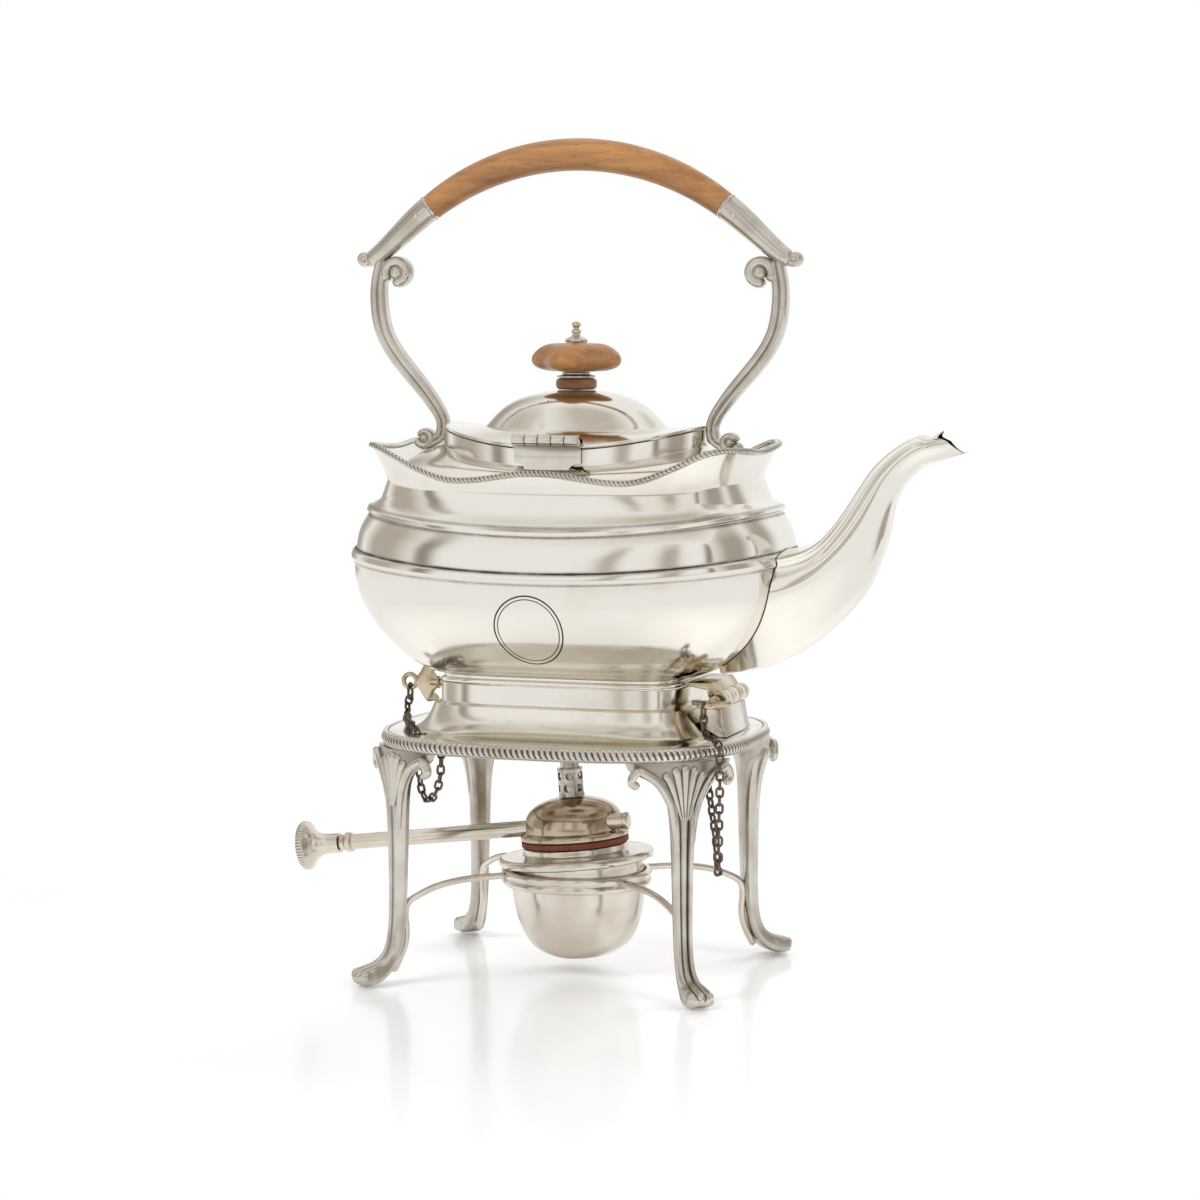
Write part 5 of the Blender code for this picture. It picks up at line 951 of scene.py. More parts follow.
def make_platform_border():
    """Gadrooned band round the platform's edge, its lobes slanting between two fillets."""
    look = bpy.context.scene.kettle_sizes
    ring = oval(PLATFORM_LENGTH / 2.0 + GAP, PLATFORM_WIDTH / 2.0 + GAP, PLATFORM_POWER, 0.0,
                count=3000)
    line, outward, run = lobed_line(ring, look.platform_lobe_pitch, 9)
    section = [(0.0, 0.02), (0.62, 0.02), (0.7, 0.06), (0.62, 0.12)]
    section += [(0.6 + 0.4 * math.sin(math.pi * way), 0.12 + 0.76 * way)
                for way in np.linspace(0.0, 1.0, 13)]
    section += [(0.7, 0.94), (0.62, 0.99), (0.0, 0.99)]
    rings, recess = [], []
    for out, up in section:
        inside = max(0.0, math.sin(math.pi * min(1.0, max(0.0, (up - 0.12) / 0.76))))
        ridge = gadroon_wave(run + look.lobe_slant * up)
        sink = (1.0 - ridge) * look.lobe_depth * min(1.0, inside * 2.2)
        rings.append(line + outward * (BORDER_DEPTH * out - sink)[:, None] +
            np.array((0.0, 0.0, BORDER_BASE + BORDER_HEIGHT * up)))
        # Painted shade and deposit: valleys between the lobes are coloured dark
        recess.append(np.clip((1.0 - ridge) * min(1.0, inside * 2.2) * 1.25, 0.0, 1.0))
    mesh = skin("platform_gadroon", rings, closed=True, recess=recess)
    place_piece("platform_gadroon", mesh, "chased_silver", "stand",
                ("platform_border",), sharp=60.0)


def leg_frame(side_x, side_y):
    """Shaft's place on the floor, outward direction and direction across a leg."""
    foot = np.array((side_x * LEG_ALONG, side_y * LEG_ACROSS, 0.0))
    out = np.array((side_x * math.cos(LEG_TURN), side_y * math.sin(LEG_TURN), 0.0))
    return foot, out, np.array((-out[1], out[0], 0.0))


def leg_spine(side_x, side_y, shares):
    """Middle, forward direction, half width and half depth down a leg."""
    foot, out, across = leg_frame(side_x, side_y)
    top = BORDER_BASE - GAP
    shares = np.array(shares)
    middle = (foot + out * (LEG_REACH * shares[:, 1:2])
              + np.array((0.0, 0.0, top)) * shares[:, :1])
    run = np.gradient(middle, axis=0)
    front = np.cross(run, across)
    front /= np.linalg.norm(front, axis=1)[:, None]
    front *= np.sign(front @ out)[:, None]
    front[0] = out
    return middle, front, LEG_HALF_WIDTH * shares[:, 2], LEG_HALF_DEPTH * shares[:, 3]


def eased(low, high, value):
    way = min(1.0, max(0.0, (value - low) / (high - low)))
    return way * way * (3.0 - 2.0 * way)


def lobe(share, middle, half):
    return np.sqrt(np.maximum(0.0, 1.0 - ((share - middle) / half) ** 2))


def leg_face(share, height):
    """Forward share of a leg's face and its dark marks, deposit and painted shade where the face
    lies back: fan, reeded shaft, then toes.
    """
    span = np.abs(share)
    shaft = np.maximum.reduce((np.full(share.shape, 0.28), 0.28 + 0.4 * lobe(span, 0.0, 0.36),
        0.22 + 0.74 * lobe(span, 0.68, 0.3)))
    fan = 0.22 + 0.3 * lobe(span, 0.0, 0.95)
    toes = np.maximum.reduce([0.12 + 0.9 * lobe(span, place, 0.34) for place in (0.0, 0.64)])
    fan_part = eased(0.72, 0.87, height)
    toe_part = 1.0 - eased(0.05, 0.1, height)
    face = shaft * (1.0 - fan_part) + fan * fan_part
    face = face * (1.0 - toe_part) + toes * toe_part
    face = np.where(span > 0.97, -0.15, face)
    # Painted shade and deposit: darker where the face lies further back, less at the edges
    recess = np.clip((0.8 - face) * 2.0, 0.0, 1.0) * np.where(span > 0.9, 0.3, 1.0)
    return face, recess


def volute(name, centre, out, up, turns, start, outer, inner, thick, thin, depth, eye_size=0.0):
    """Spiral scroll that winds in to a round eye. Out and up span its plane."""
    eye_size = eye_size or inner * 1.25
    steps = int(30 * abs(turns)) + 8
    ways = np.linspace(0.0, 1.0, steps)
    angle = math.radians(start) - 2.0 * math.pi * turns * ways
    radius = outer + (inner - outer) * ways ** 0.8
    centre, out, up = np.array(centre), np.array(out), np.array(up)
    path = (centre + out * (radius * np.cos(angle))[:, None]
            + up * (radius * np.sin(angle))[:, None])
    axis = np.cross(out, up)
    roll = circle(1.0, 18)
    roll = np.sign(roll) * np.abs(roll) ** 0.8
    strap = swept(name, path, roll, depth, thick + (thin - thick) * ways, axis, 3)
    eye = [(0.0, 1.0), (0.5, 0.93), (0.85, 0.62), (1.0, 0.0), (0.85, -0.62), (0.5, -0.93),
           (0.0, -1.0)]
    eye = [(eye_size * r, depth * 1.08 * h) for r, h in spline(eye, 3)]
    turn = Matrix((out, up, axis)).transposed().to_4x4()
    turn.translation = Vector(centre)
    return joined(name, (strap, turned(name, np.maximum(eye, ((0.0, -1.0),)), 24, turn)))


def fan_points(foot, out, across, aside, height, forward):
    """Points in front of a leg's head, bent round with it."""
    levels, reaches, _, _ = np.array(LEG_SHARES).T
    reach = LEG_REACH * np.interp(height / (BORDER_BASE - GAP), levels[::-1], reaches[::-1])
    path = (foot + across * aside[:, None]
            + out * (reach + forward - aside ** 2 / (2.0 * LEG_WRAP_RADIUS))[:, None])
    path[:, 2] = height
    return path


def make_legs():
    """Four cast legs: head with petals and volute arms, reeded shaft, toed paw."""
    shares = spline(LEG_SHARES, 8, (0, 1))
    top = BORDER_BASE - GAP
    across_shares = np.sin(np.linspace(-1.0, 1.0, 61) * math.pi / 2.0) * 0.35
    across_shares += np.linspace(-1.0, 1.0, 61) * 0.65
    back = [(0.9, -0.62), (0.6, -0.82), (0.2, -0.85), (-0.2, -0.85), (-0.6, -0.82), (-0.9, -0.62)]
    for tag, side_x, side_y in CORNERS:
        foot, out, across = leg_frame(side_x, side_y)
        rings, recess = [], []
        for middle, front, width, depth, row in zip(*leg_spine(side_x, side_y, shares), shares):
            face, marks = leg_face(across_shares, row[0])
            sides = np.concatenate((across_shares, [share for share, _ in back]))
            forward = np.concatenate((face, [share for _, share in back]))
            aside = width * sides
            points = (middle + across * aside[:, None] + front * (depth * forward)[:, None]
                      - out * (aside ** 2 / (2.0 * LEG_WRAP_RADIUS))[:, None])
            points[:, 2] = np.clip(points[:, 2], 0.0, top)
            rings.append(points)
            # Painted shade: the back of the leg is coloured a little dark
            recess.append(np.concatenate((marks, np.full(len(back), 0.25))))
        meshes = [skin("leg", rings, recess=recess)]
        for side in (-1, 1):
            arm = spline(FAN_ARM_SHARES, 8, (0, 1))
            path = fan_points(foot, out, across, side * LEG_HALF_WIDTH * arm[:, 0],
                top - top * arm[:, 1], LEG_HALF_DEPTH * 0.55)
            thick = LEG_HALF_WIDTH * arm[:, 2]
            meshes.append(swept("fan_arm", path, ROUND, thick, thick * 1.15, None, 4))
        for wide, narrow, drop in PETAL_SHARES:
            for side in (-1, 1) if wide else (1,):
                way = np.linspace(0.0, 1.0, 19)
                aside = side * LEG_HALF_WIDTH * (wide + (narrow - wide) * way ** 0.75)
                path = fan_points(foot, out, across, aside,
                    top - top * (drop + (PETAL_WAIST_SHARE - drop) * way),
                    LEG_HALF_DEPTH * (PETAL_FORWARD_SHARE + 0.4 * way))
                thick = PETAL_HALF_WIDTH * (0.22 + 0.78 * (1.0 - way) ** 1.25)
                meshes.append(swept("petal", path, ROUND, thick, thick * 0.9, None, 4))
        place_piece("cast_leg_" + tag, joined("leg", meshes), "cast_silver", "stand",
                    ("leg_" + tag,), sharp=48.0)


def make_stretchers():
    """Rods from the holder ring out to the legs and on down behind them."""
    for tag, side_x, side_y in CORNERS:
        middle, front, _, depth = leg_spine(side_x, side_y, LEG_SHARES)
        behind = []
        for index in range(STRETCHER_TOP_ROW, STRETCHER_END_ROW):
            back = depth[index] * LEG_BACK_SHARE + STRETCHER_RADIUS + GAP
            behind.append(middle[index] - front[index] * back)
        flat = np.array((behind[0][0], behind[0][1], 0.0))
        first = flat / np.linalg.norm(flat) * (HOLDER_BORE + HOLDER_WALL + GAP)
        low, height = behind[0][2], HOLDER_TOP - HOLDER_HEIGHT / 4.0
        points = []
        for way, up in STRETCHER_SHARES:
            point = first + (flat - first) * way
            point[2] = low + (height - low) * up
            points.append(point)
        path = spline(points + behind, 9)
        mesh = wire("stretcher_rod", path, STRETCHER_RADIUS)
        place_piece("stretcher_rod_" + tag, mesh, "lamp_silver", "stand",
                    ("stretcher_" + tag,))


def make_holder():
    """Moulded ring that the lamp hangs in."""
    outline = [(HOLDER_BORE + HOLDER_WALL * out, HOLDER_TOP + HOLDER_HEIGHT * (up - 1.0))
               for out, up in HOLDER_SHARES]
    mesh = turned_ring("holder_moulding", outline, SHEET_EASE, 4, 120)
    place_piece("holder_moulding", mesh, "lamp_silver", "stand", ("lamp_holder_ring",))


# Kettle

def body_rows(grow=0.0):
    """Sizes of the body's sections, grown by a clearance or shrunk by its wall."""
    return np.array([(BODY_LENGTH / 2.0 * length + grow, BODY_WIDTH / 2.0 * width + grow, power,
        BODY_BASE + BODY_HEIGHT * height, BODY_END_RISE * rise, RIM_WAVE * wave, RIM_FLARE * flare)
        for length, width, power, height, rise, wave, flare in BODY_SHARES])


def body_outline(grow=0.0, steps=8):
    """Fine rows up the body: smooth stretches with eased corners between them."""
    rows = body_rows(grow)
    fine = [spline(rows[low:high + 1], steps, (0, 3)) for low, high in BODY_STRETCHES]
    fine[-1] = fine[-1][1:]
    return softened(np.vstack(fine), 0.00045, 3, (0, 3))


def make_body():
    """Bellied body with two moulded girdles, a waved mouth and an engraved double ring, and
    painted shade lines along the girdles.
    """
    outside = ovals(body_outline(), 240)
    shrunk = body_rows(-SHEET)
    inside = [oval(*shrunk[index], count=240) for index in (18, 17, 15, 10, 5, 2, 1)]
    floor = shrunk[1]
    inside.append(oval(floor[0] - SHEET, floor[1] - SHEET, floor[2], BODY_BASE + SHEET, count=240))
    mesh = skin("body_shell", outside + inside)
    front = surface_reader(mesh)
    rings = []
    for radius, width in CARTOUCHE_RINGS:
        path = []
        for x, z in circle(radius, 120, (CARTOUCHE_X, CARTOUCHE_Z)):
            path.append((x, front(x, z), z))
        rings.append(swept("ring", path, circle(1.0, 10), width, width, Y_AXIS, closed=True))
    way = rod("way", SPOUT_HALF_WIDTH * 0.3, -0.0044, 0.0044,
              along_x((BODY_LENGTH / 2.0 * 0.985, 0.0, BODY_BASE + BODY_HEIGHT * 0.42)))
    engraved = cut_away(mesh, rings + [way])
    values = np.zeros(len(engraved.vertices), np.float32)
    for index, vertex in enumerate(engraved.vertices):
        place = vertex.co
        reach = math.hypot(place.x - CARTOUCHE_X, place.z - CARTOUCHE_Z)
        # Dark colour inside the engraved rings, by their depth: deposit and painted shade
        if place.y < 0.0 and CARTOUCHE_BAND[0] < reach < CARTOUCHE_BAND[1]:
            depth = place.y - front(place.x, place.z)
            values[index] = min(1.0, max(0.0, depth / ENGRAVED_DEPTH))
        # Painted shade: dark lines along the girdles, in the same marks
        for height, rise, dark in GIRDLE_SHADE_LINES:
            level = BODY_BASE + BODY_HEIGHT * height
            level += BODY_END_RISE * rise * (2.0 * place.x / BODY_LENGTH) ** 2
            line = dark * math.exp(-((place.z - level) / GIRDLE_SHADE_WIDTH) ** 2)
            values[index] = max(values[index], line)
    mark(engraved, values)
    place_piece("body_shell", engraved, "polished_silver", "kettle",
                ("kettle_body",), sharp=40.0)


def ray_tree(mesh):
    """Tree that rays can be cast at."""
    bm = bmesh.new()
    bm.from_mesh(mesh)
    tree = BVHTree.FromBMesh(bm)
    bm.free()
    return tree


def surface_reader(mesh):
    """A function that gives the front of a mesh at a place seen from the front."""
    tree = ray_tree(mesh)

    def front(x, z):
        hit = tree.ray_cast(Vector((x, -0.2, z)), Vector(Y_AXIS))[0]
        return hit.y
    return front


def make_rim():
    """Gadrooned bead on the waved edge of the body."""
    look = bpy.context.scene.kettle_sizes
    row = body_rows()[-1]
    line, outward, run = lobed_line(oval(*row, count=4000), look.rim_lobe_pitch, 7)
    rings, recess = [], []
    for step in range(14):
        angle = math.radians(-100.0 + 360.0 * step / 14)
        outer = math.cos(angle) > -0.35
        worked = max(0.0, math.cos(angle - math.radians(20.0))) ** 0.5 if outer else 0.0
        ridge = gadroon_wave(run + look.lobe_slant * 0.55 * math.sin(angle))
        sink = (1.0 - ridge) * look.lobe_depth * 0.85 * worked
        out = 0.0003 + (0.00135 - sink) * math.cos(angle)
        up = GAP + 0.00105 + (0.0011 - sink) * math.sin(angle)
        rings.append(line + outward * out[:, None] + np.outer(up, Z_AXIS))
        # Painted shade and deposit: valleys between the lobes are coloured dark
        recess.append(np.clip((1.0 - ridge) * worked * 1.2, 0.0, 1.0))
    mesh = skin("rim_gadroon", rings, closed=True, recess=recess)
    place_piece("rim_gadroon", mesh, "chased_silver", "kettle",
                ("rim_border",), sharp=60.0)


def make_foot():
    """Moulded foot of the kettle, which stands on the collar of the stand."""
    shares = ((0.0, 0.0), (0.0, 0.5), (-0.4, 0.62), (-0.3, 1.0), (-1.0, 1.0), (-1.0, 0.0))
    rows = [(COLLAR_LENGTH / 2.0 + FOOT_WALL * out, COLLAR_WIDTH / 2.0 + FOOT_WALL * out,
             COLLAR_POWER, FOOT_BASE + FOOT_HEIGHT * up) for out, up in shares]
    rows = softened(rows, 0.0005, 4, (0, 3), True)
    mesh = skin("foot_moulding", ovals(rows, 200), closed=True)
    place_piece("foot_moulding", mesh, "polished_silver", "kettle", ("kettle_foot",))


def make_shoulder():
    """Sloping plate that closes the neck, with the collar of the lid standing on it."""
    neck = body_rows(-SHEET - GAP)[-2]
    collar = (LID_LENGTH / 2.0 - LID_COLLAR_INSET, LID_WIDTH / 2.0 - LID_COLLAR_INSET)
    rows = []
    for length, width, height, rise in SHOULDER_SHARES:
        rows.append((neck[0] + (collar[0] - neck[0]) * length,
            neck[1] + (collar[1] - neck[1]) * width, neck[2] + (LID_POWER - neck[2]) * length,
            SHOULDER_BASE + SHOULDER_HEIGHT * height, LID_END_RISE * rise))
    slope = spline(rows, 8, (0, 3))
    top = np.array([(collar[0], collar[1], LID_POWER, LID_SEAT, LID_END_RISE),
        (collar[0] - SHEET, collar[1] - SHEET, LID_POWER, LID_SEAT, LID_END_RISE),
        (collar[0] - SHEET, collar[1] - SHEET, LID_POWER, rows[3][3] - SHEET, LID_END_RISE)])
    under = np.array([(row[0] - SHEET / 3.0, row[1] - SHEET / 3.0, row[2], row[3] - SHEET, row[4])
        for row in (rows[2], rows[1], rows[0])])
    outline = softened(np.vstack((slope, top, under)), 0.0004, 3, (0, 3), True)
    mesh = skin("neck_shoulder", ovals(outline, 200), closed=True)
    place_piece("neck_shoulder", mesh, "polished_silver", "kettle", ("shoulder",))


def lid_rows(drop=0.0):
    return np.array([(LID_LENGTH / 2.0 * length, LID_WIDTH / 2.0 * width, power,
        LID_BASE + LID_HEIGHT * height - drop, LID_END_RISE * rise) for length, width, power,
        height, rise in LID_SHARES])


def make_lid():
    """Oval lid with rising ends and a raised dome, pierced by a steam hole."""
    rows = lid_rows()
    flange = spline(rows[1:4], 10, (0, 3))
    dome = spline(rows[4:], 12, (0, 3))
    crown = np.array([(STUD_RADIUS, STUD_RADIUS, 2.0, rows[-1][3], 0.0)])
    outer = np.vstack((rows[:1], flange, dome, crown))
    under = lid_rows(SHEET)
    inner = np.array([(STUD_RADIUS, STUD_RADIUS, 2.0, rows[-1][3] - SHEET, 0.0)] +
        [(row[0] - SHEET / 2.0, row[1] - SHEET / 2.0, *row[2:]) for row in under[7:2:-1]] +
        [(rows[0][0] - SHEET * 2.0, rows[0][1] - SHEET * 2.0, *rows[0][2:])])
    outline = softened(np.vstack((outer, inner)), 0.0005, 3, (0, 3), True)
    mesh = skin("domed_lid", ovals(outline, 200), closed=True)
    vent = rod("vent", 0.0008, -LID_HEIGHT, LID_HEIGHT,
               Matrix.Translation((-LID_WIDTH * 0.08, -LID_WIDTH * 0.24, rows[-1][3])), 20)
    place_piece("domed_lid", cut_away(mesh, [vent]), "polished_silver", "lid",
                ("lid",), sharp=40.0)


def knuckles(name, radius, bore, length, count, first, place):
    """Every other knuckle of a hinge, each a short barrel with eased ends."""
    width = length / count
    meshes = []
    for index in range(first, count, 2):
        low = -length / 2.0 + width * index + GAP / 2.0
        high = low + width - GAP
        outline = [(radius, high), (radius, low), (bore, low), (bore, high)]
        meshes.append(turned_ring(name, outline, FINE_EASE, 3, 36, place))
    return meshes


def make_lid_hinge():
    """Five knuckle hinge at the front of the lid: hanging leaf, strap and pin."""
    axis = Vector((0.0, LID_AXIS_Y, LID_AXIS_Z))
    half, barrel = LID_HINGE_LENGTH / 2.0, LID_BARREL
    wall = -LID_AXIS_Y - (LID_WIDTH / 2.0 - LID_COLLAR_INSET) - GAP
    rings = []
    for way in np.linspace(0.0, 1.0, 33):
        left = (1.0 - way) * LID_LEAF_DROP / LID_BITE_HEIGHT
        wide = half - LID_BITE_WIDTH * math.sqrt(max(0.0, 1.0 - left ** 2))
        back = LID_AXIS_Y + wall
        face = back - LID_LEAF - LID_COVE * (1.0 - 4.0 * way * (1.0 - way))
        height = LID_AXIS_Z - barrel * 0.9 - LID_LEAF_DROP * way
        rings.append([(-wide, face, height), (wide, face, height), (wide, back, height),
            (-wide, back, height)])
    leaf = skin("leaf", rings)
    fixed = [leaf] + knuckles("knuckle", barrel, 0.0009, LID_HINGE_LENGTH, LID_HINGE_KNUCKLES, 1,
        along_x(axis))
    place_piece("lid_hinge_plate", joined("plate", fixed), "chased_silver",
                "kettle", ("lid_hinge_leaf",), sharp=30.0)
    rows = lid_rows()
    strap = [(-barrel * 0.2, barrel * 0.4), (-barrel * 0.2, barrel * 0.95)]
    edge = rows[1]
    inner = edge + (rows[2] - edge) * 0.55
    for row in (edge, inner):
        strap.append((-LID_AXIS_Y - row[1], row[3] + GAP - LID_AXIS_Z + LID_STRAP))
    for row in (inner, edge):
        strap.append((-LID_AXIS_Y - row[1], row[3] + GAP - LID_AXIS_Z))
    swing = slab("strap", softened(strap, 0.0006, 3, closed=True), LID_HINGE_LENGTH,
        facing_x(axis))
    moving = [swing] + knuckles("knuckle", barrel, 0.0009, LID_HINGE_LENGTH, LID_HINGE_KNUCKLES, 0,
        along_x(axis))
    place_piece("lid_hinge_wrap", joined("wrap", moving), "chased_silver",
                "lid", ("lid_hinge_strap",))
    place_piece("lid_hinge_rod", rod("pin", 0.0009, -half, half, along_x(axis), 20),
                "lamp_silver", "kettle", ("lid_hinge_pin",))


def make_knob():
    """Lobed wooden knob on its ring, with a silver neck and the finial that holds it."""
    top = LID_BASE + LID_HEIGHT
    ring_base = top + GAP
    ring_top = ring_base + KNOB_RING_HEIGHT
    middle = (ring_base + ring_top) / 2.0
    outline = spline([(KNOB_RING_RADIUS * 0.86, ring_top),
        (KNOB_RING_RADIUS * 0.97, ring_top - KNOB_RING_HEIGHT * 0.16), (KNOB_RING_RADIUS, middle),
        (KNOB_RING_RADIUS * 0.97, ring_base + KNOB_RING_HEIGHT * 0.16),
        (KNOB_RING_RADIUS * 0.86, ring_base)], 5)
    outline = np.vstack((outline, [(KNOB_BORE, ring_base), (KNOB_BORE, ring_top)]))
    place_piece("wooden_ring", turned("ring", outline, 72, closed=True),
                "dark_wood", "lid", ("knob_ring",))
    base = ring_top + GAP
    neck_top = base + KNOB_NECK_HEIGHT
    outline = [(KNOB_NECK_RADIUS, neck_top), (KNOB_NECK_RADIUS, base + KNOB_NECK_HEIGHT * 0.5),
        (KNOB_RING_RADIUS * 0.96, base + KNOB_NECK_HEIGHT * 0.33), (KNOB_RING_RADIUS * 0.96, base),
        (KNOB_BORE, base), (KNOB_BORE, neck_top)]
    place_piece("knob_washer", turned_ring("washer", outline, 0.0004, 3),
                "lamp_silver", "lid", ("knob_neck",))
    base = neck_top + GAP
    shares = np.vstack((spline(KNOB_SHARES, 8), [(0.09, 0.0), (0.09, 1.0)]))
    rings = []
    turns = round_turns(120)
    for share, up in shares:
        radius = (KNOB_RADIUS - KNOB_LOBE) * share + KNOB_LOBE * np.cos(4.0 * turns) * share
        rings.append(level_ring(radius, turns, base + KNOB_HEIGHT * up))
    place_piece("lobed_knob", skin("knob", rings, closed=True), "boxwood", "lid",
                ("knob",), sharp=60.0)
    finial_base = base + KNOB_HEIGHT + GAP
    outline = [(FINIAL_RADIUS * out, finial_base + FINIAL_HEIGHT * up)
               for out, up in FINIAL_SHARES]
    outline = list(softened(outline, 0.0004, 4, limit=0.2))
    outline += [(STUD_RADIUS, finial_base), (STUD_RADIUS, top - 0.0047), (0.0, top - 0.0047)]
    place_piece("turned_finial", turned("finial", outline, 48), "lamp_silver", "lid",
                ("finial",))
    dress("knob_nut", "lamp_silver")


def spout_ring(row, shrink=0.0):
    """Section of the spout between its top and bottom points."""
    reach, tall = SPOUT_REACH - SPOUT_ROOT, SPOUT_TOP - BODY_BASE
    high = np.array((SPOUT_ROOT + reach * row[0], 0.0, BODY_BASE + tall * row[1]))
    low = np.array((SPOUT_ROOT + reach * row[2], 0.0, BODY_BASE + tall * row[3]))
    up = (high - low) / np.linalg.norm(high - low)
    high, low = high - up * shrink, low + up * shrink
    half = SPOUT_HALF_WIDTH * row[4] - shrink
    keel = SPOUT_HALF_WIDTH * row[5] - shrink
    side = spline([(half * out, way) for out, way in SPOUT_SECTION_SHARES[:5]] + [(keel, 0.07)], 7)
    side = np.vstack((side, [(keel * 0.86, 0.018), (keel * 0.5, 0.0), (0.0, 0.0)]))
    ring = [low + (high - low) * way - np.array((0.0, out, 0.0)) for out, way in side]
    ring += [np.array((point[0], -point[1], point[2])) for point in ring[-2:0:-1]]
    return np.array(ring)


def spout_lip(ring):
    """Edge of the mouth: an ear that stands up behind it and a long drooping lip."""
    tall = SPOUT_TOP - BODY_BASE
    tip = np.array((SPOUT_REACH - 0.0004, 0.0, BODY_BASE + tall * 0.935))
    count = len(ring)
    lip = []
    for index, point in enumerate(ring):
        way = 1.0 - abs(index - count / 2.0) / (count / 2.0)
        pull = way ** 1.15
        ear = math.exp(-(way / EAR_SPAN) ** 2)
        edge = point + (tip - point) * pull
        edge[1] = point[1] * (1.0 - LIP_NARROWING * pull)
        edge[2] += (LIP_RISE * math.sin(math.pi * min(1.0, pull * 1.1)) - LIP_SAG * (1.0 - way))
        edge[2] += EAR_RISE * ear
        edge[0] += EAR_REACH * ear
        lip.append(edge)
    return np.array(lip)


def make_spout():
    """Hollow swan neck spout seated on the body, with its drooping lip."""
    rows = spline(SPOUT_SHARES, 8, (0, 1, 2, 3))
    outer = [spout_ring(row) for row in rows]
    lip = spout_lip(outer[-1])
    count = len(lip)
    outer += [outer[-1] + (lip - outer[-1]) * way for way in (0.2, 0.4, 0.6, 0.8, 1.0)]
    inner_rings = [spout_ring(row, SHEET * 0.75) for row in rows[::-3]]
    centre = lip.mean(axis=0)
    thin = lip + (centre - lip) * 0.03 + np.array((0.0, 0.0, -0.0001))
    first = inner_rings[0]
    inner = [thin] + [first + (thin - first) * way for way in (0.75, 0.5, 0.25)]
    # Painted shade: the inside of the spout is coloured dark
    dark = np.concatenate((np.zeros((len(outer), count)), np.full((len(inner), count), 0.9),
        np.ones((len(inner_rings), count))))
    mesh = skin("spout_shell", outer + inner + inner_rings, closed=True, recess=dark)
    block = skin("block", ovals(body_outline(0.0001, 5), 160))
    tree = ray_tree(block)
    seam = []
    for index in range(count):
        for high, low in zip(outer[len(rows)::-1], outer[len(rows) - 1::-1]):
            run = Vector(low[index] - high[index])
            hit = tree.ray_cast(Vector(high[index]), run.normalized(), run.length)[0]
            if hit:
                seam.append(tuple(hit))
                break
    shell = cut_away(mesh, [block])
    bead = wire("seam", evened(seam, 160, closed=True), SEAM_WIRE, closed=True, sides=8)
    # The seam bead takes the full dark colour of the marks
    mark(bead, np.ones(len(bead.vertices)))
    place_piece("spout_shell", joined("spout", (shell, bead)), "polished_silver",
                "kettle", ("spout",), sharp=38.0)


# Handle

def arm_path(side):
    top, low = HANDLE_TOP - ARM_TOP_DROP, LID_SEAT + ARM_FOOT_LIFT
    return [(side * (ARM_FOOT_X + (ARM_SPREAD - ARM_FOOT_X) * spread), 0.0,
             low + (top - low) * up) for spread, up in ARM_SHARES]


def reeded_section():
    """Section of an arm: two rounded reeds on its front and back, flat at its sides."""
    front = []
    for across in np.linspace(-1.0, 1.0, 25):
        reeds = float(lobe(abs(across), 0.5, 0.52))
        front.append((across * 0.98, 0.62 + 0.38 * reeds))
    return np.array(front[::-1] + [(-1.0, 0.3), (-1.0, -0.3)] + [(x, -y) for x, y in front] +
        [(1.0, -0.3), (1.0, 0.3)])


def make_arms():
    """Reeded arms with a scroll at the head and one that curls out at the foot."""
    for tag, side in (("left", -1.0), ("right", 1.0)):
        path = np.array(arm_path(side))
        widths = np.array(ARM_WIDTH_SHARES)
        fine = spline(np.column_stack((path, widths)), 9, (0, 1, 2))
        shaft = swept("shaft", fine[:, :3], reeded_section(), ARM_HALF_WIDTH * fine[:, 3],
            ARM_HALF_DEPTH * fine[:, 3], np.array(X_AXIS), 3)
        head = path[0] + np.array((-side * HEAD_SCROLL_IN, 0.0, -HEAD_SCROLL_DROP))
        foot = path[-1] + np.array((side * FOOT_SCROLL_OUT, 0.0, -FOOT_SCROLL_DROP))
        outward, up = (side, 0.0, 0.0), Z_AXIS
        inner = volute("scroll", head, outward, up, -0.8, -22.0, 0.0047, 0.0035, 0.0019, 0.0022,
            SCROLL_DEPTH / 2.0, 0.0029)
        outer = volute("scroll", foot, (-side, 0.0, 0.0), up, -0.8, -150.0, 0.0031, 0.0022, 0.0017,
            0.0014, SCROLL_DEPTH * 0.45, 0.0019)
        curl = spline([path[-2], path[-1], path[-1] + np.array((side * 0.002, 0.0, -0.0016)),
            foot + np.array((-side * 0.0012, 0.0, -0.0022))], 6)
        bridge = swept("curl", curl, reeded_section(), 0.0019, ARM_HALF_DEPTH * 0.8,
            np.array((1.0, 0.0, 0.3)), 3)
        place_piece("reeded_arm_" + tag, joined("arm", (shaft, inner, outer, bridge)),
            "cast_silver", "kettle", ("handle_arm_" + tag,), sharp=50.0)


def grip_arc(count):
    """Middle line of the grip, an arc through its top and both ends."""
    radius = ((GRIP_SPAN / 2.0) ** 2 + GRIP_SAGITTA ** 2) / (2.0 * GRIP_SAGITTA)
    half = math.asin(GRIP_SPAN / 2.0 / radius)
    angle = np.linspace(-half, half, count)
    return np.column_stack((radius * np.sin(angle), np.zeros(count),
        HANDLE_TOP - GRIP_RADIUS - radius + radius * np.cos(angle)))


def make_grip():
    """Turned boxwood grip, bent to a low arc and thinner at its ends."""
    path = grip_arc(49)
    way = np.linspace(-1.0, 1.0, 49)
    radius = GRIP_RADIUS + (GRIP_END_RADIUS - GRIP_RADIUS) * way ** 2
    mesh = swept("grip", path, circle(1.0, 40), radius, radius, Y_AXIS)
    place_piece("bent_grip", mesh, "boxwood", "kettle", ("handle_grip",), sharp=60.0)


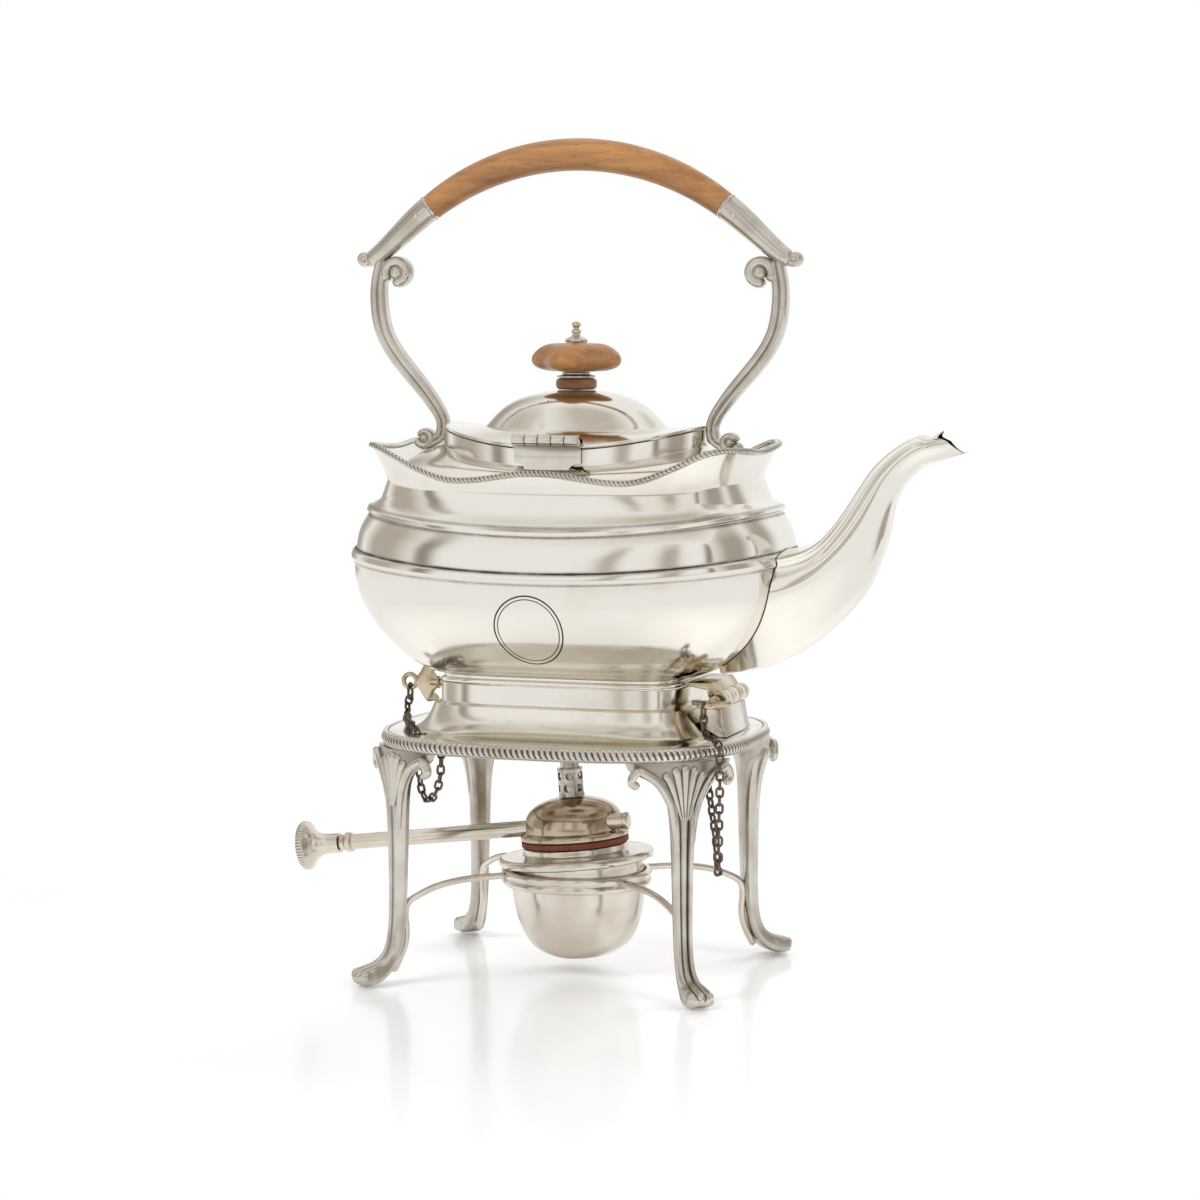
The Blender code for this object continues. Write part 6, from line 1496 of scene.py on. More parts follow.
def make_sockets():
    """Tapering ferrules between grip and arms, each with a bead and a rolled tip."""
    ends = grip_arc(13)
    along = (ends[-1] - ends[-2]) / np.linalg.norm(ends[-1] - ends[-2])
    start = ends[-1] + along * GAP * 2.0
    tip = np.array((ARM_SPREAD + SOCKET_OUT, 0.0, HANDLE_TOP - SOCKET_DROP))
    first = start + along * np.linalg.norm(tip - start) * 0.33
    second = tip + np.array((-SOCKET_OUT * 2.82, 0.0, SOCKET_OUT * 1.64))
    t = np.linspace(0.0, 1.0, 29)[:, None]
    path = (start * (1 - t) ** 3 + first * 3 * t * (1 - t) ** 2
            + second * 3 * t ** 2 * (1 - t) + tip * t ** 3)
    shares = np.interp(t[:, 0], np.linspace(0.0, 1.0, 7), (1.0, 0.97, 0.92, 0.86, 0.8, 0.74, 0.68))
    for tag, side in (("left", -1.0), ("right", 1.0)):
        line = path * np.array((side, 1.0, 1.0))
        tube = swept("socket", line, circle(1.0, 36), GRIP_END_RADIUS * shares,
            GRIP_END_RADIUS * shares, Y_AXIS, 2)
        run = Vector(line[1] - line[0]).to_track_quat("Z", "Y").to_matrix().to_4x4()
        band = [(GRIP_END_RADIUS * 0.98, 0.0001), (GRIP_END_RADIUS * 1.05, 0.0003),
                (GRIP_END_RADIUS * 1.05, 0.0009), (GRIP_END_RADIUS * 0.97, 0.0014)]
        band = turned("band", band, 40, Matrix.Translation(line[0]) @ run, closed=True)
        eye = np.array((side * (tip[0] + SCROLL_OUTER_RADIUS), 0.0, tip[2] - SOCKET_OUT * 0.1))
        roll = volute("roll", eye, (-side, 0.0, 0.0), Z_AXIS, 0.95, -35.0,
            SCROLL_OUTER_RADIUS - 0.0013, 0.001, 0.0014, 0.0011, SCROLL_DEPTH * 0.42, 0.0016)
        place_piece("tapered_socket_" + tag, joined("socket", (tube, band, roll)), "cast_silver",
            "kettle", ("handle_socket_" + tag,), sharp=45.0)
        rivet = path[5] * np.array((side, 1.0, 1.0))
        reach = GRIP_END_RADIUS + 0.0006
        dome = softened([(0.0, reach), (RIVET_RADIUS, reach - 0.0002),
            (RIVET_RADIUS, -reach + 0.0002), (0.0, -reach)], 0.0004, 3)
        place_piece("grip_rivet_" + tag, turned("rivet", dome, 24, along_y(rivet)),
                    "lamp_silver", "kettle", ("grip_pin_" + tag,))


# Hinge and pins

def make_tilt_hinge():
    """Seven knuckle hinge between the foot of the kettle and the platform."""
    barrel = TILT_BARREL
    axis = Vector((TILT_X, 0.0, TILT_Z))
    floor = PLATFORM_HEIGHT + GAP - TILT_Z
    bracket = [(barrel * 0.45, -barrel * 0.85), (barrel * 0.62, floor * 0.45),
               (barrel * 0.8, floor * 0.75), (barrel * 1.15, floor), (barrel * 0.3, floor)]
    for spread, up, _ in (SKIRT_SHARES[4], SKIRT_SHARES[3], SKIRT_SHARES[2]):
        x = COLLAR_LENGTH / 2.0 + SKIRT_LEDGE + SKIRT_SPREAD * spread - TILT_X
        bracket.append((x + 2.0 * GAP, floor + SKIRT_HEIGHT * up + GAP))
    bracket.append((-barrel * 1.9, -barrel * 0.8))
    wedge = slab("wedge", softened(bracket, 0.0007, 3, closed=True), TILT_LENGTH, facing_y(axis))
    fixed = [wedge] + knuckles("knuckle", barrel, TILT_PIN, TILT_LENGTH, TILT_KNUCKLES, 1,
        along_y(axis))
    place_piece("gilt_bracket", joined("bracket", fixed), "lamp_silver", "stand",
                ("hinge_bracket",))
    wall = COLLAR_LENGTH / 2.0 + GAP - TILT_X
    low = FOOT_BASE + GAP - TILT_Z
    high = FOOT_BASE + FOOT_HEIGHT / 2.0 - TILT_Z
    leaf = [(-barrel * 0.2, barrel * 0.8), (-barrel * 0.9, 0.0), (-barrel * 1.25, low * 0.75),
            (wall, low), (wall, high), (-barrel, high)]
    strap = slab("strap", softened(leaf, 0.0005, 3, closed=True), TILT_LENGTH, facing_y(axis))
    moving = [strap] + knuckles("knuckle", barrel, TILT_PIN, TILT_LENGTH, TILT_KNUCKLES, 0,
        along_y(axis))
    place_piece("gilt_leaf", joined("leaf", moving), "worn_gilt", "kettle",
                ("hinge_leaf",))


def make_lock():
    """Socket on the collar and the slotted tongue under the foot, for the locking pin."""
    bore = LOCK_PIN_RADIUS + RUNNING_GAP
    outline = [(LOCK_SOCKET_RADIUS, -GAP), (LOCK_SOCKET_RADIUS, -LOCK_SOCKET_LENGTH),
               (bore, -LOCK_SOCKET_LENGTH), (bore, -GAP)]
    socket = turned_ring("socket", outline, RING_EASE, 3, 40,
        along_x((-COLLAR_LENGTH / 2.0, 0.0, LOCK_Z)))
    place_piece("pin_socket", socket, "lamp_silver", "stand", ("lock_socket",))
    dress("lock_tongue", "platform_silver")


def dress(node, look):
    """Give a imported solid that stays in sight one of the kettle's finishes."""
    for slot in frame["nodes"][node].material_slots:
        slot.material = finish(look)


def thumb_outline():
    """Shield with concave shoulders that narrows to the loop."""
    half, neck = THUMB_WIDTH / 2.0, LOCK_PIN_RADIUS * 1.4
    top = [(0.0, neck)]
    top += list(arc(half * 0.55, 250.0, 195.0, 9, (THUMB_LENGTH * 0.36, half * 1.05)))
    top += [(THUMB_LENGTH * 0.36, half), (THUMB_LENGTH * 0.44, half)]
    top += list(spline([(THUMB_LENGTH * 0.44, half), (THUMB_LENGTH * 0.6, half * 0.86),
        (THUMB_LENGTH * 0.8, half * 0.5), (THUMB_LENGTH, half * 0.24)], 5)[1:])
    return top + [(x, -y) for x, y in top[::-1]]


def make_pin(name, node, body, radius, length, frame_here):
    """Pin with a thumb plate and a wire loop, drawn along X with its plate at -X."""
    turn = Matrix.Rotation(math.pi / 2.0, 4, "Y")
    stem = rod("stem", radius, -PIN_NECK - THUMB_LENGTH / 3.0, length, frame_here @ turn)
    plate = slab("plate", thumb_outline(), THUMB_THICKNESS,
        frame_here @ Matrix.Translation((-PIN_NECK, 0.0, 0.0)) @ Matrix.Rotation(math.pi, 4, "Z"),
        0.0003)
    collar = softened([(0.0, 0.0), (radius * 1.7, 0.0), (radius * 1.7, 0.0011), (0.0, 0.0011)],
        0.0003, 3)
    ring = turned("collar", collar, 32, frame_here @ Matrix.Translation((-PIN_NECK, 0.0, 0.0)) @
        turn)
    reach = PIN_NECK + THUMB_LENGTH + LOOP_RADIUS
    path = [frame_here @ Vector((-reach + LOOP_RADIUS * math.cos(a), LOOP_RADIUS * math.sin(a),
        0.0)) for a in round_turns(40)]
    normal = frame_here.to_3x3() @ Vector(Z_AXIS)
    loop = wire("loop", [tuple(point) for point in path], LOOP_WIRE, tuple(normal), closed=True)
    place_piece(name, joined(name, (stem, plate, ring, loop)), "worn_gilt", body, (node,))
    return frame_here @ Vector((-reach, 0.0, 0.0))


def make_chain_ring(name, node, hang, body):
    """Long ring that hangs on a pin's loop. Returns where its chain starts."""
    rise = LOOP_WIRE + RING_WIRE + GAP
    centre = hang + Vector((0.0, 0.0, rise - RING_RADIUS - RING_STRETCH))
    path = []
    for angle in round_turns(48):
        lift = RING_RADIUS * math.cos(angle)
        lift += math.copysign(RING_STRETCH, lift) if abs(lift) > 1e-6 else 0.0
        path.append((centre.x, centre.y + RING_RADIUS * math.sin(angle), centre.z + lift))
    mesh = wire("ring", path, RING_WIRE, X_AXIS, closed=True, sides=14)
    place_piece(name, mesh, "dark_chain", body, (node,))
    return centre - Vector((0.0, 0.0, RING_RADIUS + RING_STRETCH - RING_WIRE - GAP - LINK_WIRE))


def link_mesh(half, stretch, radius, place, steps=28, sides=10):
    """One oval link of round wire."""
    turns = round_turns(steps)
    path = np.column_stack((half * np.cos(turns), half * np.sin(turns), np.zeros(steps)))
    path[:, 0] += np.where(np.abs(path[:, 0]) > half * 0.02, np.sign(path[:, 0]) * stretch, 0.0)
    mesh = wire("link", path, radius, Z_AXIS, closed=True, sides=sides)
    mesh.transform(place)
    return mesh


def smooth_route(points, spacing):
    """Points at even spacing on a smooth curve through the route's own points."""
    route = np.array([tuple(point) for point in points])
    ends = np.vstack((route[:1], route, route[-1:]))
    fine = []
    for index in range(len(route) - 1):
        before, here, there, after = ends[index:index + 4]
        for t in np.arange(12) / 12.0:
            fine.append(0.5 * (2.0 * here + (there - before) * t +
                (2.0 * before - 5.0 * here + 4.0 * there - after) * t ** 2 +
                (3.0 * here - before - 3.0 * there + after) * t ** 3))
    fine.append(route[-1])
    length = np.sum(np.linalg.norm(np.diff(fine, axis=0), axis=1))
    return evened(fine, max(2, round(float(length) / spacing)) + 1)


def make_chain(tag, route):
    """Separate oval links, each a quarter turn from the last, from a ring to its staple."""
    half = LINK_WIDTH / 2.0 - LINK_WIRE
    stretch = (LINK_LENGTH - LINK_WIDTH) / 2.0
    pitch = 2.0 * (half + stretch - LINK_WIRE) + LINK_BITE
    overhang = Vector((0.0, 0.0, half + stretch - pitch / 2.0))
    eye = Vector(route[-1])
    eye.z = PLATFORM_HEIGHT - SHEET - 2.0 * EYE_RADIUS + LINK_WIRE
    joints = smooth_route((route[0] - overhang, *route[1:-1], eye - overhang), pitch)
    side = Vector(Y_AXIS)
    links, place = [], Matrix()
    for index, (start, stop) in enumerate(zip(joints[:-1], joints[1:])):
        run = Vector(stop - start).normalized()
        side = (side - run * side.dot(run)).normalized()
        turn = math.radians(90.0 * (index + 1) + 45.0 * min(1.0, index / 4.0))
        across = side * math.cos(turn) + run.cross(side) * math.sin(turn)
        place = Matrix((run, across, run.cross(across))).transposed().to_4x4()
        place.translation = Vector((start + stop) / 2.0)
        links.append(link_mesh(half, stretch, LINK_WIRE * 0.98, place))
    made = place_piece("soldered_links_" + tag, joined("links", links), "dark_chain", None,
        ("chain_" + tag,), sharp=70.0)
    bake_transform(made)
    across = place.to_3x3().col[1].copy()
    across.z = 0.0
    turn = across.to_track_quat("Z", "X").to_matrix().to_4x4()
    centre = place.to_translation()
    centre.z = PLATFORM_HEIGHT - SHEET - GAP - EYE_RADIUS - EYE_WIRE
    staple = link_mesh(EYE_RADIUS, 0.0, EYE_WIRE, Matrix.Translation(centre) @ turn, 36, 14)
    place_piece("chain_staple_" + tag, staple, "lamp_silver", "stand",
                ("chain_eye_" + tag,))


def make_pins_and_chains():
    lock_frame = Matrix.Translation((-COLLAR_LENGTH / 2.0 - LOCK_SOCKET_LENGTH - GAP * 2.0, 0.0,
        LOCK_Z)) @ Matrix.Rotation(math.pi / 2.0, 4, "X")
    length = LOCK_SOCKET_LENGTH + FOOT_WALL * 2.0 + SHEET * 2.0
    loop = make_pin("shield_pin_left", "locking_pin", "locking_pin", LOCK_PIN_RADIUS, length,
        lock_frame)
    start = make_chain_ring("hanging_ring_left", "chain_ring_left",
        loop - Vector((0.0, 0.0, LOOP_RADIUS)), "locking_pin")
    make_chain("left", (start, *LEFT_CHAIN_ROUTE))
    hinge_frame = Matrix.Translation((TILT_X, -TILT_LENGTH / 2.0 - GAP * 2.0, TILT_Z))
    hinge_frame = hinge_frame @ Matrix.Rotation(math.pi / 2.0, 4, "Z")
    loop = make_pin("shield_pin_right", "hinge_pin", "hinge_pin", TILT_PIN, TILT_LENGTH,
        hinge_frame)
    start = make_chain_ring("hanging_ring_right", "chain_ring_right",
        loop - Vector((0.0, LOOP_RADIUS, 0.0)), "hinge_pin")
    make_chain("right", (start, *RIGHT_CHAIN_ROUTE))


# Lamp

def make_bowl():
    """Spirit bowl with its rolled flange and screwed neck, and the composition washer."""
    sides = spline(BOWL_SHARES[:5], 7)
    outer = [(BOWL_RADIUS * out, BOWL_DEPTH * (up - 1.0)) for out, up in sides]
    outer += [(BOWL_RADIUS * out, BOWL_DEPTH * (up - 1.0)) for out, up in BOWL_SHARES[5:]]
    inner = [((BOWL_RADIUS - SHEET) * out, BOWL_DEPTH * (up - 1.0) + SHEET)
             for out, up in list(sides[::-3]) + [BOWL_SHARES[0]]]
    neck, top = NECK_RADIUS - SHEET * 2.0, FLANGE_HEIGHT + NECK_HEIGHT
    rim = [(BOWL_RADIUS - SHEET, 0.0), (neck, FLANGE_HEIGHT - SHEET), (neck, top),
        (NECK_RADIUS, top), (NECK_RADIUS, FLANGE_HEIGHT * 0.98),
        (FLANGE_RADIUS * 0.9, FLANGE_HEIGHT * 0.78), (FLANGE_RADIUS * 0.965, FLANGE_HEIGHT * 0.86),
        (FLANGE_RADIUS, FLANGE_HEIGHT * 0.62), (FLANGE_RADIUS, FLANGE_HEIGHT * 0.2),
        (FLANGE_RADIUS * 0.97, 0.0)]
    outline = softened([(0.0, inner[0][1])] + inner + rim + outer, 0.0007, 4)
    place_piece("spirit_bowl", turned("bowl", outline, 128, LAMP_FRAME),
                "lamp_silver", "lamp", ("lamp_bowl",))
    low = top + GAP
    outline = [(CAP_RADIUS * 0.99, low + WASHER_HEIGHT), (CAP_RADIUS * 0.99, low),
               (neck + SHEET, low), (neck + SHEET, low + WASHER_HEIGHT)]
    place_piece("composition_washer", turned_ring("washer", outline, 0.0004, 3, 96, LAMP_FRAME),
        "brick_washer", "lamp", ("lamp_washer",))


def make_cap():
    """Domed cap that screws down on the washer, bored for the winder."""
    bore = WICK_TUBE_RADIUS + GAP
    sides = spline(CAP_SHARES, 8)
    dome = [(bore, CAP_BASE + CAP_HEIGHT)]
    dome += [(CAP_RADIUS * out, CAP_BASE + CAP_HEIGHT * up) for out, up in sides]
    dome += [(CAP_RADIUS, CAP_BASE + CAP_HEIGHT * 0.13), (CAP_RADIUS, CAP_BASE),
             (CAP_RADIUS * 0.85, CAP_BASE)]
    dome += [((CAP_RADIUS - SHEET * 1.2) * out, CAP_BASE + (CAP_HEIGHT - SHEET) * up)
             for out, up in sides[::-4]]
    dome.append((bore, CAP_BASE + (CAP_HEIGHT - SHEET)))
    mesh = turned_ring("cap", dome, SHEET_EASE, 4, 128, LAMP_FRAME)
    way = rod("way", WINDER_RADIUS + GAP * 0.5, -CAP_RADIUS * 1.4, CAP_RADIUS * 1.4, WINDER_FRAME)
    place_piece("domed_cap", cut_away(mesh, [way]), "cap_silver", "lamp_cap",
                ("lamp_cap",), sharp=40.0)


def make_wick():
    """Wick tube with its pierced gallery, and the cotton wick inside it."""
    top = CAP_BASE + CAP_HEIGHT
    tube_top = top + WICK_TUBE_HEIGHT
    wall = WICK_TUBE_RADIUS - WICK_TUBE_WALL
    foot = top - CAP_HEIGHT * 0.45
    outline = [(WICK_TUBE_RADIUS, tube_top), (WICK_TUBE_RADIUS, foot), (wall, foot),
               (wall, tube_top)]
    place_piece("wick_barrel", turned_ring("barrel", outline, FINE_EASE, 3, 48, LAMP_FRAME),
                "burnt_silver", "lamp_cap", ("wick_tube",))
    base, high = top + GAP, top + GAP + GALLERY_HEIGHT
    bore = WICK_TUBE_RADIUS + GAP
    outline = [(GALLERY_RADIUS, high), (GALLERY_RADIUS * 1.04, high - 0.0006),
        (GALLERY_RADIUS, high - 0.0012), (GALLERY_RADIUS, base + 0.0012),
        (GALLERY_RADIUS * 1.08, base), (bore, base), (bore, high)]
    mesh = turned_ring("gallery", outline, RING_EASE, 3, 64, LAMP_FRAME)
    holes = []
    for share, turn in ((0.3, 0.0), (0.72, 0.5)):
        for index in range(GALLERY_HOLES // 2):
            angle = math.pi * (2.0 * index + 1.0 + turn) / GALLERY_HOLES
            place = (LAMP_FRAME @ Matrix.Translation((0.0, 0.0, base + GALLERY_HEIGHT * share))
                     @ Matrix.Rotation(angle, 4, "Z") @ Matrix.Rotation(math.pi / 2.0, 4, "Y"))
            holes.append(rod("hole", GALLERY_HOLE, -0.01, 0.01, place, 24))
    place_piece("pierced_gallery", cut_away(mesh, holes), "burnt_silver",
                "lamp_cap", ("wick_gallery",))
    strands = round_turns(72)
    rings = []
    for level, share in ((top - 0.033, 0.9), (tube_top, 1.0), (tube_top + 0.0007, 0.97),
            (tube_top + 0.00105, 0.78), (tube_top + 0.0012, 0.35)):
        radius = WICK_RADIUS * share * (1.0 - 0.06 * np.abs(np.sin(strands * 9.0)))
        rings.append(level_ring(radius, strands, level + 0.0001 * np.sin(strands * 7.0)))
    mesh = skin("strands", rings)
    mesh.transform(LAMP_FRAME)
    place_piece("cotton_strands", mesh, "cotton_wick", "wick", ("wick",))


def make_winder():
    """Winder: sleeve with its ferrule and stub, and the rod with its knurled trumpet."""
    half = CAP_RADIUS * WINDER_ROOT_SHARE
    end = half + WINDER_LENGTH
    outline = [(WINDER_RADIUS, half), (WINDER_RADIUS * 0.97, end - 0.0052),
        (FERRULE_RADIUS, end - 0.0046), (FERRULE_RADIUS, end - 0.0026),
        (WINDER_RADIUS, end - 0.002), (WINDER_RADIUS, end), (WINDER_BORE, end),
        (WINDER_BORE, half)]
    place_piece("winder_tube", turned_ring("tube", outline, RING_EASE, 3, 48, WINDER_FRAME),
        "lamp_silver", "lamp_cap", ("winder_sleeve",))
    low = -CAP_RADIUS - STUB_LENGTH / 2.0
    outline = [(0.0, -half), (WINDER_RADIUS, -half), (WINDER_RADIUS, low + 0.0022),
        (WINDER_RADIUS * 1.06, low + 0.0018), (WINDER_RADIUS * 1.06, low + 0.0003),
        (WINDER_RADIUS * 0.8, low), (0.0, low)]
    place_piece("winder_boss", turned("boss", softened(outline, 0.0004, 3), 48, WINDER_FRAME),
                "lamp_silver", "lamp_cap", ("winder_stub",))
    base = end + RUNNING_GAP
    flare = spline(TRUMPET_SHARES, 6)
    outline = [(0.0, base + TRUMPET_LENGTH * 0.995),
        (TRUMPET_RADIUS * 0.55, base + TRUMPET_LENGTH * 0.995),
        (TRUMPET_RADIUS * 0.62, base + TRUMPET_LENGTH),
        (TRUMPET_RADIUS * 0.96, base + TRUMPET_LENGTH)]
    rim = [(TRUMPET_RADIUS, base + TRUMPET_LENGTH * up) for up in (0.97, 0.87)]
    tail = [(TRUMPET_RADIUS * 0.95, base + TRUMPET_LENGTH * 0.83)]
    tail += [(TRUMPET_RADIUS * out, base + TRUMPET_LENGTH * up) for out, up in flare]
    tail += [(TRUMPET_RADIUS * 0.409, base), (WINDER_ROD, base), (WINDER_ROD, -0.002),
             (0.0, -0.002)]
    count = 288
    turns = round_turns(count)
    rings, recess = [], []
    for radius, level in outline + rim + tail:
        worked = 1.0 if (radius, level) in rim else 0.0
        valley = np.abs(np.sin(turns * 24.0)) if worked else np.ones(count)
        out = radius - worked * 0.00045 * (1.0 - valley)
        rings.append(level_ring(out, turns, level))
        # Painted shade and deposit: the knurl's valleys are coloured dark
        recess.append((1.0 - valley) * worked)
    mesh = skin("trumpet", rings, caps=False, recess=recess)
    mesh.transform(WINDER_FRAME)
    place_piece("knurled_trumpet", mesh, "lamp_silver", "winder",
                ("winder_knob",), sharp=50.0)


# Stage

def sheet(name, wide, tall):
    """A flat mesh of one face, from its half width and half height."""
    mesh = bpy.data.meshes.new(name)
    mesh.from_pydata([(-wide, -tall, 0.0), (wide, -tall, 0.0), (wide, tall, 0.0),
        (-wide, tall, 0.0)], [], [(0, 1, 2, 3)])
    return mesh


def card(name, middle, size, facing, shade):
    """A flat card beside the kettle that its metal mirrors."""
    half_wide, half_tall = size[0] / 2.0, size[1] / 2.0
    mesh = sheet(name, half_wide, half_tall)
    made = linked(name, mesh)
    made.location = middle
    made.rotation_euler = (Vector(facing) - Vector(middle)).to_track_quat("Z", "Y").to_euler()
    look = bpy.data.materials.new(name)
    look.use_nodes = True
    tree = look.node_tree
    tree.nodes.clear()
    out = tree.nodes.new("ShaderNodeOutputMaterial")
    glow = tree.nodes.new("ShaderNodeEmission")
    place = tree.nodes.new("ShaderNodeTexCoord")
    split = tree.nodes.new("ShaderNodeSeparateXYZ")
    tree.links.new(place.outputs["Object"], split.inputs[0])
    fades = []
    for axis, half in (("X", half_wide), ("Y", half_tall)):
        edge = maths(tree, "DIVIDE", maths(tree, "ABSOLUTE", split.outputs[axis]), half)
        fades.append(times(tree, minus(tree, 1.0, edge), 1.5, clamp=True))
    tree.links.new(mixed_colour(tree, times(tree, *fades), (1.0, 1.0, 1.0), shade),
        glow.inputs["Color"])
    tree.links.new(glow.outputs["Emission"], out.inputs["Surface"])
    mesh.materials.append(look)
    made.visible_camera = False
    made.visible_diffuse = False
    made.visible_shadow = False


def lamp(name, place, aim, size, power):
    data = bpy.data.lights.new(name, "AREA")
    data.shape = "RECTANGLE"
    data.size, data.size_y = size
    data.energy = power
    made = linked(name, data)
    made.location = place
    made.rotation_euler = (Vector(aim) - Vector(place)).to_track_quat("-Z", "Y").to_euler()
    made.visible_glossy = False


def make_floor():
    """Pale floor that takes a soft shadow and a faint reflection."""
    mesh = sheet("studio_floor", FLOOR_HALF, FLOOR_HALF)
    made = linked("studio_floor", mesh)
    made.location.z = -FLOOR_DROP
    look = bpy.data.materials.new("studio_floor")
    look.use_nodes = True
    shader = look.node_tree.nodes["Principled BSDF"]
    shader.inputs["Base Color"].default_value = (0.96, 0.96, 0.96, 1.0)
    shader.inputs["Roughness"].default_value = 0.16
    shader.inputs["Specular IOR Level"].default_value = 0.3
    tree = look.node_tree
    place = tree.nodes.new("ShaderNodeTexCoord")
    away = tree.nodes.new("ShaderNodeVectorMath")
    away.operation = "LENGTH"
    tree.links.new(place.outputs["Object"], away.inputs[0])
    far = times(tree, minus(tree, away.outputs["Value"], FLOOR_FADE_START), FLOOR_FADE, clamp=True)
    glow = tree.nodes.new("ShaderNodeEmission")
    mix = tree.nodes.new("ShaderNodeMixShader")
    tree.links.new(far, mix.inputs["Fac"])
    tree.links.new(shader.outputs["BSDF"], mix.inputs[1])
    tree.links.new(glow.outputs["Emission"], mix.inputs[2])
    tree.links.new(mix.outputs["Shader"], tree.nodes["Material Output"].inputs["Surface"])
    mesh.materials.append(look)


def make_world():
    """White surroundings for the camera and for metal, and a plain soft fill."""
    world = bpy.data.worlds.new("studio")
    bpy.context.scene.world = world
    world.use_nodes = True
    tree = world.node_tree
    tree.nodes.clear()
    out = tree.nodes.new("ShaderNodeOutputWorld")
    sky = tree.nodes.new("ShaderNodeBackground")
    rays = tree.nodes.new("ShaderNodeLightPath")
    seen = plus(tree, rays.outputs["Is Camera Ray"], rays.outputs["Is Glossy Ray"])
    seen = plus(tree, seen, rays.outputs["Is Transmission Ray"], clamp=True)
    look = bpy.context.scene.kettle_stage
    level = plus(tree, times(tree, seen, 1.0 - look.fill), look.fill)
    tree.links.new(level, sky.inputs["Strength"])
    tree.links.new(sky.outputs["Background"], out.inputs["Surface"])
    sky.inputs["Color"].default_value = (1.0, 1.0, 1.0, 1.0)


def make_camera():
    data = bpy.data.cameras.new("photo_view")
    data.lens, data.sensor_width = CAMERA_LENS, CAMERA_SENSOR
    made = linked("photo_view", data)
    made.location = CAMERA_PLACE
    made.rotation_euler = CAMERA_TURN
    bpy.context.scene.camera = made


# Camera fitted to the photograph, and the floor that fades to white round the kettle
CAMERA_PLACE, CAMERA_LENS, CAMERA_SENSOR = (0.393225, -1.234, 0.264), 105.0, 36.0
CAMERA_TURN = (math.radians(84.55), 0.0, math.radians(18.12))
FLOOR_HALF, FLOOR_DROP, FLOOR_FADE_START, FLOOR_FADE = 6.0, 0.0001, 0.14, 5.0
# Lamps: place, width and height
LAMPS = (("key", (-0.9, -1.1, 1.35), (0.9, 0.9)), ("side", (1.3, -0.6, 0.9), (0.6, 1.0)),
         ("back", (0.2, 1.2, 1.1), (1.2, 0.8)))
STAGE_MIDDLE = (0.0, 0.0, 0.16)
# Cards round the kettle: middle, width and height, and tone
CARDS = (
    ("card_left", (-1.3, -0.3, 0.3), (1.6, 4.4), (0.52, 0.48, 0.43)),
    ("strip_left", (-1.0, -1.05, 0.25), (0.34, 4.4), (0.3, 0.265, 0.23)),
    ("card_right", (1.35, -0.15, 0.35), (1.5, 4.4), (0.44, 0.4, 0.355)),
    ("strip_right", (1.2, -0.95, 0.3), (0.3, 4.4), (0.26, 0.225, 0.19)),
    ("card_front", (0.62, -1.8, 0.55), (0.6, 3.6), (0.52, 0.48, 0.43)),
    ("strip_front", (-0.25, -1.75, 0.4), (0.26, 4.0), (0.48, 0.44, 0.39)),
    ("card_back_left", (-1.0, 0.9, 0.35), (1.1, 3.0), (0.46, 0.43, 0.39)),
    ("card_back_right", (0.95, 1.0, 0.35), (1.1, 3.0), (0.46, 0.43, 0.39)),
    ("card_high", (0.1, -0.45, 1.3), (1.6, 1.1), (0.62, 0.58, 0.53)),
    ("card_low", (0.25, -1.1, 0.03), (2.2, 0.22), (0.34, 0.29, 0.24)),
)


def make_stage():
    """Floor, surroundings, cards that the silver mirrors, lamps and camera."""
    look = bpy.context.scene.kettle_stage
    make_floor()
    make_world()
    for name, place, size, tone in CARDS:
        card(name, place, size, STAGE_MIDDLE, tone)
    for name, place, size in LAMPS:
        lamp(name + "_lamp", place, STAGE_MIDDLE, size, getattr(look, name))
    make_camera()
    bpy.context.scene.view_settings.view_transform = "Standard"


# Add-on

def shade(label, text, value):
    return bpy.props.FloatVectorProperty(name=label, description=text, default=value, size=3,
        min=0.0, max=1.0, subtype="COLOR")


def length(label, text, value):
    return bpy.props.FloatProperty(name=label, description=text, default=value, min=0.0001,
        max=0.01, precision=5, subtype="DISTANCE", unit="LENGTH")


def factor(label, text, value, high=1.0):
    return bpy.props.FloatProperty(name=label, description=text, default=value, min=0.0, max=high)


def power(label, text, value):
    return bpy.props.FloatProperty(name=label, description=text, default=value, min=0.0,
        unit="POWER")


class KettleSizes(bpy.types.PropertyGroup):
    """Sizes of the worked edges."""
    platform_lobe_pitch: length("Platform lobe pitch",
        "Distance between gadroon lobes on the " "platform's edge", 0.00215)
    rim_lobe_pitch: length("Rim lobe pitch", "Distance between gadroon lobes on the rim", 0.00165)
    lobe_depth: length("Lobe depth", "Depth of the valleys between lobes", 0.00035)
    lobe_slant: factor("Lobe slant", "Lean of the lobes, in lobes from foot to head", 0.9, 3.0)


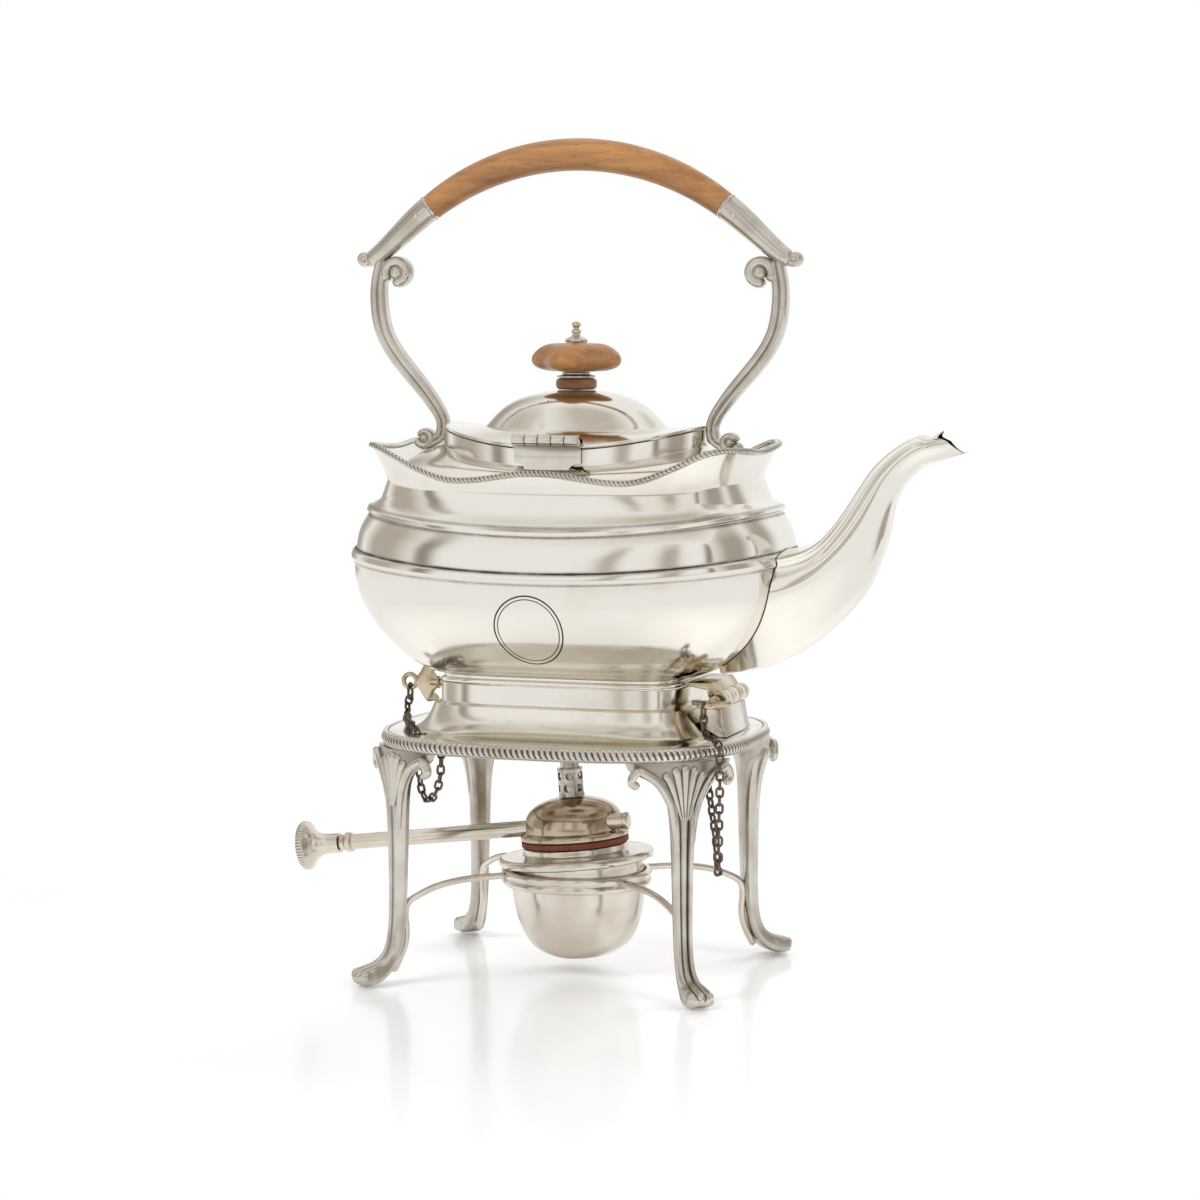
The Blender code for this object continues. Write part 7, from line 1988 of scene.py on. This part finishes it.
class KettleFinish(bpy.types.PropertyGroup):
    """Colours and polish of the kettle's materials."""
    silver: shade("Silver", "Clean silver", (0.81, 0.775, 0.708))
    tarnish: shade("Tarnish", "Warm film on the silver", (0.62, 0.545, 0.445))
    # Dark colour of the marked places: deposit and painted shade
    deposit_and_shade_colour: shade("Deposit", "Dark deposit in recesses", (0.075, 0.055, 0.045))
    blue_tarnish: shade("Blue tarnish", "Blue film on castings", (0.24, 0.33, 0.42))
    gilt: shade("Gilt", "Worn gilding of hinge and pins", (0.64, 0.53, 0.38))
    chain: shade("Chain", "Dark bronze of the chains", (0.2, 0.15, 0.11))
    wood_pale: shade("Pale wood", "Pale fibres of the grip", (0.5, 0.24, 0.072))
    wood_dark: shade("Dark wood", "Dark fibres of the grip", (0.22, 0.085, 0.025))
    washer: shade("Washer", "Brick red composition washer", (0.36, 0.085, 0.045))
    polish: factor("Roughness", "Roughness of the polished silver", 0.105)
    # How strongly the marked places are painted dark: deposit and painted shade
    recess: factor("Recess deposit", "How much deposit fills chased lines", 0.85)


class KettleStage(bpy.types.PropertyGroup):
    """Levels of the stage's lights."""
    key: power("Key lamp", "Power of the key lamp", 16.0)
    side: power("Side lamp", "Power of the side lamp", 8.0)
    back: power("Back lamp", "Power of the back lamp", 14.0)
    fill: factor("Fill", "Level of the surroundings for dull surfaces", 0.62)


class Builder:
    """Runs the makers of a group of pieces."""
    bl_options = {"REGISTER", "UNDO"}
    makers = ()

    def execute(self, context):
        for maker in self.makers:
            maker()
        return {"FINISHED"}


class KETTLE_OT_platform(Builder, bpy.types.Operator):
    """Build the platform with its gadrooned border."""
    bl_idname = "kettle.platform"
    bl_label = "Platform"
    makers = (make_platform, make_platform_border)


class KETTLE_OT_legs(Builder, bpy.types.Operator):
    """Build the four cast legs."""
    bl_idname = "kettle.legs"
    bl_label = "Legs"
    makers = (make_legs,)


class KETTLE_OT_lamp_holder(Builder, bpy.types.Operator):
    """Build the stretchers and the ring that holds the lamp."""
    bl_idname = "kettle.lamp_holder"
    bl_label = "Stretchers and Holder Ring"
    makers = (make_stretchers, make_holder)


class KETTLE_OT_body(Builder, bpy.types.Operator):
    """Build the body with its waved rim, foot and shoulder."""
    bl_idname = "kettle.body"
    bl_label = "Body, Rim, Foot and Shoulder"
    makers = (make_body, make_rim, make_foot, make_shoulder)


class KETTLE_OT_spout(Builder, bpy.types.Operator):
    """Build the spout."""
    bl_idname = "kettle.spout"
    bl_label = "Spout"
    makers = (make_spout,)


class KETTLE_OT_lid(Builder, bpy.types.Operator):
    """Build the lid, its hinge and its knob."""
    bl_idname = "kettle.lid"
    bl_label = "Lid, Hinge and Knob"
    makers = (make_lid, make_lid_hinge, make_knob)


class KETTLE_OT_handle(Builder, bpy.types.Operator):
    """Build the arms, sockets and wooden grip of the handle."""
    bl_idname = "kettle.handle"
    bl_label = "Handle"
    makers = (make_arms, make_sockets, make_grip)


class KETTLE_OT_tilt_hinge(Builder, bpy.types.Operator):
    """Build the tilting hinge and the socket of the locking pin."""
    bl_idname = "kettle.tilt_hinge"
    bl_label = "Tilting Hinge and Lock"
    makers = (make_tilt_hinge, make_lock)


class KETTLE_OT_pins(Builder, bpy.types.Operator):
    """Build the two pins with their thumb plates, rings and chains."""
    bl_idname = "kettle.pins"
    bl_label = "Pins and Chains"
    makers = (make_pins_and_chains,)


class KETTLE_OT_lamp(Builder, bpy.types.Operator):
    """Build the spirit lamp with its washer, cap, wick and winder."""
    bl_idname = "kettle.lamp"
    bl_label = "Spirit Lamp"
    makers = (make_bowl, make_cap, make_wick, make_winder)


class KETTLE_OT_stage(Builder, bpy.types.Operator):
    """Build the floor, surroundings, cards, lamps and camera."""
    bl_idname = "kettle.stage"
    bl_label = "Stage"
    makers = (make_stage,)


OPERATORS = (KETTLE_OT_platform, KETTLE_OT_legs, KETTLE_OT_lamp_holder, KETTLE_OT_body,
    KETTLE_OT_spout, KETTLE_OT_lid, KETTLE_OT_handle, KETTLE_OT_tilt_hinge, KETTLE_OT_pins,
    KETTLE_OT_lamp, KETTLE_OT_stage)
SETTINGS = (("kettle_sizes", KettleSizes), ("kettle_finish", KettleFinish),
            ("kettle_stage", KettleStage))


class KETTLE_PT_build(bpy.types.Panel):
    """Lists the pieces that can be built and the settings they follow."""
    bl_idname = "KETTLE_PT_build"
    bl_label = "Spirit Kettle"
    bl_space_type = "VIEW_3D"
    bl_region_type = "UI"
    bl_category = "Kettle"

    def draw(self, context):
        for operator in OPERATORS:
            self.layout.operator(operator.bl_idname)
        for name, group in SETTINGS:
            box = self.layout.box()
            for label in group.__annotations__:
                box.prop(getattr(context.scene, name), label)


def register():
    for name, group in SETTINGS:
        bpy.utils.register_class(group)
        setattr(bpy.types.Scene, name, bpy.props.PointerProperty(type=group))
    for made in (*OPERATORS, KETTLE_PT_build):
        bpy.utils.register_class(made)


def unregister():
    for made in (KETTLE_PT_build, *OPERATORS[::-1]):
        bpy.utils.unregister_class(made)
    for name, group in SETTINGS[::-1]:
        delattr(bpy.types.Scene, name)
        bpy.utils.unregister_class(group)


def main():
    for obj in list(bpy.data.objects):
        if obj.name in ("Cube", "Light", "Camera"):
            bpy.data.objects.remove(obj, do_unlink=True)
    register()
    for operator in OPERATORS:
        group, name = operator.bl_idname.split(".")
        getattr(getattr(bpy.ops, group), name)()


if __name__ == "__main__":
    main()
